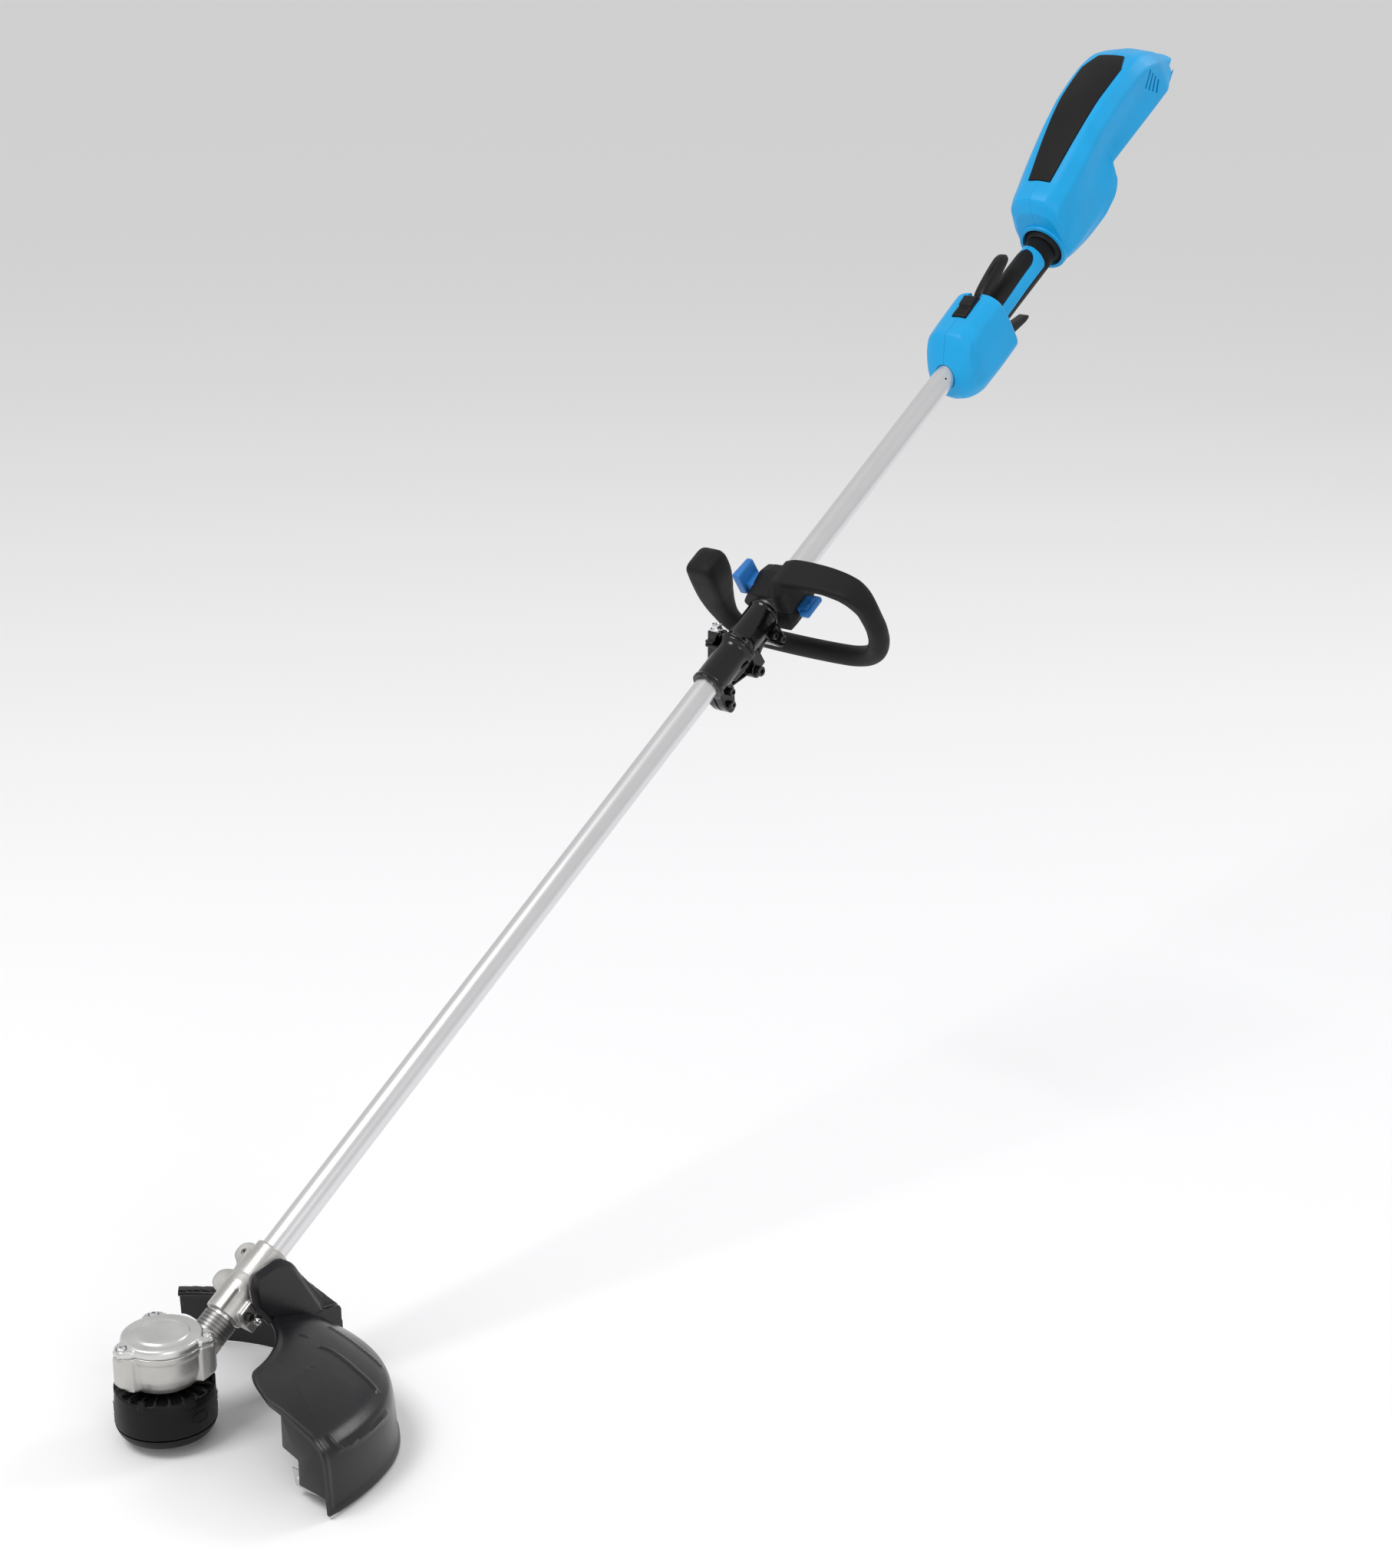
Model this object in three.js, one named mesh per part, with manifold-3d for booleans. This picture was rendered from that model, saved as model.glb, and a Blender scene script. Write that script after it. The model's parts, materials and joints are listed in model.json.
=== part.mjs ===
// A battery string trimmer with its motor in the cutting head, a folding shaft and a loop handle.
// Millimetres, +Z up. The trimmer is in its working pose: the head's axis is upright and the
// shaft rises towards +X, the user's end. +Y is the user's right. The origin is on the shaft's
// axis, at the middle of the rear grip.
//
// Pieces on the shaft are made in shaft coordinates: x along the shaft from the point where it
// crosses the head's axis, y across, z square to both. Pieces of the cutting head are made in head
// coordinates, which start at the same crossing and have z along the head's axis.
import * as THREE from "three";
import { mergeVertices } from "three/addons/utils/BufferGeometryUtils.js";
import Module from "manifold-3d";

const wasm = await Module();
wasm.setup();

// ---------------------------------------------------------------- driving dimensions
const TILT = THREE.MathUtils.degToRad(34.53); // rise of the shaft
const GAP = 0.3; // clearance between pieces that touch or slide

const TUBE_R = 12.7; // both tubes
const TUBE_WALL = 1.6;
const HARNESS_R = 3.5;

const NECK_END = 80; // from the head's axis to the mouth of the motor housing's neck
const NECK_R = 15;
const BRACKET_LENGTH = 74;
const BRACKET_R = 16.4;
const LOWER_RUN = 723; // bare tube between the bracket and the coupler
const COUPLER_LENGTH = 110;
const COUPLER_R = 17;
const HINGE_DROP = 29; // hinge pin below the shaft's axis
const CLAMP_LENGTH = 44; // loop handle's clamp
const HANDLE_HALF_WIDTH = 118;
const HANDLE_DEPTH = 80; // loop's lowest centre line below the shaft
const HANDLE_R = 11;
const UPPER_RUN = 376; // from the coupler to the front housing
const FRONT_LENGTH = 82;
const GRIP_LENGTH = 118;
const REAR_LENGTH = 286;
const HOUSING_HALF_WIDTH = 38; // rear housing
const HOUSING_WALL = 3;

const MOTOR_R = 36;
const MOTOR_BASE = 12.4; // height of the housing's floor above the crossing
const MOTOR_SPLIT = 50; // height of the joint between housing and cover
const MOTOR_TOP = 60;
const MOTOR_WALL = 3;
const EAR_R = 6.5;
const EAR_RING = 40; // radius of the circle of screws
const EAR_ANGLES = [172, -48, 62].map(THREE.MathUtils.degToRad);
const SPINDLE_R = 4;
const BEARING_R = 11;
const BEARING_H = 7;

const HEAD_R = 45;
const HEAD_TOP = 8;
const HEAD_SPLIT = -25;
const HEAD_BOTTOM = -36;
const HEAD_WALL = 2.5;
const KNOB_R = 20;
const KNOB_DROP = 6; // knob below the head's underside
const FEED_TRAVEL = 4;
const SPOOL_R = 38;

const GUARD_NEAR_R = 212;
const GUARD_FAR_R = 171;
const GUARD_START = THREE.MathUtils.degToRad(-89);
const GUARD_END = THREE.MathUtils.degToRad(47);
const GUARD_SKIRT = -40; // height of the skirt's lower rim
const GUARD_WALL = 3;

// ---------------------------------------------------------------- stations along the shaft
const BRACKET_AT = NECK_END + 3;
const COUPLER_AT = BRACKET_AT + BRACKET_LENGTH + LOWER_RUN;
const HINGE_AT = COUPLER_AT + COUPLER_LENGTH / 2;
const COUPLER_END = COUPLER_AT + COUPLER_LENGTH;
const CLAMP_AT = COUPLER_END + 5;
const CLAMP_MID = CLAMP_AT + CLAMP_LENGTH / 2;
const FRONT_AT = COUPLER_END + UPPER_RUN;
const GRIP_AT = FRONT_AT + FRONT_LENGTH;
const GRIP_END = GRIP_AT + GRIP_LENGTH;
const REAR_AT = GRIP_END + 1;
const GRIP_MID = (GRIP_AT + GRIP_END) / 2;
const BORE_R = TUBE_R + GAP;

// ---------------------------------------------------------------- finishes
function finish(color, roughness, metalness) {
  return new THREE.MeshStandardMaterial({ color, roughness, metalness });
}
const BLUE = finish(0x1499dc, 0.42, 0);
const TAB_BLUE = finish(0x2f74b8, 0.4, 0);
const GRIP_BLACK = finish(0x1c1c1d, 0.75, 0);
const GUARD_BLACK = finish(0x2b2b2d, 0.35, 0);
const GLOSS_BLACK = finish(0x141415, 0.18, 0.2);
const ANODISED = finish(0xc9cacb, 0.35, 1);
const CAST = finish(0xaaa8a4, 0.45, 1);
const ZINC = finish(0xd5d6d8, 0.25, 1);
const STEEL = finish(0x8c8d90, 0.35, 1);
const BLACK_STEEL = finish(0x202022, 0.4, 0.8);
const COPPER = finish(0xa8623a, 0.45, 0.8);
const LINE = finish(0xd8822e, 0.5, 0);
const BOARD = finish(0x1f5a36, 0.6, 0);

// ---------------------------------------------------------------- solids
function toSolid(geometry) {
  const bare = geometry.clone();
  bare.deleteAttribute("normal");
  bare.deleteAttribute("uv");
  const merged = mergeVertices(bare, 1e-4);
  return new wasm.Manifold(
    new wasm.Mesh({
      numProp: 3,
      vertProperties: new Float32Array(merged.attributes.position.array),
      triVerts: new Uint32Array(merged.index.array),
    }),
  );
}

function toGeometry(solid) {
  const mesh = solid.getMesh();
  const geometry = new THREE.BufferGeometry();
  geometry.setAttribute("position", new THREE.BufferAttribute(mesh.vertProperties, 3));
  geometry.setIndex(new THREE.BufferAttribute(mesh.triVerts, 1));
  geometry.computeVertexNormals();
  return geometry;
}

function join(first, ...rest) {
  return rest.reduce((sum, solid) => sum.add(solid), first);
}

function cut(first, ...rest) {
  return rest.reduce((left, solid) => left.subtract(solid), first);
}

// A block between two corners.
function block(x0, x1, y0, y1, z0, z1) {
  const geometry = new THREE.BoxGeometry(x1 - x0, y1 - y0, z1 - z0);
  return toSolid(geometry.translate((x0 + x1) / 2, (y0 + y1) / 2, (z0 + z1) / 2));
}

// A round bar between two points.
function bar(radius, from, to, sides = 18) {
  const start = new THREE.Vector3(...from);
  const span = new THREE.Vector3(...to).sub(start);
  const geometry = new THREE.CylinderGeometry(radius, radius, span.length(), sides);
  const turn = new THREE.Quaternion().setFromUnitVectors(
    new THREE.Vector3(0, 1, 0),
    span.clone().normalize(),
  );
  geometry.applyQuaternion(turn);
  const middle = start.addScaledVector(span, 0.5);
  return toSolid(geometry.translate(middle.x, middle.y, middle.z));
}

function barX(radius, x0, x1, y = 0, z = 0, sides = 24) {
  return bar(radius, [x0, y, z], [x1, y, z], sides);
}

function barY(radius, y0, y1, x, z, sides = 14) {
  return bar(radius, [x, y0, z], [x, y1, z], sides);
}

function barZ(radius, z0, z1, x = 0, y = 0, sides = 20) {
  return bar(radius, [x, y, z0], [x, y, z1], sides);
}

// A profile of [radius, height] points turned about z.
function turned(profile, sides = 30) {
  const points = profile.map(([r, z]) => new THREE.Vector2(r, z));
  const geometry = new THREE.LatheGeometry([...points, points[0]], sides);
  return toSolid(geometry.rotateX(Math.PI / 2));
}

// The same, about the shaft's axis at a height z.
function turnedX(profile, z = 0, sides = 24) {
  const points = profile.map(([x, r]) => new THREE.Vector2(r, x));
  const geometry = new THREE.LatheGeometry([...points, points[0]], sides);
  return toSolid(geometry.rotateZ(-Math.PI / 2).translate(0, 0, z));
}

// A flat outline of [x, z] points, thickened along y.
function plateXZ(outline, y0, y1) {
  const shape = new THREE.Shape(outline.map(([x, z]) => new THREE.Vector2(x, z)));
  const geometry = new THREE.ExtrudeGeometry(shape, { depth: y1 - y0, bevelEnabled: false });
  return toSolid(geometry.rotateX(Math.PI / 2).translate(0, y1, 0));
}

// Closed rings of equally many points, skinned in order, with flat ends.
function loft(rings) {
  const count = rings[0].length;
  const middles = [rings[0], rings[rings.length - 1]].map((ring) =>
    [0, 1, 2].map((axis) => ring.reduce((sum, point) => sum + point[axis], 0) / count),
  );
  const positions = [...rings.flat(), ...middles].flat();
  const faces = [];
  const last = rings.length - 1;
  for (let i = 0; i < count; i++) {
    const next = (i + 1) % count;
    for (let k = 0; k < last; k++) {
      const a = k * count + i;
      const b = k * count + next;
      faces.push(a, b, b + count, a, b + count, a + count);
    }
    faces.push(rings.length * count, next, i);
    faces.push(rings.length * count + 1, last * count + i, last * count + next);
  }
  const geometry = new THREE.BufferGeometry();
  geometry.setAttribute("position", new THREE.Float32BufferAttribute(positions, 3));
  geometry.setIndex(faces);
  const solid = toSolid(geometry);
  if (solid.volume() > 0) return solid;
  geometry.setIndex(faces.map((_, i) => faces[i - (i % 3) + (2 - (i % 3))]));
  return toSolid(geometry);
}

// ---------------------------------------------------------------- the scene graph
const trimmer = new THREE.Group();
const shaft = new THREE.Group();
shaft.rotation.y = -TILT;
shaft.position.set(-GRIP_MID * Math.cos(TILT), 0, -GRIP_MID * Math.sin(TILT));
const head = new THREE.Group();
head.rotation.y = TILT;
shaft.add(head);
trimmer.add(shaft);

function add(group, name, solid, material) {
  const mesh = new THREE.Mesh(toGeometry(solid), material);
  mesh.name = name;
  group.add(mesh);
}

// A direction in shaft coordinates, seen from head coordinates.
function alongShaft(x, y, z) {
  const c = Math.cos(TILT);
  const s = Math.sin(TILT);
  return [x * c - z * s, y, x * s + z * c];
}

// A screw along y: shank from the head's seat, head outwards.
function screwY(x, z, seat, shankLength, headR, headH, shankR, side = -1) {
  const shank = barY(shankR, ...ends(seat + side, seat - side * shankLength), x, z, 12);
  const headSolid = barY(headR, ...ends(seat, seat + side * headH), x, z, 16);
  const socket = barY(headR * 0.5, ...ends(seat + side * headH * 0.4, seat + side * (headH + 1)), x, z, 6);
  return cut(join(headSolid, shank), socket);
}

function ends(a, b) {
  return a < b ? [a, b] : [b, a];
}

// ---------------------------------------------------------------- motor
const SCREW_R = 2.2;

function polar(radius, angle) {
  return [radius * Math.cos(angle), radius * Math.sin(angle)];
}

function motorHousing() {
  const floorR = MOTOR_R - 3;
  let body = turned([
    [0, MOTOR_BASE],
    [floorR, MOTOR_BASE],
    [MOTOR_R, MOTOR_BASE + 8],
    [MOTOR_R, MOTOR_SPLIT],
    [0, MOTOR_SPLIT],
  ]);
  for (const angle of EAR_ANGLES) {
    const [x, y] = polar(EAR_RING, angle);
    const [ix, iy] = polar(MOTOR_R - 2, angle);
    body = join(body, barZ(EAR_R, MOTOR_BASE + 6, MOTOR_SPLIT, x, y));
    body = join(body, barZ(EAR_R + 1.5, MOTOR_BASE + 6, MOTOR_SPLIT, ix, iy));
  }
  const neckFrom = alongShaft(20, 0, 0);
  const neck = join(
    bar(NECK_R, neckFrom, alongShaft(NECK_END, 0, 0), 24),
    bar(NECK_R + 1.6, alongShaft(30, 0, 0), alongShaft(NECK_END - 18, 0, 0), 24),
  );
  body = join(body, cut(neck, block(0, 90, -30, 30, -30, MOTOR_BASE + 1)));
  const inside = turned([
    [0, MOTOR_BASE + MOTOR_WALL + BEARING_H],
    [MOTOR_R - 6, MOTOR_BASE + MOTOR_WALL + BEARING_H],
    [MOTOR_R - MOTOR_WALL, MOTOR_BASE + 12],
    [MOTOR_R - MOTOR_WALL, MOTOR_SPLIT + 1],
    [0, MOTOR_SPLIT + 1],
  ]);
  const wirePassage = bar(HARNESS_R + 2, alongShaft(26, 0, 0), alongShaft(NECK_END, 0, 0), 12);
  const bore = bar(BORE_R, alongShaft(45, 0, 0), alongShaft(NECK_END + 1, 0, 0), 24);
  const bearingSeat = barZ(BEARING_R + GAP, MOTOR_BASE + MOTOR_WALL, MOTOR_SPLIT);
  const spindleHole = barZ(SPINDLE_R + 1, 0, MOTOR_SPLIT);
  body = cut(body, inside, wirePassage, bore, bearingSeat, spindleHole);
  for (const angle of EAR_ANGLES) {
    const [x, y] = polar(EAR_RING, angle);
    body = cut(body, barZ(SCREW_R + GAP, MOTOR_SPLIT - 14, MOTOR_SPLIT + 1, x, y, 12));
  }
  return body;
}

function motorCover() {
  const rim = MOTOR_TOP - 3;
  let body = turned([
    [0, MOTOR_SPLIT + GAP],
    [MOTOR_R, MOTOR_SPLIT + GAP],
    [MOTOR_R, rim - 1],
    [MOTOR_R - 1, rim],
    [MOTOR_R - 5, rim + 0.6],
    [24, MOTOR_TOP - 0.6],
    [23, MOTOR_TOP],
    [20, MOTOR_TOP],
    [19, MOTOR_TOP - 0.8],
    [0, MOTOR_TOP - 0.4],
  ]);
  for (const angle of EAR_ANGLES) {
    const [x, y] = polar(EAR_RING, angle);
    const [ix, iy] = polar(MOTOR_R - 2, angle);
    body = join(body, barZ(EAR_R, MOTOR_SPLIT + GAP, rim - 2, x, y));
    body = join(body, barZ(EAR_R + 1.5, MOTOR_SPLIT + GAP, rim - 2, ix, iy));
  }
  body = cut(
    body,
    barZ(MOTOR_R - 8, MOTOR_SPLIT, MOTOR_SPLIT + 3, 0, 0, 32),
    barZ(BEARING_R + GAP, MOTOR_SPLIT, MOTOR_SPLIT + 5),
  );
  for (const angle of EAR_ANGLES) {
    const [x, y] = polar(EAR_RING, angle);
    body = cut(body, barZ(SCREW_R + GAP, MOTOR_SPLIT, MOTOR_TOP, x, y, 12));
  }
  return body;
}

function coverScrew(angle) {
  const [x, y] = polar(EAR_RING, angle);
  const seat = MOTOR_TOP - 5 + GAP;
  return cut(
    join(
      barZ(SCREW_R, MOTOR_SPLIT - 12, seat + 1, x, y, 12),
      barZ(3.8, seat, seat + 3, x, y, 16),
    ),
    block(x - 2.6, x + 2.6, y - 0.5, y + 0.5, seat + 1.6, seat + 4),
    block(x - 0.5, x + 0.5, y - 2.6, y + 2.6, seat + 1.6, seat + 4),
  );
}

const STATOR_LOW = MOTOR_BASE + MOTOR_WALL + BEARING_H + 2;
const STATOR_HIGH = MOTOR_SPLIT - 1;
const ROTOR_R = 16;

function stator() {
  const outer = MOTOR_R - MOTOR_WALL - 3.5;
  let body = cut(
    barZ(outer, STATOR_LOW, STATOR_HIGH, 0, 0, 27),
    barZ(ROTOR_R + 0.8, STATOR_LOW - 1, STATOR_HIGH + 1),
  );
  const slots = 9;
  for (let i = 0; i < slots; i++) {
    const [x, y] = polar(23, (i / slots) * 2 * Math.PI);
    body = cut(body, barZ(3, STATOR_LOW - 1, STATOR_HIGH + 1, x, y, 8));
  }
  return body;
}

function rotor() {
  const high = STATOR_HIGH - 2;
  return cut(
    barZ(ROTOR_R, STATOR_LOW + 1, high),
    barZ(SPINDLE_R + GAP, STATOR_LOW, high + 1),
  );
}

function bearing(low) {
  return cut(
    barZ(BEARING_R, low, low + BEARING_H),
    barZ(SPINDLE_R + GAP, low - 1, low + BEARING_H + 1),
  );
}

// ---------------------------------------------------------------- string head
const HUB_R = 11;
const SPOOL_TOP = HEAD_TOP - HEAD_WALL - 9;
const KNOB_BOTTOM = HEAD_BOTTOM - KNOB_DROP;

function spindle() {
  return join(
    barZ(SPINDLE_R, SPOOL_TOP + 6.5, MOTOR_SPLIT + 4),
    barZ(6, SPOOL_TOP + 4.5, SPOOL_TOP + 8, 0, 0, 6),
  );
}

function headHousing() {
  let body = turned([
    [0, HEAD_TOP - HEAD_WALL],
    [HEAD_R - HEAD_WALL, HEAD_TOP - HEAD_WALL],
    [HEAD_R - HEAD_WALL, HEAD_SPLIT],
    [HEAD_R, HEAD_SPLIT],
    [HEAD_R - 1.5, HEAD_TOP],
    [0, HEAD_TOP],
  ]);
  const fins = 20;
  for (let i = 0; i < fins; i++) {
    const angle = (i / fins) * 2 * Math.PI;
    const fin = new THREE.BoxGeometry(15, 2.4, 5).translate(HEAD_R - 9.6, 0, HEAD_TOP + 1.5);
    body = join(body, toSolid(fin.rotateZ(angle)));
  }
  const hub = barZ(HUB_R, SPOOL_TOP + 1, HEAD_TOP + 1);
  body = cut(
    join(body, hub),
    barZ(SPINDLE_R + GAP, SPOOL_TOP, HEAD_TOP + 5),
    barZ(6 + GAP + 1, SPOOL_TOP, SPOOL_TOP + 8 + GAP),
  );
  for (const side of [0, Math.PI]) {
    const [x, y] = polar(HEAD_R, EYELET_ANGLE + side);
    const [ix, iy] = polar(HEAD_R - 8, EYELET_ANGLE + side);
    body = cut(body, bar(EYELET_R + GAP, [ix, iy, EYELET_Z], [x * 1.1, y * 1.1, EYELET_Z], 12));
  }
  return body;
}

const EYELET_ANGLE = THREE.MathUtils.degToRad(-35);
const EYELET_R = 3.6;
const EYELET_Z = -12;

function lineEyelet(angle) {
  const [ux, uy] = polar(1, angle);
  const at = (r) => [ux * r, uy * r, EYELET_Z];
  return cut(
    join(
      bar(EYELET_R, at(HEAD_R - 5), at(HEAD_R + 1.2), 12),
      bar(EYELET_R + 1.2, at(HEAD_R + 0.4), at(HEAD_R + 1.2), 12),
    ),
    bar(1.8, at(HEAD_R - 7), at(HEAD_R + 3), 8),
  );
}

function headCover() {
  const low = HEAD_SPLIT - GAP;
  const lowR = HEAD_R - 7;
  return turned([
    [KNOB_R + 1, HEAD_BOTTOM],
    [lowR, HEAD_BOTTOM],
    [HEAD_R - 2, HEAD_BOTTOM + 5],
    [HEAD_R, low],
    [HEAD_R - HEAD_WALL, low],
    [HEAD_R - 5, HEAD_BOTTOM + 6],
    [lowR - 1, HEAD_BOTTOM + HEAD_WALL],
    [KNOB_R + 1, HEAD_BOTTOM + HEAD_WALL],
  ]);
}

const SPOOL_FLOOR = HEAD_BOTTOM + HEAD_WALL + 1;

function spool() {
  return turned([
    [HUB_R - 1, SPOOL_FLOOR],
    [SPOOL_R - 3, SPOOL_FLOOR],
    [SPOOL_R - 3, SPOOL_FLOOR + 2],
    [17, SPOOL_FLOOR + 2],
    [17, SPOOL_TOP - 2 - FEED_TRAVEL],
    [SPOOL_R, SPOOL_TOP - 2 - FEED_TRAVEL],
    [SPOOL_R, SPOOL_TOP - FEED_TRAVEL],
    [HUB_R + 1.5, SPOOL_TOP - FEED_TRAVEL],
    [HUB_R + 1.5, SPOOL_FLOOR + 4],
    [HUB_R - 1, SPOOL_FLOOR + 4],
  ]);
}

function woundLine() {
  return turned([
    [17 + GAP, SPOOL_FLOOR + 2 + GAP],
    [SPOOL_R - 5, SPOOL_FLOOR + 2 + GAP],
    [SPOOL_R - 3.5, -22],
    [SPOOL_R - 4, SPOOL_TOP - 2 - FEED_TRAVEL - GAP],
    [17 + GAP, SPOOL_TOP - 2 - FEED_TRAVEL - GAP],
  ]);
}

function bumpKnob() {
  return turned([
    [0, KNOB_BOTTOM],
    [KNOB_R - 5, KNOB_BOTTOM],
    [KNOB_R, KNOB_BOTTOM + 3.5],
    [KNOB_R, SPOOL_FLOOR - GAP],
    [HUB_R - 1 - GAP, SPOOL_FLOOR - GAP],
    [HUB_R - 1 - GAP, SPOOL_FLOOR + 3],
    [0, SPOOL_FLOOR + 3],
  ]);
}

function feedSpring() {
  const turns = 4;
  const low = SPOOL_FLOOR + 4.6;
  const high = SPOOL_TOP + 0.2;
  const points = [];
  for (let i = 0; i <= turns * 10; i++) {
    const part = i / (turns * 10);
    const [x, y] = polar(HUB_R - 2.2, part * turns * 2 * Math.PI);
    points.push(new THREE.Vector3(x, y, low + 0.8 + (high - low - 1.8) * part));
  }
  const section = new THREE.Shape().absarc(0, 0, 0.7, 0, 2 * Math.PI);
  const geometry = new THREE.ExtrudeGeometry(section, {
    steps: turns * 12,
    curveSegments: 4,
    extrudePath: new THREE.CatmullRomCurve3(points),
    bevelEnabled: false,
  });
  return toSolid(geometry);
}

// ---------------------------------------------------------------- tubes and harness
function tube(x0, x1) {
  return cut(barX(TUBE_R, x0, x1), barX(TUBE_R - TUBE_WALL, x0 - 1, x1 + 1));
}

// ---------------------------------------------------------------- guard bracket
const PLATE_LOW = -9;
const PLATE_HIGH = -4;
const COLLAR_R = BRACKET_R + 2;
const COLLAR_LENGTH = 36;
const BRACKET_END = BRACKET_AT + BRACKET_LENGTH;
const CLAMP_SCREW_X = BRACKET_AT + 14;

function guardBracket() {
  const lobes = [
    [BRACKET_AT + 32, 34, 12],
    [BRACKET_END - 11, 34, 10],
  ];
  let body = join(
    barX(BRACKET_R, BRACKET_AT, BRACKET_END),
    barX(COLLAR_R, BRACKET_AT, BRACKET_AT + COLLAR_LENGTH),
    block(BRACKET_AT + 20, BRACKET_END - 1, 0, 30, PLATE_LOW, PLATE_HIGH),
    block(BRACKET_AT + 3, BRACKET_AT + 26, -23, -8, -22, 4),
  );
  for (const [x, y, r] of lobes) body = join(body, barZ(r, PLATE_LOW, PLATE_HIGH, x, y));
  const slit = block(BRACKET_AT - 1, BRACKET_AT + COLLAR_LENGTH, -30, -10, -9.5, -8);
  return cut(
    body,
    barX(BORE_R, BRACKET_AT - 1, BRACKET_END + 1),
    slit,
    barY(SCREW_R + GAP, -24, -6, CLAMP_SCREW_X - 4, -2, 12),
    barY(SCREW_R + GAP, -24, -6, CLAMP_SCREW_X, -15, 12),
    barZ(3, PLATE_LOW - 1, PLATE_HIGH + 1, lobes[1][0], lobes[1][1], 12),
  );
}

// ---------------------------------------------------------------- guard
// Share of the way from the far radius to the near one, by angle about the head's axis.
function guardRadius(angle) {
  const blend = THREE.MathUtils.smoothstep(-THREE.MathUtils.radToDeg(angle), 0, 66);
  return THREE.MathUtils.lerp(GUARD_FAR_R, GUARD_NEAR_R, blend);
}

function guardSection(angle) {
  const degrees = THREE.MathUtils.radToDeg(angle);
  const outer = guardRadius(angle);
  const far = THREE.MathUtils.smoothstep(degrees, -25, 10);
  const nearEnd = THREE.MathUtils.clamp((-degrees - 73) / 16, 0, 1) ** 3;
  const shoulder = 21 - 4 * far;
  const innerR = THREE.MathUtils.lerp(100 + 42 * nearEnd, outer - 20, far);
  const innerZ = THREE.MathUtils.lerp(46, shoulder + 1, far);
  const rimLift = 28 * THREE.MathUtils.smoothstep(degrees, 33, 47);
  const rim = GUARD_SKIRT + rimLift;
  const middleZ = (innerZ + shoulder) / 2 + 4 * (1 - far) - 4 * nearEnd;
  const outside = [
    [innerR, innerZ - 6 * nearEnd],
    [(innerR + outer) / 2, middleZ],
    [outer - 13, shoulder],
    [outer - 6, shoulder - 5],
    [outer - 3, shoulder - 14],
    [outer + 1, rim],
  ];
  const inside = [
    [outer + 1 - GUARD_WALL, rim],
    [outer - 3 - GUARD_WALL, shoulder - 14],
    [outer - 6 - GUARD_WALL, shoulder - 7],
    [outer - 13, shoulder - GUARD_WALL],
    [(innerR + outer) / 2, middleZ - GUARD_WALL],
    [innerR, innerZ - 6 * nearEnd - GUARD_WALL],
  ];
  return [...outside, ...inside].map(([r, z]) => [...polar(r, angle), z]);
}

const GUARD_STEPS = 26;

function guardShell() {
  const rings = [];
  for (let i = 0; i <= GUARD_STEPS; i++) {
    rings.push(guardSection(GUARD_START + ((GUARD_END - GUARD_START) * i) / GUARD_STEPS));
  }
  let body = loft(rings);
  // End wall across the near end, which carries the line cutter.
  const wall = new THREE.Shape();
  wall.moveTo(153, 2);
  wall.lineTo(172, -4);
  wall.lineTo(172, -28);
  wall.lineTo(GUARD_NEAR_R - 1, -30);
  wall.lineTo(GUARD_NEAR_R - 4, 8);
  wall.lineTo(GUARD_NEAR_R - 13, 18);
  wall.lineTo(158, 33);
  wall.lineTo(153, 33);
  const wallGeometry = new THREE.ExtrudeGeometry(wall, { depth: GUARD_WALL, bevelEnabled: false });
  wallGeometry.rotateX(Math.PI / 2);
  wallGeometry.rotateZ(GUARD_START + 0.035);
  body = join(body, toSolid(wallGeometry));
  // Mount beside and under the bracket, in shaft coordinates: box, cheek, spine and foot.
  const mount = plateXZ(
    [
      [BRACKET_AT + 36, -22],
      [BRACKET_END - 3, -22],
      [BRACKET_END - 2, -60],
      [BRACKET_AT + 40, -60],
      [BRACKET_AT + 30, -34],
    ],
    -29,
    22,
  );
  const cheek = plateXZ(
    [
      [BRACKET_AT + 19, 2],
      [BRACKET_AT + 29, 21],
      [BRACKET_AT + 37, 27],
      [BRACKET_END - 11, 16],
      [BRACKET_END - 4, -1],
      [BRACKET_END - 9, -67],
      [BRACKET_AT + 48, -80],
      [BRACKET_AT + 19, -40],
    ],
    -31,
    -25,
  );
  const spine = plateXZ(
    [
      [BRACKET_AT + 40, -20],
      [BRACKET_END - 3, -6],
      [BRACKET_END - 2, -31],
      [BRACKET_END + 6, -85],
      [BRACKET_END - 9, -104],
      [BRACKET_AT + 50, -86],
    ],
    -28,
    -10,
  );
  const foot = plateXZ(
    [
      [BRACKET_END - 10, -66],
      [BRACKET_END + 5, -80],
      [BRACKET_END - 6, -99],
      [BRACKET_END - 21, -114],
      [BRACKET_AT + 42, -84],
      [BRACKET_AT + 50, -60],
    ],
    -32,
    -10,
  );
  const turn = new THREE.Matrix4().makeRotationY(-TILT);
  const mountSolids = [mount, cheek, spine, foot].map((solid) =>
    toSolid(toGeometry(solid).applyMatrix4(turn)),
  );
  const hollow = turned([
    [0, GUARD_SKIRT - 2],
    [GUARD_FAR_R - 8, GUARD_SKIRT - 2],
    [GUARD_FAR_R - 8, 12],
    [GUARD_FAR_R - 16, 16],
    [104, 38],
    [84, 26],
    [0, 26],
  ]);
  const added = cut(join(...mountSolids), hollow);
  body = join(body, added);
  const clearance = join(
    barX(COLLAR_R + 1.5, BRACKET_AT - 30, BRACKET_END + 40),
    block(BRACKET_AT - 1, BRACKET_END, -23.6, 50, -23, -4),
  );
  return cut(body, toSolid(toGeometry(clearance).applyMatrix4(turn)));
}

const BLADE_ANGLE = GUARD_START + 0.035;

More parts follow.
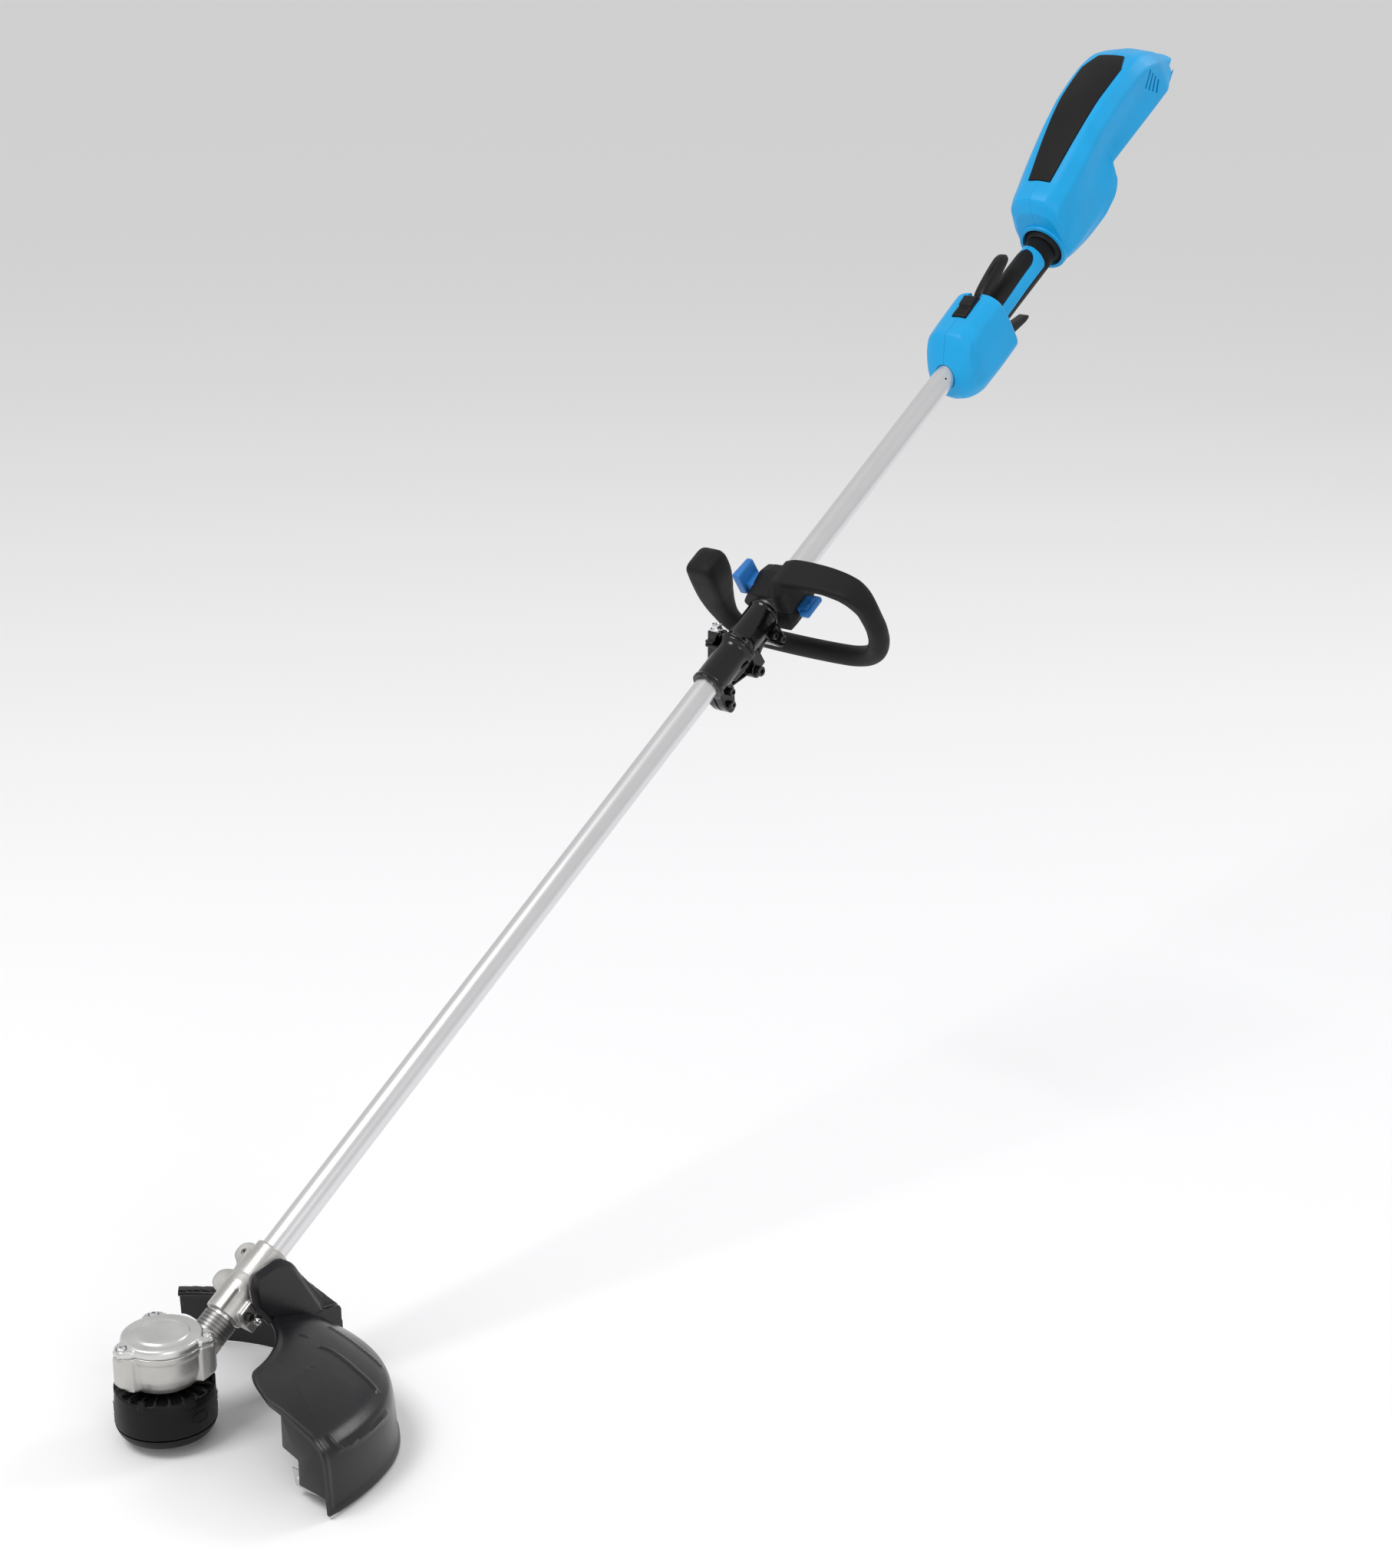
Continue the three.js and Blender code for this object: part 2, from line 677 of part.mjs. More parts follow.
function lineCutterBlade() {
  const shape = new THREE.Shape();
  shape.moveTo(158, -18);
  shape.lineTo(162, -34);
  shape.lineTo(192, -34);
  shape.lineTo(192, -18);
  shape.lineTo(158, -18);
  const geometry = new THREE.ExtrudeGeometry(shape, { depth: 1.5, bevelEnabled: false });
  geometry.rotateX(Math.PI / 2);
  geometry.rotateZ(BLADE_ANGLE);
  const offset = polar(GAP + 1.5 + GAP, BLADE_ANGLE + Math.PI / 2);
  return toSolid(geometry.translate(offset[0], offset[1], 0));
}

function cutterScrew(radius) {
  const along = (offset) => {
    const [x, y] = polar(radius, BLADE_ANGLE);
    const [dx, dy] = polar(offset, BLADE_ANGLE + Math.PI / 2);
    return [x + dx, y + dy, -24];
  };
  return bar(3, along(1.8 + GAP + 1.5 + GAP), along(6), 12);
}

// ---------------------------------------------------------------- folding coupler
const EAR_DROP = 42;
const EAR_HALF = 11;
const KNUCKLE_R = 8;
const WEB_UNDER = 2; // webs end this far below the pin, so that the halves fold past 90 degrees
const PIN_R = 3;
const LUG_Y = 25;
const LUG_Z = 3;
const LUG_TILT = THREE.MathUtils.degToRad(55); // clamp bolt's lean from the shaft's axis

function lugPoint(distance) {
  return [
    HINGE_AT + distance * Math.cos(LUG_TILT),
    LUG_Y,
    LUG_Z + distance * Math.sin(LUG_TILT),
  ];
}

// One half of the coupler: side -1 is the lower casting, +1 the upper one.
function couplerHalf(side) {
  const face = HINGE_AT + side * 0.2;
  const mouth = HINGE_AT + (side * COUPLER_LENGTH) / 2;
  const sleeve = barX(COUPLER_R, ...ends(face, mouth));
  const flange = barX(COUPLER_R + 4, ...ends(face, face + side * 6));
  const earOuter = mouth - side * 2;
  const earInner = mouth - side * 22;
  const ear = plateXZ(
    [
      [earOuter, -8],
      [earOuter + side * 3, -EAR_DROP + 9],
      [earOuter - side * 7, -EAR_DROP],
      [earInner, -22],
      [earInner, -8],
    ],
    -EAR_HALF,
    EAR_HALF,
  );
  const web = plateXZ(
    [
      [earInner + side, -12],
      [earInner + side, -22],
      [HINGE_AT + side * 9, -HINGE_DROP - WEB_UNDER],
      [face, -HINGE_DROP - WEB_UNDER],
      [face, -12],
    ],
    -4,
    4,
  );
  const boss = bar(8, lugPoint(side * 0.2), lugPoint(side * (side < 0 ? 20 : 13)), 20);
  const bridge = block(...ends(face, face + side * 9), 8, LUG_Y, -5, 10);
  const lean = new THREE.BoxGeometry(60, 60, 60);
  lean.translate(0, 0, -side * 30);
  lean.rotateY(Math.PI / 2 - LUG_TILT);
  const [lx, ly, lz] = lugPoint(side * 0.2);
  const otherSide = toSolid(lean.translate(lx, ly, lz)).intersect(
    block(HINGE_AT - 60, HINGE_AT + 60, 8, 60, -40, 40),
  );
  const overFace = block(...ends(face, face - side * 60), 0, COUPLER_R + 5, -60, 60);
  let body = join(sleeve, flange, ear, web);
  body = join(body, cut(join(boss, bridge), otherSide, overFace.intersect(barX(24, 0, 3000))));
  const pinX = HINGE_AT;
  if (side < 0) {
    body = join(body, barY(KNUCKLE_R, -6, 6, pinX, -HINGE_DROP));
  } else {
    const cheeks = barY(KNUCKLE_R, -15, 15, pinX, -HINGE_DROP);
    const carrier = block(pinX + 0.2, pinX + 14, -15, 15, -HINGE_DROP - WEB_UNDER, -10);
    body = cut(join(body, cheeks, carrier), barY(KNUCKLE_R + 0.6, -6.4, 6.4, pinX, -HINGE_DROP));
  }
  if (side < 0) {
    body = cut(
      body,
      barY(KNUCKLE_R + 0.6, -15.4, -6.4, pinX, -HINGE_DROP),
      barY(KNUCKLE_R + 0.6, 6.4, 15.4, pinX, -HINGE_DROP),
    );
  }
  const boreEnds = ends(face - side * 30, mouth + side * 2);
  body = cut(
    body,
    barX(BORE_R, ...boreEnds),
    barY(PIN_R + GAP, -30, 30, pinX, -HINGE_DROP, 16),
    bar(PIN_R + GAP, lugPoint(-30), lugPoint(20), 16),
    block(...ends(earInner - side, mouth + side * 4), -1, 1, -EAR_DROP - 2, -8),
  );
  for (const [dx, z] of CLAMP_SCREWS) {
    const x = mouth - side * dx;
    body = cut(body, barY(SCREW_R + GAP, -EAR_HALF - 1, EAR_HALF + 1, x, z, 12));
  }
  return body;
}

// Clamp screws of each half: distance from the mouth, and height.
const CLAMP_SCREWS = [
  [14, -19],
  [7, -31],
];

function hingePin() {
  const seat = -15 - GAP;
  const pin = join(
    barY(PIN_R, seat - 1, 15 + GAP, HINGE_AT, -HINGE_DROP, 16),
    barY(5.5, seat - 6, seat, HINGE_AT, -HINGE_DROP, 16),
    barY(5, 15 + GAP, 20, HINGE_AT, -HINGE_DROP, 6),
  );
  return cut(pin, barY(2.6, seat - 7, seat - 3, HINGE_AT, -HINGE_DROP, 6));
}

function clampBolt() {
  const seat = 13 + GAP;
  return join(
    bar(PIN_R, lugPoint(1), lugPoint(seat + 1), 16),
    bar(7, lugPoint(seat), lugPoint(seat + 1.6), 20),
    bar(5.6, lugPoint(seat + 1), lugPoint(seat + 6.5), 6),
  );
}

// ---------------------------------------------------------------- loop handle
const WING_HALF = CLAMP_LENGTH / 2 - 8;
const BLOCK_HALF = 27;
const BLOCK_TOP = 33;
const BLOCK_LOW = -30;
const CLAMP_SPLIT = -4;
const SADDLE_TOP = 19;

// The loop is closed by a broad wing on the left and ends in a free upright on the right.
function octagonAcross(place, halfAlong, halfOther, corner) {
  const corners = [
    [-halfAlong + corner, halfOther],
    [halfAlong - corner, halfOther],
    [halfAlong, halfOther - corner],
    [halfAlong, -halfOther + corner],
    [halfAlong - corner, -halfOther],
    [-halfAlong + corner, -halfOther],
    [-halfAlong, -halfOther + corner],
    [-halfAlong, halfOther - corner],
  ];
  return corners.map(([along, other]) => place(along, other));
}

function loopHandle() {
  const w = HANDLE_HALF_WIDTH;
  const d = HANDLE_DEPTH;
  const left = [
    [w - 8, 24],
    [w - 1, 8],
    [w, -12],
    [w - 4, -38],
    [w - 14, -60],
    [w - 32, -d + 7],
    [w - 56, -d + 1],
    [w - 90, -d],
  ];
  const right = [
    [w - 22, -2],
    [w - 17, -20],
    [w - 14, -38],
    [w - 18, -55],
    [w - 34, -d + 7.5],
    [w - 56, -d + 1],
    [w - 90, -d],
  ];
  const route = [...left.map(([y, z]) => [-y, z]), ...right.reverse()];
  const curve = new THREE.CatmullRomCurve3(
    route.map(([y, z]) => new THREE.Vector3(CLAMP_MID, y, z)),
  );
  const section = new THREE.Shape().absarc(0, 0, HANDLE_R, 0, 2 * Math.PI);
  const round = new THREE.ExtrudeGeometry(section, {
    steps: 44,
    curveSegments: 7,
    extrudePath: curve,
    bevelEnabled: false,
  });
  const wing = [
    [BLOCK_HALF - 6, BLOCK_TOP - 5, 5.5, WING_HALF + 3],
    [52, BLOCK_TOP + 1, 5, WING_HALF + 2],
    [78, BLOCK_TOP - 0.5, 5, WING_HALF],
    [98, BLOCK_TOP - 6, 5.5, WING_HALF - 2],
    [w - 2, 20, 7, HANDLE_R + 1],
    [w + 6, 8, 6, HANDLE_R - 2],
  ].map(([y, z, thick, half]) =>
    octagonAcross((along, up) => [CLAMP_MID + along, -y, z + up], half, thick, 3),
  );
  const upright = [
    [w - 16, -36, 11, HANDLE_R + 1],
    [w - 19, -20, 13, WING_HALF],
    [w - 24, 0, 14.5, WING_HALF + 1.5],
    [w - 27.5, 22, 14.5, WING_HALF + 2],
    [w - 28, 29, 13, WING_HALF + 1],
    [w - 28, 33, 9, WING_HALF - 3],
  ].map(([y, z, thick, half]) =>
    octagonAcross((along, out) => [CLAMP_MID + along, y + out, z], half, thick, 4),
  );
  const saddle = join(
    block(CLAMP_AT, CLAMP_AT + CLAMP_LENGTH, -BLOCK_HALF, BLOCK_HALF, CLAMP_SPLIT + GAP, SADDLE_TOP),
    block(CLAMP_AT + 6, CLAMP_AT + CLAMP_LENGTH - 6, -BLOCK_HALF, -BLOCK_HALF + 12, 8, BLOCK_TOP),
  );
  return cut(
    join(toSolid(round), loft(wing), loft(upright), saddle),
    barX(BORE_R, CLAMP_AT - 1, CLAMP_AT + CLAMP_LENGTH + 1),
    tabPocket(1),
  );
}

function handleClamp() {
  const low = join(
    block(CLAMP_AT, CLAMP_AT + CLAMP_LENGTH, -20, 20, BLOCK_LOW, CLAMP_SPLIT),
    block(CLAMP_AT, CLAMP_AT + CLAMP_LENGTH, -BLOCK_HALF, BLOCK_HALF, -18, CLAMP_SPLIT),
  );
  return cut(low, barX(BORE_R, CLAMP_AT - 1, CLAMP_AT + CLAMP_LENGTH + 1), tabPocket(-1));
}

// Release tabs: the upper one on the right of the saddle, the lower one on the left of the clamp.
const TAB_LENGTH = 28;
const TAB_PLACES = {
  1: { z: 9, depth: 15, stem: 8, out: 12, low: 4, high: 31 },
  [-1]: { z: -12, depth: 11, stem: 8, out: 16, low: -15.5, high: -8.5 },
};

function tabPocket(side) {
  const { z, depth } = TAB_PLACES[side];
  const half = TAB_LENGTH / 2 - 4;
  const low = Math.min(side * 16, side * (BLOCK_HALF + 1));
  const high = Math.max(side * 16, side * (BLOCK_HALF + 1));
  return block(CLAMP_MID - half, CLAMP_MID + half, low, high, z - depth / 2, z + depth / 2);
}

function releaseTab(side) {
  const { z, depth, stem, out, low, high } = TAB_PLACES[side];
  const half = TAB_LENGTH / 2 - 4 - GAP;
  const inner = side * (BLOCK_HALF - stem + 1);
  const outer = side * (BLOCK_HALF + 4);
  const tip = side * (BLOCK_HALF + out);
  return join(
    block(CLAMP_MID - half, CLAMP_MID + half, ...ends(inner, outer), z - depth / 2 + GAP, z + depth / 2 - GAP),
    block(CLAMP_MID - half - 4, CLAMP_MID + half + 4, ...ends(outer, tip), low, high),
    block(CLAMP_MID - half, CLAMP_MID + half, ...ends(outer, tip), z - 5, z + 5),
  );
}

// ---------------------------------------------------------------- housings with a skinned form
// Half outlines run from the top centre down one side to the bottom centre, as [y, z] points.
function ringFrom(x, half) {
  const right = half.map(([y, z]) => [x, y, z]);
  const left = half
    .slice(1, -1)
    .reverse()
    .map(([y, z]) => [x, -y, z]);
  return [...right, ...left];
}

function inset(half, wall) {
  const zs = half.map(([, z]) => z);
  const middle = (Math.max(...zs) + Math.min(...zs)) / 2;
  return half.map(([y, z]) => {
    const length = Math.hypot(y, z - middle);
    const keep = Math.max(0.2, 1 - wall / length);
    return [y * keep, middle + (z - middle) * keep];
  });
}

function skinned(stations, offset = 0) {
  return loft(stations.map(([x, half]) => ringFrom(x, offset ? inset(half, offset) : half)));
}

const FRONT_HALF = HOUSING_HALF_WIDTH - 4;
const FRONT_STATIONS = [
  [FRONT_AT - 14, [[0, 2], [10, 0], [16, -5], [18, -12], [15, -21], [9, -26], [0, -27]]],
  [FRONT_AT - 6, [[0, 14], [13, 13], [23, 7], [28, -5], [26, -20], [16, -33], [0, -36]]],
  [FRONT_AT + 2, [[0, 26], [15, 25], [27, 17], [32, 0], [30, -21], [19, -36], [0, -40]]],
  [FRONT_AT + 17, [[0, 40], [17, 38.5], [29, 30], [FRONT_HALF, 6], [FRONT_HALF, -23], [22, -38], [0, -43]]],
  [FRONT_AT + 44, [[0, 40], [19, 38.5], [30, 31], [FRONT_HALF, 6], [FRONT_HALF, -25], [22, -38], [0, -44]]],
  [FRONT_AT + 78, [[0, 41.5], [19, 40], [30, 32], [FRONT_HALF, 6], [FRONT_HALF, -25], [21, -36], [0, -41]]],
  [FRONT_AT + FRONT_LENGTH, [[0, 40], [17, 38], [27, 30], [31, 6], [31, -22], [19, -33], [0, -38]]],
];

const GRIP_TOP = 20.5;
const GRIP_LOW = -16.5;
const GRIP_HALF = 17.5;

function gripHalf(shrink = 0) {
  const middle = (GRIP_TOP + GRIP_LOW) / 2;
  const rise = (GRIP_TOP - GRIP_LOW) / 2 - shrink;
  const half = [];
  const points = 8;
  for (let i = 0; i <= points; i++) {
    const angle = (i / points) * Math.PI;
    half.push([(GRIP_HALF - shrink) * Math.sin(angle), middle + rise * Math.cos(angle)]);
  }
  half[0][0] = 0;
  half[points][0] = 0;
  return half;
}

function gripSolid(x0, x1, shrink) {
  return skinned([
    [x0, gripHalf(shrink)],
    [x1, gripHalf(shrink)],
  ]);
}

const GRIP_SKIN = 2.5;
const INLAY = { from: GRIP_AT + 6, to: GRIP_END - 18, half: 12.5, z: 8 };
const LOWER = { from: GRIP_AT + 8, to: GRIP_END - 3, z: -5 };

function inlayBox(grow) {
  return block(
    INLAY.from - grow,
    INLAY.to + grow,
    -INLAY.half - grow,
    INLAY.half + grow,
    INLAY.z - grow,
    40,
  );
}

function lowerBox(grow) {
  return block(LOWER.from - grow, LOWER.to + grow, -30, 30, -40, LOWER.z + grow);
}

function gripInlay() {
  const skin = cut(gripSolid(INLAY.from - 2, INLAY.to + 2, 0), gripSolid(0, REAR_AT, GRIP_SKIN));
  return skin.intersect(inlayBox(0));
}

function gripLower() {
  const skin = cut(gripSolid(LOWER.from - 2, LOWER.to + 2, 0), gripSolid(0, REAR_AT, GRIP_SKIN));
  return skin.intersect(lowerBox(0));
}

// Pivots and pockets of the controls.
const TRIGGER_PIVOT = [GRIP_AT - 12, -20];
const LOCK_PIVOT = [GRIP_AT - 10, 26];
const SWITCH_X = FRONT_AT + 58;
const SWITCH_HALF = [16, 9.5];
const CONTROL_PIN_R = 2;
const ROCKER_GAP = 0.6;

function halfSpace(side) {
  return block(0, 4000, ...ends(side * GAP * 0.5, side * 200), -200, 400);
}

function handleShellBody() {
  const outer = join(
    skinned(FRONT_STATIONS),
    cut(gripSolid(GRIP_AT - 4, GRIP_END, 0), inlayBox(GAP), lowerBox(GAP)),
    gripSolid(GRIP_AT - 4, GRIP_END, GRIP_SKIN + GAP),
  );
  const cavity = skinned(
    FRONT_STATIONS.slice(2).map(([x, half], i, all) => [i === all.length - 1 ? x - 3 : x, half]),
    HOUSING_WALL,
  );
  return cut(
    outer,
    cavity,
    barX(BORE_R, FRONT_AT - 30, FRONT_AT + 20),
    barX(9, FRONT_AT + 20, GRIP_END + 1, 0, 2, 20),
    block(
      SWITCH_X - SWITCH_HALF[0] - ROCKER_GAP,
      SWITCH_X + SWITCH_HALF[0] + ROCKER_GAP,
      -SWITCH_HALF[1] - GAP,
      SWITCH_HALF[1] + GAP,
      30,
      60,
    ),
    // Slot in the rear wall and the roof for the lock-off lever.
    block(LOCK_PIVOT[0] - 5, GRIP_AT + 6, -8, 8, 16.5, 60),
    // Slot in the rear wall and the floor for the trigger.
    block(TRIGGER_PIVOT[0] - 6, GRIP_AT + 8, -6.5, 6.5, -60, -12),
    barY(CONTROL_PIN_R + GAP, -26, 26, ...TRIGGER_PIVOT, 12),
    barY(CONTROL_PIN_R + GAP, -24, 24, ...LOCK_PIVOT, 12),
  );
}

function handleShell(side) {
  return largest(handleShellBody().intersect(halfSpace(side)));
}

// The one body of a cut solid that matters, without any sliver beside it.
function largest(solid) {
  return solid.decompose().reduce((a, b) => (b.volume() > a.volume() ? b : a));
}

function powerSwitch() {
  const [halfX, halfY] = SWITCH_HALF;
  const base = block(SWITCH_X - halfX + GAP, SWITCH_X + halfX - GAP, -halfY + GAP, halfY - GAP, 35.5, 41.5);
  const raised = plateXZ(
    [
      [SWITCH_X, 40],
      [SWITCH_X + 1, 43.5],
      [SWITCH_X + halfX - 2, 45],
      [SWITCH_X + halfX - 1, 40],
    ],
    -halfY + 1.5,
    halfY - 1.5,
  );
  return join(base, raised);
}

function lockOffLever() {
  const [px, pz] = LOCK_PIVOT;
  const arm = plateXZ(
    [
      [px - 4, pz - 4],
      [px - 4, pz + 4],
      [GRIP_AT - 4, 34],
      [GRIP_AT + 1, 39],
      [GRIP_AT + 30, 44],
      [GRIP_AT + 52, 47],
      [GRIP_AT + 59, 45],
      [GRIP_AT + 61, 40],
      [GRIP_AT + 58, 35],
      [GRIP_AT + 30, 30.5],
      [GRIP_AT + 2, 24.5],
    ],
    -7,
    7,
  );
  return cut(arm, barY(CONTROL_PIN_R + GAP, -8, 8, px, pz, 12));
}

function trigger() {
  const [px, pz] = TRIGGER_PIVOT;
  const blade = plateXZ(
    [
      [px - 5, pz + 4],
      [px + 8, pz + 5],
      [GRIP_AT + 4, -24],
      [GRIP_AT + 20, -27],
      [GRIP_AT + 38, -33],
      [GRIP_AT + 54, -37],
      [GRIP_AT + 56, -41],
      [GRIP_AT + 50, -42],
      [GRIP_AT + 30, -38.5],
      [GRIP_AT + 6, -33],
      [px + 2, pz - 5],
      [px - 5, pz - 5],
    ],
    -6,
    6,
  );
  return cut(blade, barY(CONTROL_PIN_R + GAP, -8, 8, px, pz, 12));
}

function microswitch() {
  return block(GRIP_AT - 42, GRIP_AT - 22, -6, 6, -22, -11);
}

// ---------------------------------------------------------------- throat and rear housing
const THROAT_Z = 3;
const COLLAR_END = REAR_AT + 17;

function throatCollar() {
  return turnedX(
    [
      [GRIP_END + GAP, 9.5],
      [GRIP_END + GAP, 18.5],
      [GRIP_END + 6, 20],
      [REAR_AT + 12, 23.5],
      [COLLAR_END, 24],
      [COLLAR_END, 9.5],
    ],
    THROAT_Z,
  );
}

const W = HOUSING_HALF_WIDTH;
const DOCK_AT = REAR_AT + 118;
const DOCK_Z = 33;
const REAR_END = REAR_AT + REAR_LENGTH;
const REAR_STATIONS = [
  [REAR_AT + 5, [[0, 50], [14, 48], [24, 40], [29, 18], [27, -2], [18, -15], [0, -19]]],
  [REAR_AT + 11, [[0, 65], [19, 62], [W - 6, 48], [W - 2, 20], [W - 4, -4], [22, -17], [0, -21]]],
  [REAR_AT + 37, [[0, 72], [22, 69.5], [W - 3, 58], [W, 26], [W, -1], [27, -18], [0, -23]]],
  [REAR_AT + 70, [[0, 82.5], [26, 80], [W, 67], [W - 2, 36], [W, 2], [33, -14], [0, -20]]],
  [REAR_AT + 88, [[0, 88], [27, 85.5], [W + 1, 72], [W - 3, 42], [W, 10], [W - 1, -8], [0, -14]]],
  [DOCK_AT - 2, [[0, 95.5], [29, 93], [W + 2, 79], [W - 3, 50], [W + 1, 34], [W, 10], [0, 6]]],
  [DOCK_AT, [[0, 96], [29, 93.5], [W + 2, 79.5], [W - 3, 50], [W + 1, 38], [W, DOCK_Z], [0, DOCK_Z]]],
  [REAR_AT + 150, [[0, 102], [31, 99], [W + 3, 84], [W - 2, 56], [W + 1, 38], [W, DOCK_Z], [0, DOCK_Z]]],
  [REAR_AT + 196, [[0, 104], [32, 101], [W + 4, 87], [W - 1, 60], [W + 1, 38], [W, DOCK_Z], [0, DOCK_Z]]],
  [REAR_AT + 220, [[0, 102], [31, 99], [W + 4, 84], [W, 60], [W + 1, 38], [W, DOCK_Z], [0, DOCK_Z]]],
  [REAR_AT + 245, [[0, 92], [28, 88.5], [W + 1, 74], [W, 56], [W + 1, 40], [W, DOCK_Z], [0, DOCK_Z]]],
  [REAR_AT + 262, [[0, 79], [25, 75.5], [W - 5, 64], [W - 4, 52], [W - 5, 40], [W - 6, DOCK_Z], [0, DOCK_Z]]],
  [REAR_END, [[0, 47], [14, 46], [20, 44], [22, 41], [21, 38], [18, 36], [0, 35]]],
];

const PAD = { from: REAR_AT + 35, to: REAR_AT + 219, proud: 1.2, sink: 1.8 };

// Height of the housing's roof at a place, from its stations.
function roofAt(x, y) {
  let i = 0;
  while (i < REAR_STATIONS.length - 2 && REAR_STATIONS[i + 1][0] < x) i++;
  const [x0, a] = REAR_STATIONS[i];
  const [x1, b] = REAR_STATIONS[i + 1];
  const share = (x - x0) / (x1 - x0);
  const mix = (k, axis) => a[k][axis] + (b[k][axis] - a[k][axis]) * share;
  return mix(0, 1) + ((mix(1, 1) - mix(0, 1)) * Math.min(y, mix(1, 0))) / mix(1, 0);
}

function padHalfWidth(x) {
  const part = (x - PAD.from) / (PAD.to - PAD.from);
  const swell = THREE.MathUtils.lerp(14.5, 26.5, Math.sin((Math.min(part / 0.87, 1) * Math.PI) / 2));
  return part > 0.87 ? THREE.MathUtils.lerp(26.5, 17, (part - 0.87) / 0.13) : swell;
}

function padSolid(grow) {
  const xs = [PAD.from - grow];
  const inner = REAR_STATIONS.map(([x]) => x).filter((x) => x > PAD.from + 2 && x < PAD.to - 2);
  xs.push(...inner, PAD.from + (PAD.to - PAD.from) * 0.87, PAD.to + grow);
  xs.sort((a, b) => a - b);
  const rings = xs.map((x) => {
    const w = padHalfWidth(THREE.MathUtils.clamp(x, PAD.from, PAD.to)) + grow;
    const high = PAD.proud;
    const low = -PAD.sink - grow;
    return [
      [x, 0, roofAt(x, 0) + high],
      [x, w - 1, roofAt(x, w) + high],
      [x, w, roofAt(x, w)],
      [x, w, roofAt(x, w) + low],
      [x, 0, roofAt(x, 0) + low],
      [x, -w, roofAt(x, w) + low],
      [x, -w, roofAt(x, w)],
      [x, -w + 1, roofAt(x, w) + high],
    ];
  });
  return loft(rings);
}

const BAY = { from: DOCK_AT + 3, half: 30, mouth: 26, roof: DOCK_Z + 13, lip: 4 };
const PLATE_H = 3;

function rearHousingBody() {
  const outer = skinned(REAR_STATIONS);
  const cavityTop = skinned(
    REAR_STATIONS.slice(1, -1).map(([x, half], i, all) => {
      if (i === 0) return [x + HOUSING_WALL, half];
      return [i === all.length - 1 ? x - HOUSING_WALL : x, half];
    }),
    HOUSING_WALL + 1,
  );
  const floor = block(DOCK_AT - HOUSING_WALL, REAR_END + 20, -80, 80, 0, BAY.roof + PLATE_H + 2);
  const vents = [];
  for (let i = 0; i < 4; i++) {
    for (const side of [-1, 1]) {
      const slot = new THREE.BoxGeometry(22 - 2 * i, 12, 2.6);
      slot.rotateY(-0.75);
      slot.translate(REAR_AT + 218 + i * 4.5, side * (W + 1), 72 - i * 6.5);
      vents.push(toSolid(slot));
    }
  }
  return cut(
    outer,
    cut(cavityTop, floor),
    // Battery bay: a wide slot with lips below that the battery's rails run on.
    block(BAY.from, REAR_END + 5, -BAY.half, BAY.half, DOCK_Z + BAY.lip, BAY.roof + PLATE_H + GAP),
    block(BAY.from, REAR_END + 5, -BAY.mouth, BAY.mouth, 0, DOCK_Z + BAY.lip + 1),
    block(BAY.from + 4, REAR_END - 40, -22, 22, BAY.roof, BAY.roof + PLATE_H + 6),
    turnedX(
      [
        [0, 0],
        [0, 24.4],
        [REAR_AT + 12, 24.4],
        [COLLAR_END + GAP, 24.6],
        [COLLAR_END + GAP, 0],
      ],
      THROAT_Z,
    ),
    barX(9, 0, REAR_AT + 40, 0, THROAT_Z, 20),
    padSolid(GAP),
    ...vents,
  );
}

function rearHousing(side) {
  return largest(rearBody.intersect(halfSpace(side)));
}

function dockPlate() {
  return join(
    block(BAY.from + GAP, REAR_END - 26, -BAY.half + GAP, BAY.half - GAP, BAY.roof, BAY.roof + PLATE_H),
    block(BAY.from + 8, REAR_END - 60, -12, -10, BAY.roof - 2, BAY.roof + 1),
    block(BAY.from + 8, REAR_END - 60, 10, 12, BAY.roof - 2, BAY.roof + 1),
  );
}

function terminalBlock() {
  let body = block(BAY.from + GAP, BAY.from + 7, -16, 16, DOCK_Z + 5, BAY.roof - 2 - GAP);
  for (const y of [-10, 0, 10]) {
    body = join(body, block(BAY.from + 6, BAY.from + 22, y - 0.6, y + 0.6, DOCK_Z + 6, BAY.roof - 4));
  }
  return body;
}

function controlBoard() {
  return join(
    block(REAR_AT + 130, REAR_AT + 195, -20, 20, BAY.roof + PLATE_H + 8, BAY.roof + PLATE_H + 10),
    block(REAR_AT + 140, REAR_AT + 160, -14, 6, BAY.roof + PLATE_H + 9, BAY.roof + PLATE_H + 18),
    barZ(5, BAY.roof + PLATE_H + 9, BAY.roof + PLATE_H + 26, REAR_AT + 178, 6, 16),
  );
}

// ---------------------------------------------------------------- assembly
add(head, "motor_housing", motorHousing(), CAST);
add(head, "motor_cover", motorCover(), CAST);
EAR_ANGLES.forEach((angle, i) => add(head, `cover_screw_${i + 1}`, coverScrew(angle), ZINC));
add(head, "stator", stator(), COPPER);
add(head, "rotor", rotor(), STEEL);
add(head, "bearing_lower", bearing(MOTOR_BASE + MOTOR_WALL + GAP), STEEL);
add(head, "bearing_upper", bearing(MOTOR_SPLIT - 3), STEEL);
add(head, "spindle", spindle(), STEEL);
add(head, "head_housing", headHousing(), GRIP_BLACK);
add(head, "line_eyelet_1", lineEyelet(EYELET_ANGLE), ZINC);
add(head, "line_eyelet_2", lineEyelet(EYELET_ANGLE + Math.PI), ZINC);
add(head, "head_cover", headCover(), GRIP_BLACK);
add(head, "spool", spool(), GRIP_BLACK);
add(head, "wound_line", woundLine(), LINE);
add(head, "feed_spring", feedSpring(), STEEL);
add(head, "bump_knob", bumpKnob(), GRIP_BLACK);
add(head, "guard_shell", guardShell(), GUARD_BLACK);
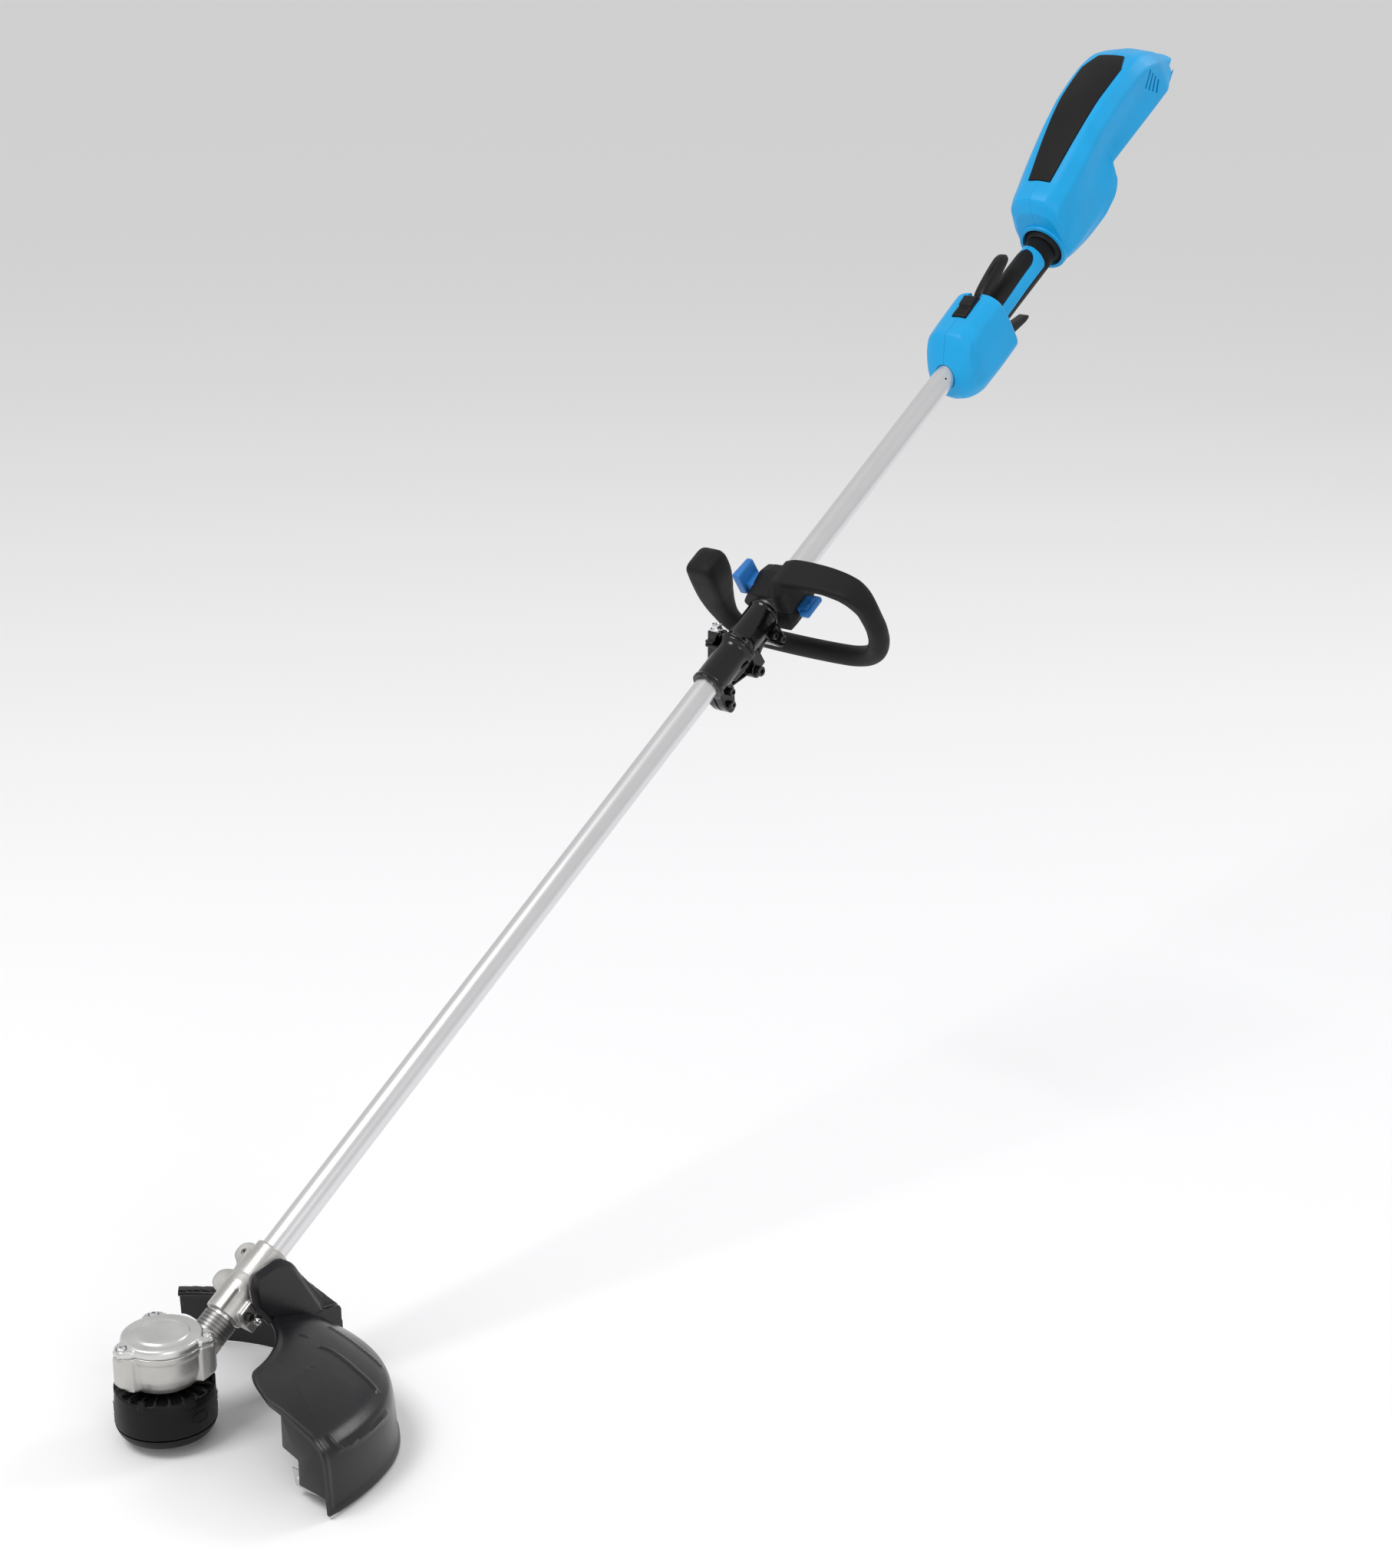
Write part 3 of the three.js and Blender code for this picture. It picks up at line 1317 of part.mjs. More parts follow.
add(head, "line_cutter_blade", lineCutterBlade(), BLACK_STEEL);
[168, 184].forEach((radius, i) => {
  add(head, `cutter_screw_${i + 1}`, cutterScrew(radius), ZINC);
});

add(shaft, "guard_bracket", guardBracket(), CAST);
add(
  shaft,
  "bracket_clamp_screw",
  screwY(CLAMP_SCREW_X - 4, -2, -23 - GAP, 8, 4.2, 5, SCREW_R),
  BLACK_STEEL,
);
add(shaft, "guard_screw", screwY(CLAMP_SCREW_X, -15, -23 - GAP, 10, 4.2, 4, SCREW_R), ZINC);
add(shaft, "lower_tube", tube(48, HINGE_AT - 4), ANODISED);
add(shaft, "wire_harness_lower", barX(HARNESS_R, 40, HINGE_AT - 6, 0, 0, 10), GRIP_BLACK);

add(shaft, "coupler_lower", couplerHalf(-1), GLOSS_BLACK);
add(shaft, "coupler_upper", couplerHalf(1), GLOSS_BLACK);
add(shaft, "hinge_pin", hingePin(), BLACK_STEEL);
add(shaft, "clamp_bolt", clampBolt(), ZINC);
let screwNumber = 1;
for (const side of [-1, 1]) {
  const mouth = HINGE_AT + (side * COUPLER_LENGTH) / 2;
  for (const [dx, z] of CLAMP_SCREWS) {
    const screw = screwY(mouth - side * dx, z, -EAR_HALF - GAP, 20, 4, 5, SCREW_R);
    add(shaft, `clamp_screw_${screwNumber}`, screw, BLACK_STEEL);
    screwNumber += 1;
  }
}

add(shaft, "upper_tube", tube(HINGE_AT + 4, FRONT_AT + 20 - GAP), ANODISED);
add(shaft, "wire_harness_upper", barX(HARNESS_R, HINGE_AT + 6, GRIP_AT - 45, 0, 0, 10), GRIP_BLACK);

add(shaft, "loop_handle", loopHandle(), GRIP_BLACK);
add(shaft, "handle_clamp", handleClamp(), GRIP_BLACK);
add(shaft, "release_tab_upper", releaseTab(1), TAB_BLUE);
add(shaft, "release_tab_lower", releaseTab(-1), TAB_BLUE);

add(shaft, "handle_shell_left", handleShell(-1), BLUE);
add(shaft, "handle_shell_right", handleShell(1), BLUE);
add(shaft, "power_switch", powerSwitch(), GRIP_BLACK);
add(shaft, "lock_off_lever", lockOffLever(), GRIP_BLACK);
add(shaft, "lock_off_pin", barY(CONTROL_PIN_R, -23, 23, ...LOCK_PIVOT, 12), STEEL);
add(shaft, "trigger", trigger(), GRIP_BLACK);
add(shaft, "trigger_pin", barY(CONTROL_PIN_R, -25, 25, ...TRIGGER_PIVOT, 12), STEEL);
add(shaft, "microswitch", microswitch(), BLACK_STEEL);
add(shaft, "grip_inlay", gripInlay(), GRIP_BLACK);
add(shaft, "grip_lower", gripLower(), GRIP_BLACK);

const rearBody = rearHousingBody();
add(shaft, "throat_collar", throatCollar(), GRIP_BLACK);
add(shaft, "rear_housing_left", rearHousing(-1), BLUE);
add(shaft, "rear_housing_right", rearHousing(1), BLUE);
add(shaft, "top_pad", padSolid(0), GRIP_BLACK);
add(shaft, "dock_plate", dockPlate(), GRIP_BLACK);
add(shaft, "battery_terminal_block", terminalBlock(), GRIP_BLACK);
add(shaft, "control_board", controlBoard(), BOARD);

export default trimmer;
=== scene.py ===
"""Looks of a battery string trimmer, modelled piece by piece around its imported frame.

Shapes are drawn in millimetres in one of two drawing frames, along the shaft or about the
cutting head's axis, and are then laid on the frame, which is in metres.
"""

from __future__ import annotations

import json
import logging
import math

from dataclasses import dataclass
from enum import Enum

import bmesh
import bpy
from mathutils import Matrix, Vector


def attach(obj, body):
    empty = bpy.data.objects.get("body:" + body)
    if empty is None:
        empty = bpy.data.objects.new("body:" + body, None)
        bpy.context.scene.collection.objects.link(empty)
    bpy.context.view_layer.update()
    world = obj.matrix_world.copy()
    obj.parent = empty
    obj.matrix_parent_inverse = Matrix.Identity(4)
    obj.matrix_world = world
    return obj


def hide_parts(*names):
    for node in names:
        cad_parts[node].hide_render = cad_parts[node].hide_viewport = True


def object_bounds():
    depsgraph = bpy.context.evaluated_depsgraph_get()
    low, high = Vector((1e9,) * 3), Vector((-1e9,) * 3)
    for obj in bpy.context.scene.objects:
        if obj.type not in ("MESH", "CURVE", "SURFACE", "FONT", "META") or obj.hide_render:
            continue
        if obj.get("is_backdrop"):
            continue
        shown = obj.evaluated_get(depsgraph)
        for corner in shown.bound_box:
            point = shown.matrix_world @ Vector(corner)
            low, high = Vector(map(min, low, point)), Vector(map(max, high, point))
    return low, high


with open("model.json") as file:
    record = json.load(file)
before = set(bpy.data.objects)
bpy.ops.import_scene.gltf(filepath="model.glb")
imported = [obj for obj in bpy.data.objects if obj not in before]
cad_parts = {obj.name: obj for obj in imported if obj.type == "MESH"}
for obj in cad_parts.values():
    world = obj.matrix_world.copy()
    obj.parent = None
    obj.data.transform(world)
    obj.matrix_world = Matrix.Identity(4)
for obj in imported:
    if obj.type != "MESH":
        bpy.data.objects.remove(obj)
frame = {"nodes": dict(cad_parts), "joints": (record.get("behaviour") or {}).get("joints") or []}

LOG = logging.getLogger("trimmer")
Spot = tuple[float, float, float]
Flat = tuple[float, float]


class Drawing(Enum):
    """The two frames that shapes are drawn in."""

    SHAFT = "shaft"
    HEAD = "head"


class Side(Enum):
    """The user's left and right of the shaft."""

    LEFT = -1
    RIGHT = 1


class Drive(Enum):
    """What turns a screw."""

    SOCKET = "socket"
    CROSS = "cross"
    HEX = "hex"


class Body(Enum):
    """The frame's moving bodies."""

    REAR = "rear_unit"
    LOWER = "lower_shaft"
    ROTOR = "rotor_head"
    SPOOL = "spool_knob"
    LOOP = "loop_handle_unit"
    TAB_UPPER = "tab_upper"
    TAB_LOWER = "tab_lower"
    TRIGGER = "trigger_body"
    LOCK = "lock_off_body"
    ROCKER = "rocker_body"


# ------------------------------------------------------------------ drawing frames
def drawing_frames() -> dict[Drawing, Matrix]:
    """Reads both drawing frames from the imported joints.

    Returns:
        The matrix from each drawing frame's millimetres to the row's metres.
    """
    joints = {joint["name"]: joint for joint in frame["joints"]}
    run = Vector(joints["handle_slide"]["axis"])
    crossing = Vector(joints["head_spin"]["pos_m"])
    tilt = math.atan2(run.z, run.x)
    scale = Matrix.Scale(0.001, 4)
    place = Matrix.Translation(crossing)
    return {
        Drawing.SHAFT: place @ Matrix.Rotation(-tilt, 4, "Y") @ scale,
        Drawing.HEAD: place @ scale,
    }


FRAMES = drawing_frames()
TILT = math.atan2(FRAMES[Drawing.SHAFT][2][0], FRAMES[Drawing.SHAFT][0][0])


def along_shaft(x: float, y: float, z: float) -> Spot:
    """Gives a shaft drawing's point in the head's drawing frame."""
    c, s = math.cos(TILT), math.sin(TILT)
    return (x * c - z * s, y, x * s + z * c)


# ------------------------------------------------------------------ curves in code
def blend(a: float, b: float, t: float) -> float:
    """Mixes two numbers."""
    return a + (b - a) * t


def ease(value: float, low: float, high: float) -> float:
    """Smooth step from 0 at low to 1 at high."""
    t = min(1.0, max(0.0, (value - low) / (high - low)))
    return t * t * (3 - 2 * t)


def monotone(knots: list[float], values: list[float], x: float) -> float:
    """Reads a smooth curve through knots that never swings past them.

    Args:
        knots: Rising places.
        values: The value at each place.
        x: Where to read it.

    Returns:
        The curve's value at x.
    """
    last = len(knots) - 1
    if x <= knots[0]:
        return values[0]
    if x >= knots[last]:
        return values[last]
    i = max(k for k in range(last) if knots[k] <= x)
    steps = [knots[k + 1] - knots[k] for k in range(last)]
    slopes = [(values[k + 1] - values[k]) / steps[k] for k in range(last)]

    def tangent(k: int) -> float:
        """Slope at knot k that keeps the curve from overshooting."""
        if k in (0, last):
            return slopes[0] if k == 0 else slopes[-1]
        a, b = slopes[k - 1], slopes[k]
        if a * b <= 0:
            return 0.0
        w1, w2 = 2 * steps[k] + steps[k - 1], steps[k] + 2 * steps[k - 1]
        return (w1 + w2) / (w1 / a + w2 / b)

    h = steps[i]
    t = (x - knots[i]) / h
    m0, m1 = tangent(i) * h, tangent(i + 1) * h
    return (
        (2 * t**3 - 3 * t**2 + 1) * values[i]
        + (t**3 - 2 * t**2 + t) * m0
        + (-2 * t**3 + 3 * t**2) * values[i + 1]
        + (t**3 - t**2) * m1
    )


def filleted(outline: list[Flat], radius: float | list[float], steps: int = 4) -> list[Flat]:
    """Rounds the corners of a closed outline.

    Args:
        outline: Its corners in order.
        radius: How far from each corner the rounding starts, one number or one for each.
        steps: Points along each rounding.

    Returns:
        The rounded outline.
    """
    count = len(outline)
    radii = radius if isinstance(radius, list) else [radius] * count
    made: list[Flat] = []
    for i, (x, y) in enumerate(outline):
        before = Vector(outline[i - 1]) - Vector((x, y))
        after = Vector(outline[(i + 1) % count]) - Vector((x, y))
        reach = min(radii[i], before.length * 0.45, after.length * 0.45)
        if reach < 1e-6:
            made.append((x, y))
            continue
        start = Vector((x, y)) + before.normalized() * reach
        end = Vector((x, y)) + after.normalized() * reach
        for k in range(steps):
            t = k / (steps - 1)
            spot = start * (1 - t) ** 2 + Vector((x, y)) * 2 * t * (1 - t) + end * t**2
            made.append((spot.x, spot.y))
    return made


def polar(radius: float, degrees: float, z: float = 0.0) -> Spot:
    """A point round the head's axis."""
    angle = math.radians(degrees)
    return (radius * math.cos(angle), radius * math.sin(angle), z)


def spaced(low: float, high: float, count: int) -> list[float]:
    """Evenly spaced numbers, both ends included."""
    return [low + (high - low) * i / (count - 1) for i in range(count)]


# ------------------------------------------------------------------ modelling bench
class Bench:
    """The modelling operations that every sub-assembly shares, in a drawing's millimetres."""

    @staticmethod
    def clear() -> None:
        """Leaves edit mode and deselects everything."""
        if bpy.context.mode != "OBJECT":
            bpy.ops.object.mode_set(mode="OBJECT")
        bpy.ops.object.select_all(action="DESELECT")

    @staticmethod
    def take(piece: bpy.types.Object) -> None:
        """Selects one piece alone."""
        Bench.clear()
        piece.select_set(True)
        bpy.context.view_layer.objects.active = piece

    @staticmethod
    def edit(piece: bpy.types.Object, action: str = "SELECT") -> bmesh.types.BMesh:
        """Opens a piece in edit mode with all or nothing selected.

        Args:
            piece: The piece.
            action: SELECT or DESELECT.

        Returns:
            Its edit mesh.
        """
        Bench.take(piece)
        bpy.ops.object.mode_set(mode="EDIT")
        bpy.ops.mesh.select_mode(type="VERT")
        bpy.ops.mesh.select_all(action=action)
        return bmesh.from_edit_mesh(piece.data)

    @staticmethod
    def outline(name: str, spots: list[Spot], filled: bool = True) -> bpy.types.Object:
        """Starts a piece as one closed outline.

        Args:
            name: The piece's name.
            spots: The outline's points in order.
            filled: Whether it is a face or only its edge.

        Returns:
            The outline as an object.
        """
        Bench.clear()
        fill = "NGON" if filled else "NOTHING"
        bpy.ops.mesh.primitive_circle_add(vertices=len(spots), radius=1.0, fill_type=fill)
        piece = bpy.context.active_object
        piece.name = name
        for vertex, spot in zip(piece.data.vertices, spots):
            vertex.co = spot
        return piece

    @staticmethod
    def settle_normals(piece: bpy.types.Object) -> None:
        """Merges doubled points and turns every face outwards."""
        Bench.edit(piece)
        bpy.ops.mesh.remove_doubles(threshold=0.002)
        bpy.ops.mesh.normals_make_consistent(inside=False)
        bpy.ops.object.mode_set(mode="OBJECT")

    @staticmethod
    def loft(name: str, rings: list[list[Spot]]) -> bpy.types.Object:
        """Extrudes a face through a row of outlines.

        Args:
            name: The piece's name.
            rings: Outlines of equally many points.

        Returns:
            The closed solid.
        """
        piece = Bench.outline(name, rings[0])
        slot = piece.data.attributes.new("slot", "INT", "POINT")
        for i, item in enumerate(slot.data):
            item.value = i
        Bench.edit(piece)
        for ring in rings[1:]:
            bpy.ops.mesh.extrude_region()
            mesh = bmesh.from_edit_mesh(piece.data)
            layer = mesh.verts.layers.int["slot"]
            for vertex in mesh.verts:
                if vertex.select:
                    vertex.co = ring[vertex[layer]]
        bmesh.update_edit_mesh(piece.data)
        bpy.ops.object.mode_set(mode="OBJECT")
        piece.data.attributes.remove(piece.data.attributes["slot"])
        Bench.settle_normals(piece)
        return piece

    @staticmethod
    def slab(name: str, spots: list[Spot], push: Spot) -> bpy.types.Object:
        """Extrudes a flat outline straight.

        Args:
            name: The piece's name.
            spots: The outline.
            push: How far and which way.

        Returns:
            The closed solid.
        """
        piece = Bench.outline(name, spots)
        Bench.edit(piece)
        bpy.ops.mesh.extrude_region_move(TRANSFORM_OT_translate={"value": push})
        bpy.ops.object.mode_set(mode="OBJECT")
        Bench.settle_normals(piece)
        return piece

    @staticmethod
    def plate(name: str, outline: list[Flat], low: float, high: float) -> bpy.types.Object:
        """A side-view outline of (x, z) points, thick from y low to y high."""
        return Bench.slab(name, [(x, low, z) for x, z in outline], (0, high - low, 0))

    @staticmethod
    def turned(
        name: str, profile: list[Flat], along: str = "Z", steps: int = 72, lift: float = 0.0
    ) -> bpy.types.Object:
        """Spins a closed profile round an axis.

        Args:
            name: The piece's name.
            profile: (radius, height) points.
            along: Z for the head's axis, X for the shaft's.
            steps: Faces round it.
            lift: Height of the shaft's axis above the drawing's.

        Returns:
            The closed solid.
        """
        if along == "Z":
            spots = [(r, 0.0, h) for r, h in profile]
            axis, center = (0, 0, 1), (0, 0, 0)
        else:
            spots = [(h, 0.0, lift + r) for r, h in profile]
            axis, center = (1, 0, 0), (0, 0, lift)
        piece = Bench.outline(name, spots, filled=False)
        mesh = Bench.edit(piece, "DESELECT")
        for edge in mesh.edges:
            reach = [v.co.x if along == "Z" else v.co.z - lift for v in edge.verts]
            if max(reach) < 1e-5:
                edge.select_set(True)
        if any(edge.select for edge in mesh.edges):
            bpy.ops.mesh.select_mode(type="EDGE")
            bpy.ops.mesh.delete(type="EDGE")
        bpy.ops.mesh.select_mode(type="VERT")
        bpy.ops.mesh.select_all(action="SELECT")
        bpy.ops.mesh.spin(steps=steps, angle=2 * math.pi, center=center, axis=axis)
        bpy.ops.object.mode_set(mode="OBJECT")
        Bench.settle_normals(piece)
        return piece

    @staticmethod
    def bar(
        name: str, radius: float, start: Spot, end: Spot, sides: int = 32, tip: float = 0.0
    ) -> bpy.types.Object:
        """A round bar between two points.

        Args:
            name: The piece's name.
            radius: Its radius.
            start: One end's centre.
            end: The other end's centre.
            sides: Faces round it.
            tip: Width of the chamfer on both ends.

        Returns:
            The bar, with its place in its mesh.
        """
        Bench.clear()
        span = Vector(end) - Vector(start)
        bpy.ops.mesh.primitive_cylinder_add(vertices=sides, radius=radius, depth=span.length)
        piece = bpy.context.active_object
        piece.name = name
        turn = span.to_track_quat("Z", "Y").to_matrix().to_4x4()
        piece.matrix_world = Matrix.Translation((Vector(start) + Vector(end)) / 2) @ turn
        Bench.apply_place(piece)
        if tip:
            Bench.bevel(piece, tip, 2, 40)
        return piece

    @staticmethod
    def brick(name: str, low: Spot, high: Spot) -> bpy.types.Object:
        """A block between two corners, as the start of a piece or a cutter."""
        Bench.clear()
        middle = [(a + b) / 2 for a, b in zip(low, high)]
        bpy.ops.mesh.primitive_cube_add(size=1.0, location=middle)
        piece = bpy.context.active_object
        piece.name = name
        piece.scale = [b - a for a, b in zip(low, high)]
        Bench.apply_place(piece)
        return piece

    @staticmethod
    def grid(name: str, rows: list[list[Spot]]) -> bpy.types.Object:
        """A curved sheet through rows of points.

        Args:
            name: The piece's name.
            rows: Rows of equally many points.

        Returns:
            The open sheet.
        """
        Bench.clear()
        across, down = len(rows[0]) - 1, len(rows) - 1
        bpy.ops.mesh.primitive_grid_add(x_subdivisions=across, y_subdivisions=down, size=1.0)
        piece = bpy.context.active_object
        piece.name = name
        flat = [spot for row in rows for spot in row]
        for vertex, spot in zip(piece.data.vertices, flat):
            vertex.co = spot
        return piece

    @staticmethod
    def apply_place(piece: bpy.types.Object) -> None:
        """Moves a piece's place, turn and scale into its mesh."""
        Bench.take(piece)
        bpy.ops.object.transform_apply(location=True, rotation=True, scale=True)

    @staticmethod
    def modify(piece: bpy.types.Object, kind: str, **values: object) -> None:
        """Adds one modifier, sets it and applies it.

        Args:
            piece: The piece.
            kind: The modifier's type.
            values: Its settings.
        """
        Bench.take(piece)
        made = piece.modifiers.new(kind.lower(), kind)
        for key, value in values.items():
            setattr(made, key, value)
        bpy.ops.object.modifier_apply(modifier=made.name)

    @staticmethod
    def bevel(
        piece: bpy.types.Object, width: float, segments: int = 2, degrees: float = 32
    ) -> None:
        """Rounds a piece's edges that are sharper than an angle."""
        Bench.modify(
            piece,
            "BEVEL",
            width=width,
            segments=segments,
            limit_method="ANGLE",
            angle_limit=math.radians(degrees),
            use_clamp_overlap=True,
            miter_outer="MITER_ARC",
        )

    @staticmethod
    def fuse(piece: bpy.types.Object, *others: bpy.types.Object) -> bpy.types.Object:
        """Joins other solids into a piece."""
        for other in others:
            Bench.modify(piece, "BOOLEAN", operation="UNION", object=other, solver="EXACT")
            bpy.data.objects.remove(other)
        return piece

    @staticmethod
    def cut(piece: bpy.types.Object, *others: bpy.types.Object) -> bpy.types.Object:
        """Takes other solids out of a piece."""
        for other in others:
            Bench.modify(piece, "BOOLEAN", operation="DIFFERENCE", object=other, solver="EXACT")
            bpy.data.objects.remove(other)
        return piece

    @staticmethod
    def soften(piece: bpy.types.Object, voxel: float, rounds: int = 3) -> bpy.types.Object:
        """Gives a fused solid one skin with the small fillets of a casting or moulding.

        Args:
            piece: The solid.
            voxel: Size of its new faces.
            rounds: How far its corners are smoothed.

        Returns:
            The same piece.
        """
        Bench.modify(piece, "REMESH", mode="VOXEL", voxel_size=voxel)
        Bench.modify(piece, "SMOOTH", factor=0.5, iterations=rounds)
        return piece

    @staticmethod
    def thin(piece: bpy.types.Object, ratio: float) -> bpy.types.Object:
        """Merges faces where a piece is flat."""
        Bench.modify(piece, "DECIMATE", ratio=ratio)
        return piece

    @staticmethod
    def half(piece: bpy.types.Object, side: Side, gap: float = 0.12) -> bpy.types.Object:
        """Keeps one side of a piece, cut along the shaft's middle plane and closed."""
        Bench.edit(piece)
        bpy.ops.mesh.bisect(
            plane_co=(0, side.value * gap, 0),
            plane_no=(0, 1, 0),
            use_fill=True,
            clear_inner=side is Side.RIGHT,
            clear_outer=side is Side.LEFT,
        )
        bpy.ops.mesh.select_all(action="SELECT")
        bpy.ops.mesh.normals_make_consistent(inside=False)
        bpy.ops.object.mode_set(mode="OBJECT")
        return piece

    @staticmethod
    def copy(piece: bpy.types.Object, name: str) -> bpy.types.Object:
        """A copy with its own mesh."""
        made = piece.copy()
        made.data = piece.data.copy()
        made.name = name
        bpy.context.collection.objects.link(made)
        return made

    @staticmethod
    def shade(piece: bpy.types.Object, degrees: float = 35) -> None:
        """Smooth shading that keeps edges sharper than an angle."""
        Bench.take(piece)
        bpy.ops.object.shade_smooth_by_angle(angle=math.radians(degrees))


# ------------------------------------------------------------------ shared shader groups
def new_group(
    name: str, inputs: dict[str, float], outputs: list[str]
) -> tuple[bpy.types.NodeTree, bpy.types.Node, bpy.types.Node]:
    """Starts a shader node group of number sockets.

    Args:
        name: The group's name.
        inputs: Input names and their usual values.
        outputs: Output names.

    Returns:
        The group, its input node and its output node.
    """
    group = bpy.data.node_groups.new(name, "ShaderNodeTree")
    for label, value in inputs.items():
        socket = group.interface.new_socket(
            name=label, in_out="INPUT", socket_type="NodeSocketFloat"
        )
        socket.default_value = value
    for label in outputs:
        group.interface.new_socket(name=label, in_out="OUTPUT", socket_type="NodeSocketFloat")
    return group, group.nodes.new("NodeGroupInput"), group.nodes.new("NodeGroupOutput")


def math_node(
    tree: bpy.types.NodeTree, operation: str, a: object, b: object, clamp: bool = False
) -> bpy.types.NodeSocket:
    """Adds one Math node.

    Args:
        tree: Where it goes.
        operation: What it does.
        a: A socket or a number.
        b: A socket or a number.
        clamp: Whether its result stays within 0 and 1.

    Returns:
        Its output.
    """
    node = tree.nodes.new("ShaderNodeMath")
    node.operation = operation
    node.use_clamp = clamp
    for socket, value in zip(node.inputs, (a, b)):
        if isinstance(value, bpy.types.NodeSocket):
            tree.links.new(value, socket)
        else:
            socket.default_value = value
    return node.outputs[0]


def ramp_node(
    tree: bpy.types.NodeTree, value: bpy.types.NodeSocket, low: float, high: float
) -> bpy.types.NodeSocket:
    """Stretches a value so that low becomes 0 and high becomes 1."""
    node = tree.nodes.new("ShaderNodeMapRange")
    node.interpolation_type = "SMOOTHSTEP"
    node.inputs["From Min"].default_value = low
    node.inputs["From Max"].default_value = high
    tree.links.new(value, node.inputs["Value"])
    return node.outputs["Result"]


class SharedEffects:
    """The effects that several finishes use, each built once."""

    def __init__(self) -> None:
        """Builds every group."""
        self.grain = self._grain()
        self.wear_and_highlight = self._wear_and_highlight()
        self.dust = self._dust()
        self.streaks = self._streaks()

    @staticmethod
    def _noise(
        tree: bpy.types.NodeTree, scale: object, detail: float, stretch: Spot | None = None
    ) -> bpy.types.NodeSocket:
        """Noise on object coordinates, stretched along the shaft if asked."""
        place = tree.nodes.new("ShaderNodeTexCoord")
        noise = tree.nodes.new("ShaderNodeTexNoise")
        noise.inputs["Detail"].default_value = detail
        source = place.outputs["Object"]
        if stretch:
            mapping = tree.nodes.new("ShaderNodeMapping")
            mapping.inputs["Rotation"].default_value = (0.0, TILT, 0.0)
            mapping.inputs["Scale"].default_value = stretch
            tree.links.new(source, mapping.inputs["Vector"])
            source = mapping.outputs["Vector"]
        tree.links.new(source, noise.inputs["Vector"])
        if isinstance(scale, bpy.types.NodeSocket):
            tree.links.new(scale, noise.inputs["Scale"])
        else:
            noise.inputs["Scale"].default_value = scale
        return noise.outputs["Fac"]

    def _grain(self) -> bpy.types.NodeTree:
        """Fine grain for bump, with a slow tone that varies over the piece."""
        tree, start, end = new_group(
            "surface_grain", {"Scale": 1800.0, "Coarse Scale": 30.0}, ["Height", "Tone"]
        )
        fine = self._noise(tree, start.outputs["Scale"], 3.0)
        slow = self._noise(tree, start.outputs["Coarse Scale"], 4.0)
        tree.links.new(fine, end.inputs["Height"])
        tree.links.new(ramp_node(tree, slow, 0.3, 0.7), end.inputs["Tone"])
        return tree

    def _wear_and_highlight(self) -> bpy.types.NodeTree:
        """Lighter convex edges, broken up by noise: partly scuffing, partly a painted edge highlight."""
        tree, start, end = new_group("edge_wear_and_highlight", {"Amount": 0.5, "Scale": 90.0}, ["Mask"])
        shape = tree.nodes.new("ShaderNodeNewGeometry")
        edge = ramp_node(tree, shape.outputs["Pointiness"], 0.53, 0.62)
        broken = ramp_node(tree, self._noise(tree, start.outputs["Scale"], 5.0), 0.35, 0.7)
        both = math_node(tree, "MULTIPLY", edge, broken)
        result = math_node(tree, "MULTIPLY", both, start.outputs["Amount"], clamp=True)
        tree.links.new(result, end.inputs["Mask"])
        return tree

    def _dust(self) -> bpy.types.NodeTree:
        """Thin scattered specks and smears."""
        tree, start, end = new_group("fine_dust", {"Amount": 0.3}, ["Mask"])
        specks = ramp_node(tree, self._noise(tree, 420.0, 2.0), 0.66, 0.8)
        smear = ramp_node(tree, self._noise(tree, 14.0, 6.0), 0.45, 0.8)
        both = math_node(tree, "ADD", specks, smear)
        result = math_node(tree, "MULTIPLY", both, start.outputs["Amount"], clamp=True)
        tree.links.new(result, end.inputs["Mask"])
        return tree

    def _streaks(self) -> bpy.types.NodeTree:
        """Draw lines that run along the shaft."""
        tree, start, end = new_group("draw_lines", {"Scale": 700.0}, ["Height", "Tone"])
        fine = self._noise(tree, start.outputs["Scale"], 4.0, (0.02, 1.0, 1.0))
        slow = self._noise(tree, 60.0, 3.0, (0.05, 1.0, 1.0))
        tree.links.new(fine, end.inputs["Height"])
        tree.links.new(slow, end.inputs["Tone"])
        return tree


EFFECTS = SharedEffects()


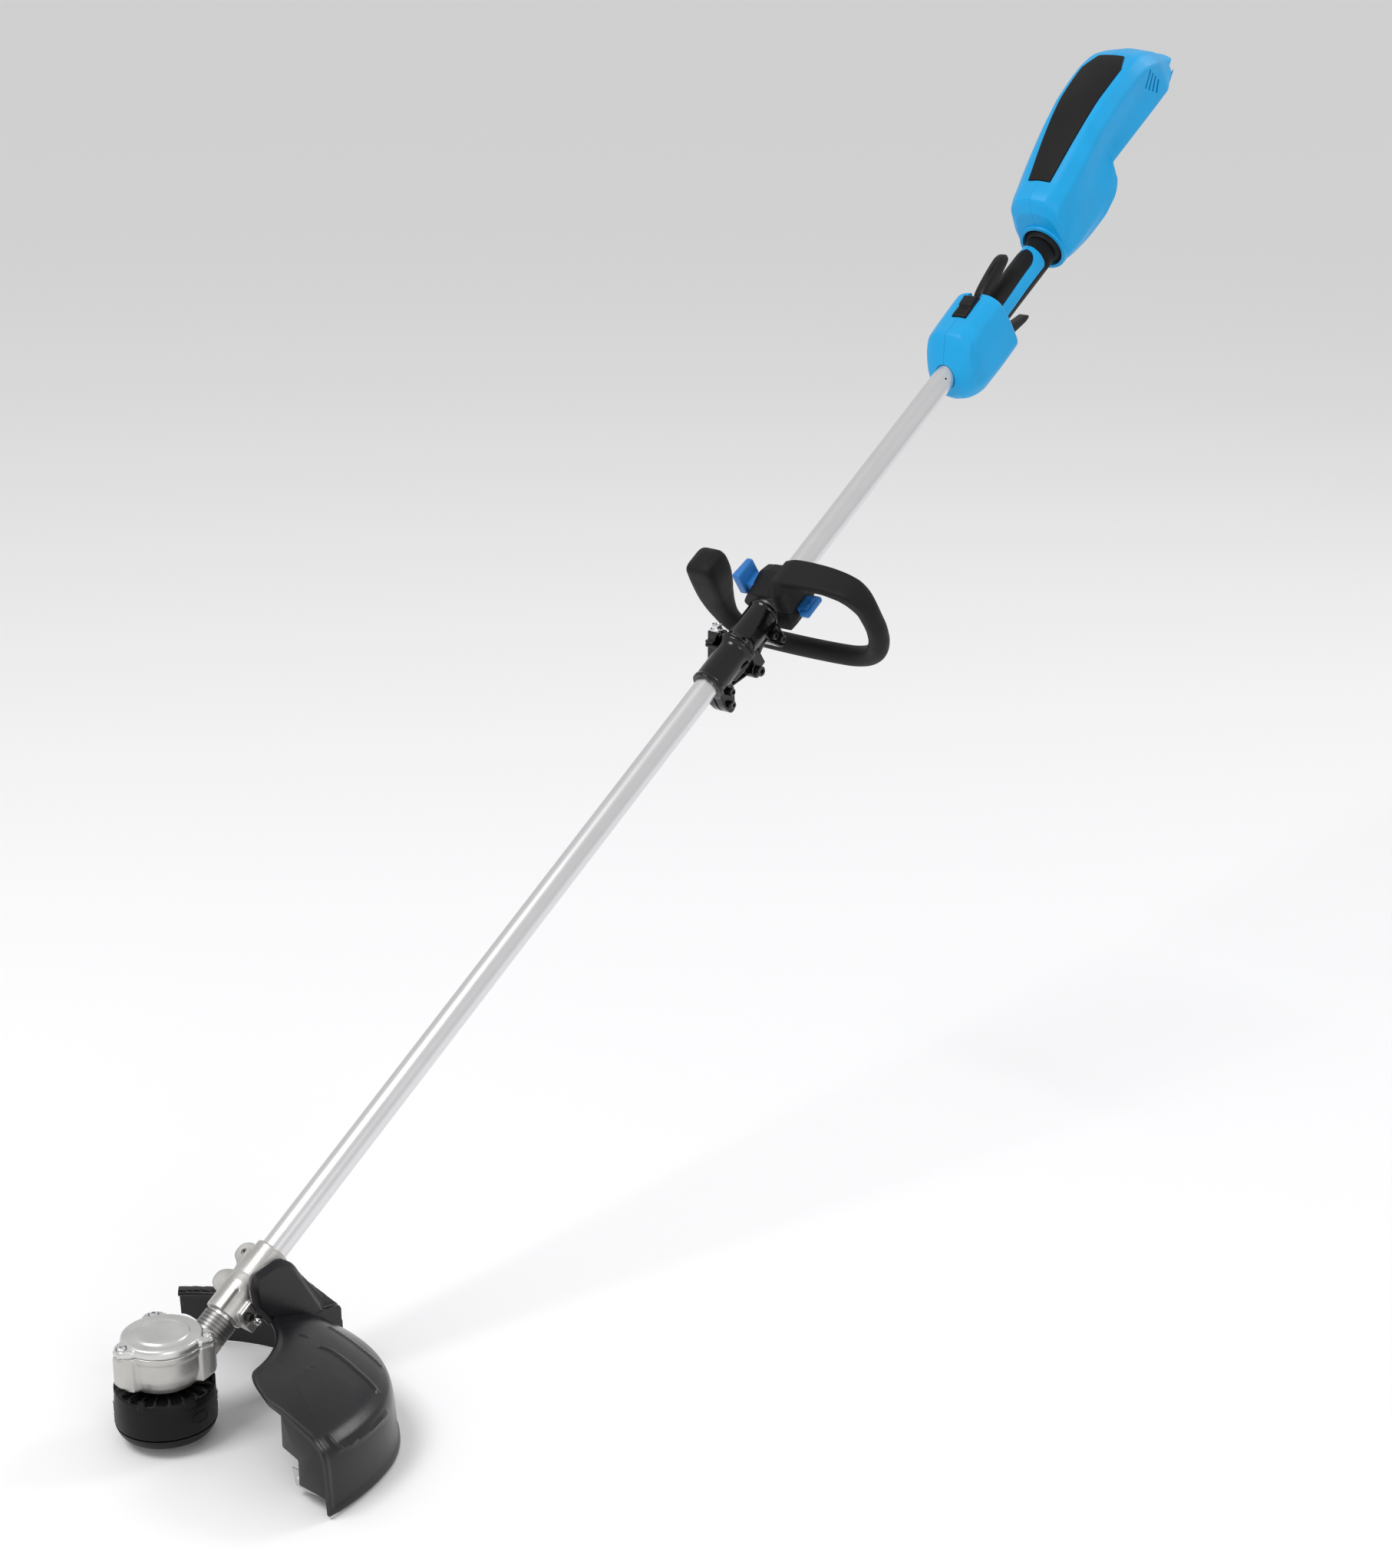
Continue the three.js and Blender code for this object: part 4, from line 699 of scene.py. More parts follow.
# ------------------------------------------------------------------ finishes
@dataclass(frozen=True)
class Finish:
    """A surface finish.

    Attributes:
        name: The material's name.
        color: Its base colour, linear.
        rough: Its roughness.
        metal: How metallic it is.
        grain: Scale of its fine grain.
        relief: Depth of its grain, in metres.
        tone: How far its colour drifts over the piece.
        drift: How far its roughness drifts.
        wear_and_highlight: How much its edges are rubbed.
        worn_and_highlight_color: Colour of the rubbed edges.
        dust: How much fine dust lies on it.
        coat: Weight of its clear coat.
        specular: Strength of its plain reflection.
        drawn: Whether its grain runs along the shaft.
    """

    name: str
    color: Spot
    rough: float = 0.5
    metal: float = 0.0
    grain: float = 1800.0
    relief: float = 0.00002
    tone: float = 0.06
    drift: float = 0.08
    # wear: How much its convex edges are lightened, partly by scuffing and partly by a painted edge
    # highlight. worn: Colour of those lightened edges, scuffing and painted highlight together.
    wear_and_highlight: float = 0.0
    worn_and_highlight_color: Spot = (0.5, 0.5, 0.5)
    dust: float = 0.0
    coat: float = 0.0
    specular: float = 0.5
    drawn: bool = False

    def material(self) -> bpy.types.Material:
        """Builds the material once and gives the same one afterwards."""
        ready = bpy.data.materials.get(self.name)
        if ready:
            return ready
        made = bpy.data.materials.new(self.name)
        made.use_nodes = True
        tree = made.node_tree
        shader = tree.nodes["Principled BSDF"]
        shader.inputs["Metallic"].default_value = self.metal
        shader.inputs["Specular IOR Level"].default_value = self.specular
        shader.inputs["Coat Weight"].default_value = self.coat
        shader.inputs["Coat Roughness"].default_value = 0.12
        grain = tree.nodes.new("ShaderNodeGroup")
        grain.node_tree = EFFECTS.streaks if self.drawn else EFFECTS.grain
        grain.inputs["Scale"].default_value = self.grain
        tone = grain.outputs["Tone"]
        low = tuple(max(0.0, c * (1 - self.tone)) for c in self.color)
        high = tuple(min(1.0, c * (1 + self.tone)) for c in self.color)
        color = self._mix(tree, tone, low, high)
        # Convex edges mix towards a lighter colour by pointiness: partly scuffing, partly a painted edge
        # highlight.
        if self.wear_and_highlight:
            rubbed_and_highlight_node = tree.nodes.new("ShaderNodeGroup")
            rubbed_and_highlight_node.node_tree = EFFECTS.wear_and_highlight
            rubbed_and_highlight_node.inputs["Amount"].default_value = self.wear_and_highlight
            color = self._mix(tree, rubbed_and_highlight_node.outputs["Mask"], color, self.worn_and_highlight_color)
        rough = math_node(tree, "MULTIPLY_ADD", tone, self.drift)
        rough.node.inputs[2].default_value = self.rough - self.drift / 2
        if self.dust:
            dusty = tree.nodes.new("ShaderNodeGroup")
            dusty.node_tree = EFFECTS.dust
            dusty.inputs["Amount"].default_value = self.dust
            color = self._mix(tree, dusty.outputs["Mask"], color, (0.32, 0.3, 0.27))
            extra = math_node(tree, "MULTIPLY", dusty.outputs["Mask"], 0.4)
            rough = math_node(tree, "ADD", rough, extra, clamp=True)
        tree.links.new(color, shader.inputs["Base Color"])
        tree.links.new(rough, shader.inputs["Roughness"])
        bump = tree.nodes.new("ShaderNodeBump")
        bump.inputs["Distance"].default_value = self.relief
        tree.links.new(grain.outputs["Height"], bump.inputs["Height"])
        tree.links.new(bump.outputs["Normal"], shader.inputs["Normal"])
        return made

    @staticmethod
    def _mix(
        tree: bpy.types.NodeTree, factor: bpy.types.NodeSocket, a: object, b: object
    ) -> bpy.types.NodeSocket:
        """Mixes two colours, each a socket or three numbers."""
        node = tree.nodes.new("ShaderNodeMix")
        node.data_type = "RGBA"
        tree.links.new(factor, node.inputs["Factor"])
        for socket, value in ((node.inputs[6], a), (node.inputs[7], b)):
            if isinstance(value, bpy.types.NodeSocket):
                tree.links.new(value, socket)
            else:
                socket.default_value = (*value, 1.0)
        return node.outputs[2]


# Edge colours given below are lighter than their bases: partly scuffing, partly a painted edge highlight.
BLUE_SHELL = Finish(
    "blue_shell", (0.004, 0.32, 0.66), 0.44, grain=2600, relief=0.000025, tone=0.035,
    drift=0.07, wear_and_highlight=0.15, worn_and_highlight_color=(0.02, 0.34, 0.8), specular=0.3,
)
TAB_SHELL = Finish(
    "blue_tab", (0.02, 0.15, 0.44), 0.36, grain=2400, relief=0.00002, wear_and_highlight=0.3,
    worn_and_highlight_color=(0.06, 0.26, 0.62), specular=0.35,
)
SOFT_GRIP = Finish(
    "soft_grip", (0.005, 0.005, 0.0053), 0.58, grain=2200, relief=0.00006, drift=0.1,
    specular=0.2,
)
BLACK_MOULDING = Finish(
    "black_moulding", (0.004, 0.004, 0.0043), 0.42, grain=1900, relief=0.00004, drift=0.1,
    wear_and_highlight=0.25, worn_and_highlight_color=(0.03, 0.03, 0.03), specular=0.25,
)
GUARD_MOULDING = Finish(
    "guard_moulding", (0.006, 0.006, 0.0075), 0.27, grain=1500, relief=0.00002, drift=0.1,
    wear_and_highlight=0.3, worn_and_highlight_color=(0.05, 0.05, 0.05), dust=0.01, specular=0.38,
)
HEAD_MOULDING = Finish(
    "head_moulding", (0.002, 0.002, 0.0022), 0.4, grain=1600, relief=0.00004, drift=0.1,
    wear_and_highlight=0.25, worn_and_highlight_color=(0.02, 0.02, 0.02), specular=0.2,
)
BLACK_ENAMEL = Finish(
    "black_enamel", (0.002, 0.002, 0.0022), 0.16, grain=240, relief=0.00018, drift=0.08,
    wear_and_highlight=0.3, worn_and_highlight_color=(0.05, 0.05, 0.05), coat=0.15, specular=0.35,
)
ANODISED = Finish(
    "anodised_tube", (0.72, 0.72, 0.73), 0.3, 1.0, grain=900, relief=0.000012, tone=0.03,
    drift=0.05, drawn=True,
)
CAST_ALLOY = Finish(
    "cast_alloy", (0.5, 0.49, 0.47), 0.4, 0.85, grain=700, relief=0.00016, tone=0.1,
    drift=0.16, wear_and_highlight=0.6, worn_and_highlight_color=(0.78, 0.78, 0.77),
)
COVER_ALLOY = Finish(
    "cover_alloy", (0.6, 0.6, 0.59), 0.3, 0.9, grain=500, relief=0.00008, tone=0.08,
    drift=0.14, wear_and_highlight=0.6, worn_and_highlight_color=(0.85, 0.85, 0.84),
)
DARK_ALLOY = Finish(
    "dark_alloy", (0.2, 0.195, 0.19), 0.38, 0.9, grain=600, relief=0.00006, tone=0.1, wear_and_highlight=0.5,
    worn_and_highlight_color=(0.5, 0.5, 0.5),
)
BRIGHT_ZINC = Finish(
    "bright_zinc", (0.75, 0.75, 0.77), 0.2, 1.0, grain=900, relief=0.00002, tone=0.06,
    wear_and_highlight=0.4, worn_and_highlight_color=(0.9, 0.9, 0.9),
)
BLACK_OXIDE = Finish(
    "black_oxide", (0.01, 0.01, 0.01), 0.3, 0.4, grain=1200, relief=0.00003, wear_and_highlight=0.5,
    worn_and_highlight_color=(0.18, 0.18, 0.18),
)
GROUND_STEEL = Finish(
    "ground_steel", (0.5, 0.5, 0.51), 0.28, 1.0, grain=900, relief=0.00002, wear_and_highlight=0.3,
    worn_and_highlight_color=(0.7, 0.7, 0.7),
)
COPPER_WINDING = Finish(
    "copper_winding", (0.45, 0.17, 0.07), 0.38, 0.8, grain=600, relief=0.0001, tone=0.2,
)
NYLON_LINE = Finish(
    "nylon_line", (0.55, 0.14, 0.02), 0.35, grain=500, relief=0.0002, tone=0.15,
)
CIRCUIT_GREEN = Finish("circuit_board", (0.01, 0.1, 0.04), 0.4, grain=500, tone=0.2)
CABLE_BLACK = Finish("cable_black", (0.014, 0.014, 0.014), 0.5, grain=1200, relief=0.00004)

CARRIED: dict[str, Finish] = {
    "stator": COPPER_WINDING,
    "rotor": GROUND_STEEL,
    "bearing_lower": GROUND_STEEL,
    "bearing_upper": GROUND_STEEL,
    "spindle": GROUND_STEEL,
    "spool": HEAD_MOULDING,
    "wound_line": NYLON_LINE,
    "feed_spring": GROUND_STEEL,
    "wire_harness_lower": CABLE_BLACK,
    "wire_harness_upper": CABLE_BLACK,
    "lock_off_pin": GROUND_STEEL,
    "trigger_pin": GROUND_STEEL,
    "microswitch": BLACK_MOULDING,
    "dock_plate": BLACK_MOULDING,
    "battery_terminal_block": BLACK_MOULDING,
    "control_board": CIRCUIT_GREEN,
}


# ------------------------------------------------------------------ sub-assemblies
class Assembly:
    """What every sub-assembly does with a finished piece."""

    @staticmethod
    def deliver(
        piece: bpy.types.Object,
        nodes: tuple[str, ...],
        body: Body,
        slot: str,
        finish: Finish,
        drawing: Drawing = Drawing.SHAFT,
        smooth: float = 35,
    ) -> None:
        """slot: The record's material slot; not used.
            finish: Its finish.
            drawing: The frame that it was drawn in.
            smooth: Edges sharper than this angle stay sharp.
        """
        piece.matrix_world = FRAMES[drawing]
        Bench.apply_place(piece)
        Bench.shade(piece, smooth)
        piece.data.materials.clear()
        piece.data.materials.append(finish.material())
        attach(piece, body.value)
        if nodes:
            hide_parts(*nodes)
        LOG.info("%s: %d faces on %s", piece.name, len(piece.data.polygons), body.value)

    @staticmethod
    def section(x: float, half: list[Flat], radii: list[float], steps: int = 4) -> list[Spot]:
        """A closed ring across the shaft from a half outline.

        Args:
            x: Its place along the shaft.
            half: (y, z) points from the top centre down to the bottom centre.
            radii: Rounding at each of them.
            steps: Points along each rounding.

        Returns:
            The ring's points.
        """
        full = half + [(-y, z) for y, z in reversed(half[1:-1])]
        rounding = radii + list(reversed(radii[1:-1]))
        return [(x, y, z) for y, z in filleted(full, rounding, steps)]

    @staticmethod
    def stations(
        table: list[tuple[float, list[Flat]]], places: list[float]
    ) -> list[tuple[float, list[Flat]]]:
        """Reads a smooth row of half outlines from a few measured ones.

        Args:
            table: (place, half outline) stations.
            places: Where outlines are wanted.

        Returns:
            One (place, half outline) for each place.
        """
        knots = [x for x, _ in table]
        count = len(table[0][1])
        made = []
        for x in places:
            half = [
                (
                    monotone(knots, [row[k][0] for _, row in table], x),
                    monotone(knots, [row[k][1] for _, row in table], x),
                )
                for k in range(count)
            ]
            made.append((x, half))
        return made


@dataclass
class Tubes(Assembly):
    """Both shaft tubes."""

    radius: float = 12.7
    wall: float = 1.6
    lower: Flat = (48.0, 931.0)
    upper: Flat = (939.0, 1385.7)

    def _tube(self, name: str, ends: Flat) -> bpy.types.Object:
        """One drawn tube, with eased ends."""
        r, w = self.radius, self.wall
        a, b = ends
        runs = spaced(a + 0.5, b - 0.5, 40)
        outside = [(r - 0.4, a), *((r, x) for x in runs), (r - 0.4, b)]
        inside = [(r - w, b), (r - w, a)]
        return Bench.turned(name, outside + inside, "X", 64)

    def build(self) -> None:
        """Makes both tubes and the drilled locating hole near the top of the upper one."""
        for name, node, ends, body in (
            ("lower_shaft_tube", "lower_tube", self.lower, Body.LOWER),
            ("upper_shaft_tube", "upper_tube", self.upper, Body.REAR),
        ):
            tube = self._tube(name, ends)
            if body is Body.REAR:
                # Drilled locating hole, on the side that faces down-left.
                hole = Bench.bar("hole", 1.2, (1345, -8, 6), (1345, -14, 10.5), 16)
                Bench.cut(tube, hole)
            self.deliver(tube, (node,), body, "tube_anodised", ANODISED)


@dataclass
class Fastener(Assembly):
    """A screw or bolt, modelled once for each drive and size and copied to its places."""

    head_radius: float = 4.0
    head_height: float = 5.0
    shank: float = 12.0
    shank_radius: float = 2.2
    drive: Drive = Drive.SOCKET
    washer: float = 0.0

    def make(self, name: str) -> bpy.types.Object:
        """Makes the fastener on the z axis, its seat at z = 0 and its head upwards."""
        r, h = self.head_radius, self.head_height
        if self.drive is Drive.SOCKET:
            head = [(0, 0.0), (r - 0.3, 0), (r, 0.3), (r, h - 0.7), (r - 0.7, h), (0, h)]
        elif self.drive is Drive.CROSS:
            head = [(0, 0.0), (r, 0), (r, h * 0.35), (r * 0.88, h * 0.7), (r * 0.55, h * 0.95), (0, h)]
        else:
            head = [(0, self.washer), (r, self.washer), (r, h * 0.6), (0, h * 0.6)]
        if self.drive is Drive.HEX:
            w = self.washer
            piece = Bench.turned(name, [(0, 0.0), (r * 1.3, 0), (r * 1.3, w * 0.6), (r * 1.1, w), (0, w)],
                "Z", 40)
            corners = [polar(r, 60 * i, w - 0.2) for i in range(6)]
            hexagon = Bench.slab("hexagon", corners, (0, 0, h - w))
            Bench.bevel(hexagon, 0.35, 2, 30)
            dish = Bench.turned("dish", [(0, h - 0.8), (r * 0.62, h - 0.8), (r * 0.78, h + 1), (0, h + 1)],
                "Z", 30)
            Bench.fuse(piece, Bench.cut(hexagon, dish))
        else:
            piece = Bench.turned(name, head, "Z", 36)
        if self.drive is Drive.SOCKET:
            socket = Bench.bar("socket", r * 0.52, (0, 0, h * 0.4), (0, 0, h + 1), 6)
            Bench.cut(piece, socket)
            for i in range(20):
                groove = Bench.bar("groove", 0.16, polar(r, 18 * i, 0.8), polar(r, 18 * i, h - 1.1), 6)
                Bench.cut(piece, groove)
        if self.drive is Drive.CROSS:
            for turn in (0, 90):
                arm = Bench.brick("arm", (-r * 0.55, -r * 0.13, h * 0.45), (r * 0.55, r * 0.13, h + 1))
                arm.rotation_euler = (0, 0, math.radians(turn))
                Bench.apply_place(arm)
                Bench.cut(piece, arm)
        threads = []
        pitch = 1.0
        turns = int(self.shank / pitch)
        for i in range(turns):
            z = -self.shank + i * pitch
            threads += [(self.shank_radius - 0.25, z), (self.shank_radius, z + pitch * 0.5)]
        shank = [(0, -self.shank), *threads, (self.shank_radius, 0.4), (0, 0.4)]
        return Bench.fuse(piece, Bench.turned("shank", shank, "Z", 20))

    @staticmethod
    def aim(piece: bpy.types.Object, seat: Spot, towards: Spot, spin: float = 0.0) -> None:
        """Turns a fastener to point its head one way and puts its seat at a place.

        Args:
            piece: The fastener.
            seat: Where its head rests.
            towards: The way its head points.
            spin: Turn of its drive, in degrees.
        """
        turn = Vector(towards).to_track_quat("Z", "Y").to_matrix().to_4x4()
        about = Matrix.Rotation(math.radians(spin), 4, "Z")
        piece.matrix_world = Matrix.Translation(seat) @ turn @ about
        Bench.apply_place(piece)


@dataclass
class MotorUnit(Assembly):
    """Cast motor housing with its neck, the cover, three screws and the neck's seal ring."""

    radius: float = 36.0
    base: float = 12.4
    split: float = 50.0
    top: float = 60.0
    ear_reach: float = 46.5
    ear_half: float = 11.5
    ear_ring: float = 40.0
    neck_radius: float = 15.0
    neck_end: float = 80.0
    ear_angles: tuple[float, ...] = (172.0, -48.0, 62.0)

    def _ear(self, name: str, angle: float, low: float, high: float, grow: float) -> bpy.types.Object:
        """A chamfered screw ear from one height to another.

        Args:
            name: The piece's name.
            angle: Where it stands round the housing.
            low: Its lower end.
            high: Its upper end.
            grow: How far it stands beyond the plain ear.

        Returns:
            The ear.
        """
        w, out = self.ear_half + grow, self.ear_reach + grow
        plan = [(24, -w - 3), (37, -w - 1), (out - 3.5, -w + 3), (out, -w + 6.5),
                (out, w - 6.5), (out - 3.5, w - 3), (37, w + 1), (24, w + 3)]
        rows = [(low, 0.0, 7.0), (low + 5, 0.0, 0.0), (high - 3, 0.0, 0.0), (high, 0.8, 1.6)]
        rings = []
        for z, narrow, back in rows:
            ring = []
            for x, y in plan:
                reach = min(x, out - back)
                side = y - math.copysign(min(narrow, abs(y)), y)
                ring.append(polar(math.hypot(reach, side), angle + math.degrees(math.atan2(side, reach)), z))
            rings.append(ring)
        return Bench.loft(name, rings)

    def _housing(self) -> None:
        """The pot, its ears and the neck that takes the tube."""
        r, z0, z1 = self.radius, self.base, self.split
        profile = [(0, z0 - 0.9), (23, z0 - 0.9), (23.5, z0), (28, z0 + 0.4), (31.5, z0 + 3),
                   (33.6, z0 + 7), (r - 0.5, z0 + 14), (r, z0 + 18), (r, z1 - 7), (r + 0.9, z1 - 5),
                   (r + 0.9, z1 - 0.4), (r + 0.5, z1), (0, z1)]
        pot = Bench.turned("motor_housing_casting", profile, "Z", 96)
        for angle in self.ear_angles:
            Bench.fuse(pot, self._ear("ear", angle, 17, z1, 0))
        neck = Bench.bar("neck", self.neck_radius, along_shaft(14, 0, 0), along_shaft(self.neck_end, 0, 0),
            64)
        sleeve = Bench.bar("sleeve", self.neck_radius + 1.6, along_shaft(26, 0, 0), along_shaft(60, 0, 0), 64)
        Bench.fuse(neck, sleeve)
        gusset = Bench.slab(
            "gusset",
            [along_shaft(20, -5, 26), along_shaft(46, -5, 15), along_shaft(46, -5, 0),
            along_shaft(20, -5, 0)],
            (0, 10, 0),
        )
        Bench.fuse(neck, gusset)
        under = Bench.brick("under", (-10, -40, -30), (100, 40, z0 + 1))
        above = Bench.brick("above", (-30, -60, z1 - 0.05), (34, 60, 120))
        Bench.fuse(pot, Bench.cut(neck, under, above))
        Bench.soften(pot, 0.85, 3)
        bore = Bench.bar("bore", 13.0, along_shaft(46, 0, 0), along_shaft(90, 0, 0), 48)
        flat = Bench.brick("flat", (-60, -60, z1), (34, 60, z1 + 9))
        hollow = Bench.turned("hollow",
            [(0, z0 + 12), (29, z0 + 12), (33, z0 + 16), (33, z1 + 5), (0, z1 + 5)], "Z", 64)
        Bench.cut(pot, hollow, bore, flat)
        self.deliver(pot, ("motor_housing",), Body.LOWER, "casting", CAST_ALLOY, Drawing.HEAD, 40)

    def _seal_ring(self) -> None:
        """Grooved dark ring round the neck's mouth."""
        profile: list[Flat] = [(15.05, 61.0)]
        for i in range(5):
            x = 61.5 + i * 3.6
            profile += [(16.4, x), (16.4, x + 2.4), (15.7, x + 2.7), (15.7, x + 3.3)]
        profile += [(16.4, 79.6), (15.05, 79.9)]
        ring = Bench.turned("neck_seal_ring", profile, "X", 64)
        self.deliver(ring, (), Body.LOWER, "casting", DARK_ALLOY)

    def _cover(self) -> None:
        """The cover, with a raised ring, a rounded rim and ears."""
        r, z0, z1 = self.radius, self.split + 0.3, self.top
        profile = [(0, z0), (r + 0.5, z0), (r + 0.7, z0 + 0.5), (r + 0.7, z0 + 2.4), (r + 0.2, z1 - 4.2),
                   (r - 0.8, z1 - 2.4), (r - 3, z1 - 1.5), (r - 5, z1 - 1.7), (r - 6, z1 - 2.3),
                   (25.5, z1 - 2.0), (23.8, z1 - 0.5), (22.6, z1), (21.4, z1 - 0.1), (20.4, z1 - 1.0),
                   (12, z1 - 0.9), (0, z1 - 0.8)]
        cover = Bench.turned("motor_cover_casting", profile, "Z", 96)
        for angle in self.ear_angles:
            Bench.fuse(cover, self._ear("ear", angle, z0 - 6, z1 - 4, -0.2))
        low = Bench.brick("low", (-60, -60, 0), (60, 60, z0))
        Bench.cut(cover, low)
        Bench.soften(cover, 0.7, 3)
        trim = Bench.brick("trim", (-60, -60, 30), (60, 60, z0))
        Bench.cut(cover, trim)
        for angle in self.ear_angles:
            x, y, _ = polar(self.ear_ring, angle)
            Bench.cut(cover, Bench.bar("seat", 5.0, (x, y, z1 - 6), (x, y, z1 + 4), 24))
            Bench.cut(cover, Bench.bar("hole", 2.4, (x, y, z0 - 3), (x, y, z1), 16))
        self.deliver(cover, ("motor_cover",), Body.LOWER, "casting", COVER_ALLOY, Drawing.HEAD, 40)

    def _screws(self) -> None:
        """The cover's three cross-head screws."""
        first = Fastener(4.3, 3.4, 15.0, 2.2, Drive.CROSS).make("cover_screw")
        for i, angle in enumerate(self.ear_angles):
            screw = Bench.copy(first, f"cover_screw_turned_{i + 1}")
            Fastener.aim(screw, polar(self.ear_ring, angle, self.top - 5.7), (0, 0, 1), 20 + 35 * i)
            self.deliver(screw, (f"cover_screw_{i + 1}",), Body.LOWER, "zinc", BRIGHT_ZINC, Drawing.HEAD)
        bpy.data.objects.remove(first)

    def build(self) -> None:
        """Makes the whole motor unit."""
        self._housing()
        self._seal_ring()
        self._cover()
        self._screws()


@dataclass
class StringHead(Assembly):
    """The turning head: finned housing, cover, eyelets and bump knob."""

    radius: float = 45.0
    top: float = 8.0
    split: float = -25.0
    bottom: float = -36.0
    knob_radius: float = 20.0
    knob_bottom: float = -42.0
    fins: int = 20
    eyelet_angle: float = -35.0
    eyelet_z: float = -12.0

    def _housing(self) -> None:
        """Cup with cooling fins and castellations round its rim."""
        r, top, low = self.radius, self.top, self.split
        profile = [(0, top - 2.5), (r - 5, top - 3), (r - 2.6, top - 6), (r - 2.6, low + 0.3),
                   (r - 0.3, low + 0.3), (r + 0.1, low + 1.5), (r + 0.2, low + 14), (r - 0.2, top - 8),
                   (r - 1.2, top - 0.6),
                   (r - 2.2, top + 0.3), (24, top + 0.8), (21, top + 1.6), (0, top + 1.6)]
        cup = Bench.turned("string_head_cup", profile, "Z", 120)
        fin_line = [(17.5, top - 1), (22, top + 2.4), (30, top + 3.6), (38, top + 3.4), (42.4, top + 1.4),
                    (43.6, top - 2)]
        for i in range(self.fins):
            fin = Bench.slab("fin", [(x, -1.3, z) for x, z in fin_line], (0, 2.6, 0))
            fin.rotation_euler = (0, 0, math.radians(360 / self.fins * i + 4))
            Bench.apply_place(fin)
            Bench.fuse(cup, fin)
        for i, (angle, width) in enumerate(((20, 11), (85, 8), (140, 13), (205, 9), (262, 12), (322, 10))):
            arc = [angle + width * (k / 6 - 0.5) for k in range(7)]
            plan = [polar(r - 0.4, a, top - 4) for a in arc] + [polar(r - 4.2, a, top - 4)
                for a in reversed(arc)]
            lug = Bench.slab("lug", plan, (0, 0, 8.6 if i % 2 else 7.2))
            Bench.fuse(cup, lug)
        Bench.soften(cup, 0.8, 2)
        oval = filleted([(-9, -5), (9, -5), (9, 5), (-9, 5)], 4.9, 6)
        for angle in (-85.0, 95.0):
            ring = []
            for k, (u, v) in enumerate(oval):
                ring.append(polar(r - 0.1, angle + math.degrees(u / r), v - 10))
            outer = Bench.slab("oval", ring, tuple(2 * c for c in polar(1, angle)))
            inner = Bench.slab(
                "oval_core",
                [polar(r - 1, angle + math.degrees(u * 0.86 / r), v * 0.78 - 10) for u, v in oval],
                tuple(4 * c for c in polar(1, angle)),
            )
            Bench.cut(outer, inner)
            shell = Bench.turned("shell", [(r - 3, 20), (r + 0.55, 20), (r + 0.55, -40), (r - 3, -40)], "Z",
                120)
            Bench.modify(outer, "BOOLEAN", operation="INTERSECT", object=shell, solver="EXACT")
            bpy.data.objects.remove(shell)
            Bench.fuse(cup, outer)
        for turn in (0, 180):
            a = self.eyelet_angle + turn
            window = Bench.bar("window", 3.7, polar(36, a, self.eyelet_z), polar(50, a, self.eyelet_z), 24)
            Bench.cut(cup, window)
        hub = Bench.bar("hub_bore", 5.0, (0, 0, -10), (0, 0, 20), 32)
        Bench.cut(cup, hub)
        self.deliver(cup, ("head_housing",), Body.ROTOR, "plastic_black", HEAD_MOULDING, Drawing.HEAD, 40)

    def _cover(self) -> None:
        """Lower cover with finger grips."""
        r, z1, z0 = self.radius, self.split, self.bottom
        profile = [(self.knob_radius + 1, z0 + 0.6), (self.knob_radius + 1.8, z0), (30, z0 - 0.1),
            (r - 8, z0),
                   (r - 4.6, z0 + 1.8), (r - 2.2, z0 + 5), (r - 0.8, z0 + 8.4), (r, z1 - 0.4),
                   (r - 2.4, z1 - 0.4),
                   (r - 4, z0 + 6.5), (r - 8, z0 + 2.6), (self.knob_radius + 1, z0 + 2.6)]
        cover = Bench.turned("string_head_cover", profile, "Z", 120)
        for i in range(24):
            a = 15 * i
            dent = Bench.bar("dent", 1.5, polar(r - 2.0, a, z0 - 2), polar(r + 2.2, a, z1 - 3.5), 12)
            Bench.cut(cover, dent)
        self.deliver(cover, ("head_cover",), Body.ROTOR, "plastic_black", HEAD_MOULDING, Drawing.HEAD, 30)

    def _eyelets(self) -> None:
        """Line eyelets, each an upturned U of bright metal round a bush."""
        r, z = self.radius, self.eyelet_z
        for i, turn in enumerate((0, 180)):
            a = self.eyelet_angle + turn
            bush = Bench.turned(
                "line_eyelet_bush",
                [(1.9, 0.0), (3.5, 0), (3.5, 5.0), (4.7, 5.3), (4.7, 5.8), (3.6, 6.5), (2.5, 6.3),
                (1.9, 5.4)], "Z", 32,
            )
            Fastener.aim(bush, polar(r - 5.2, a, z), polar(1, a), 0)
            strap_plan = filleted([(-4.6, -11), (-4.6, 7.5), (4.6, 7.5), (4.6, -11), (2.7, -11), (2.7, 1.5),
                (-2.7, 1.5), (-2.7, -11)],
                                  [0.4, 3.2, 3.2, 0.4, 0.4, 2.2, 2.2, 0.4], 5)
            strap = Bench.slab("strap", [polar(r + 0.3, a + math.degrees(u / r), v + z) for u,
                v in strap_plan],
                               tuple(0.9 * c for c in polar(1, a)))
            Bench.bevel(strap, 0.2, 2)
            Bench.take(bush)
            strap.select_set(True)
            bpy.ops.object.join()
            bush.name = f"line_eyelet_plated_{i + 1}"
            self.deliver(bush, (f"line_eyelet_{i + 1}",), Body.ROTOR, "zinc", BRIGHT_ZINC, Drawing.HEAD)

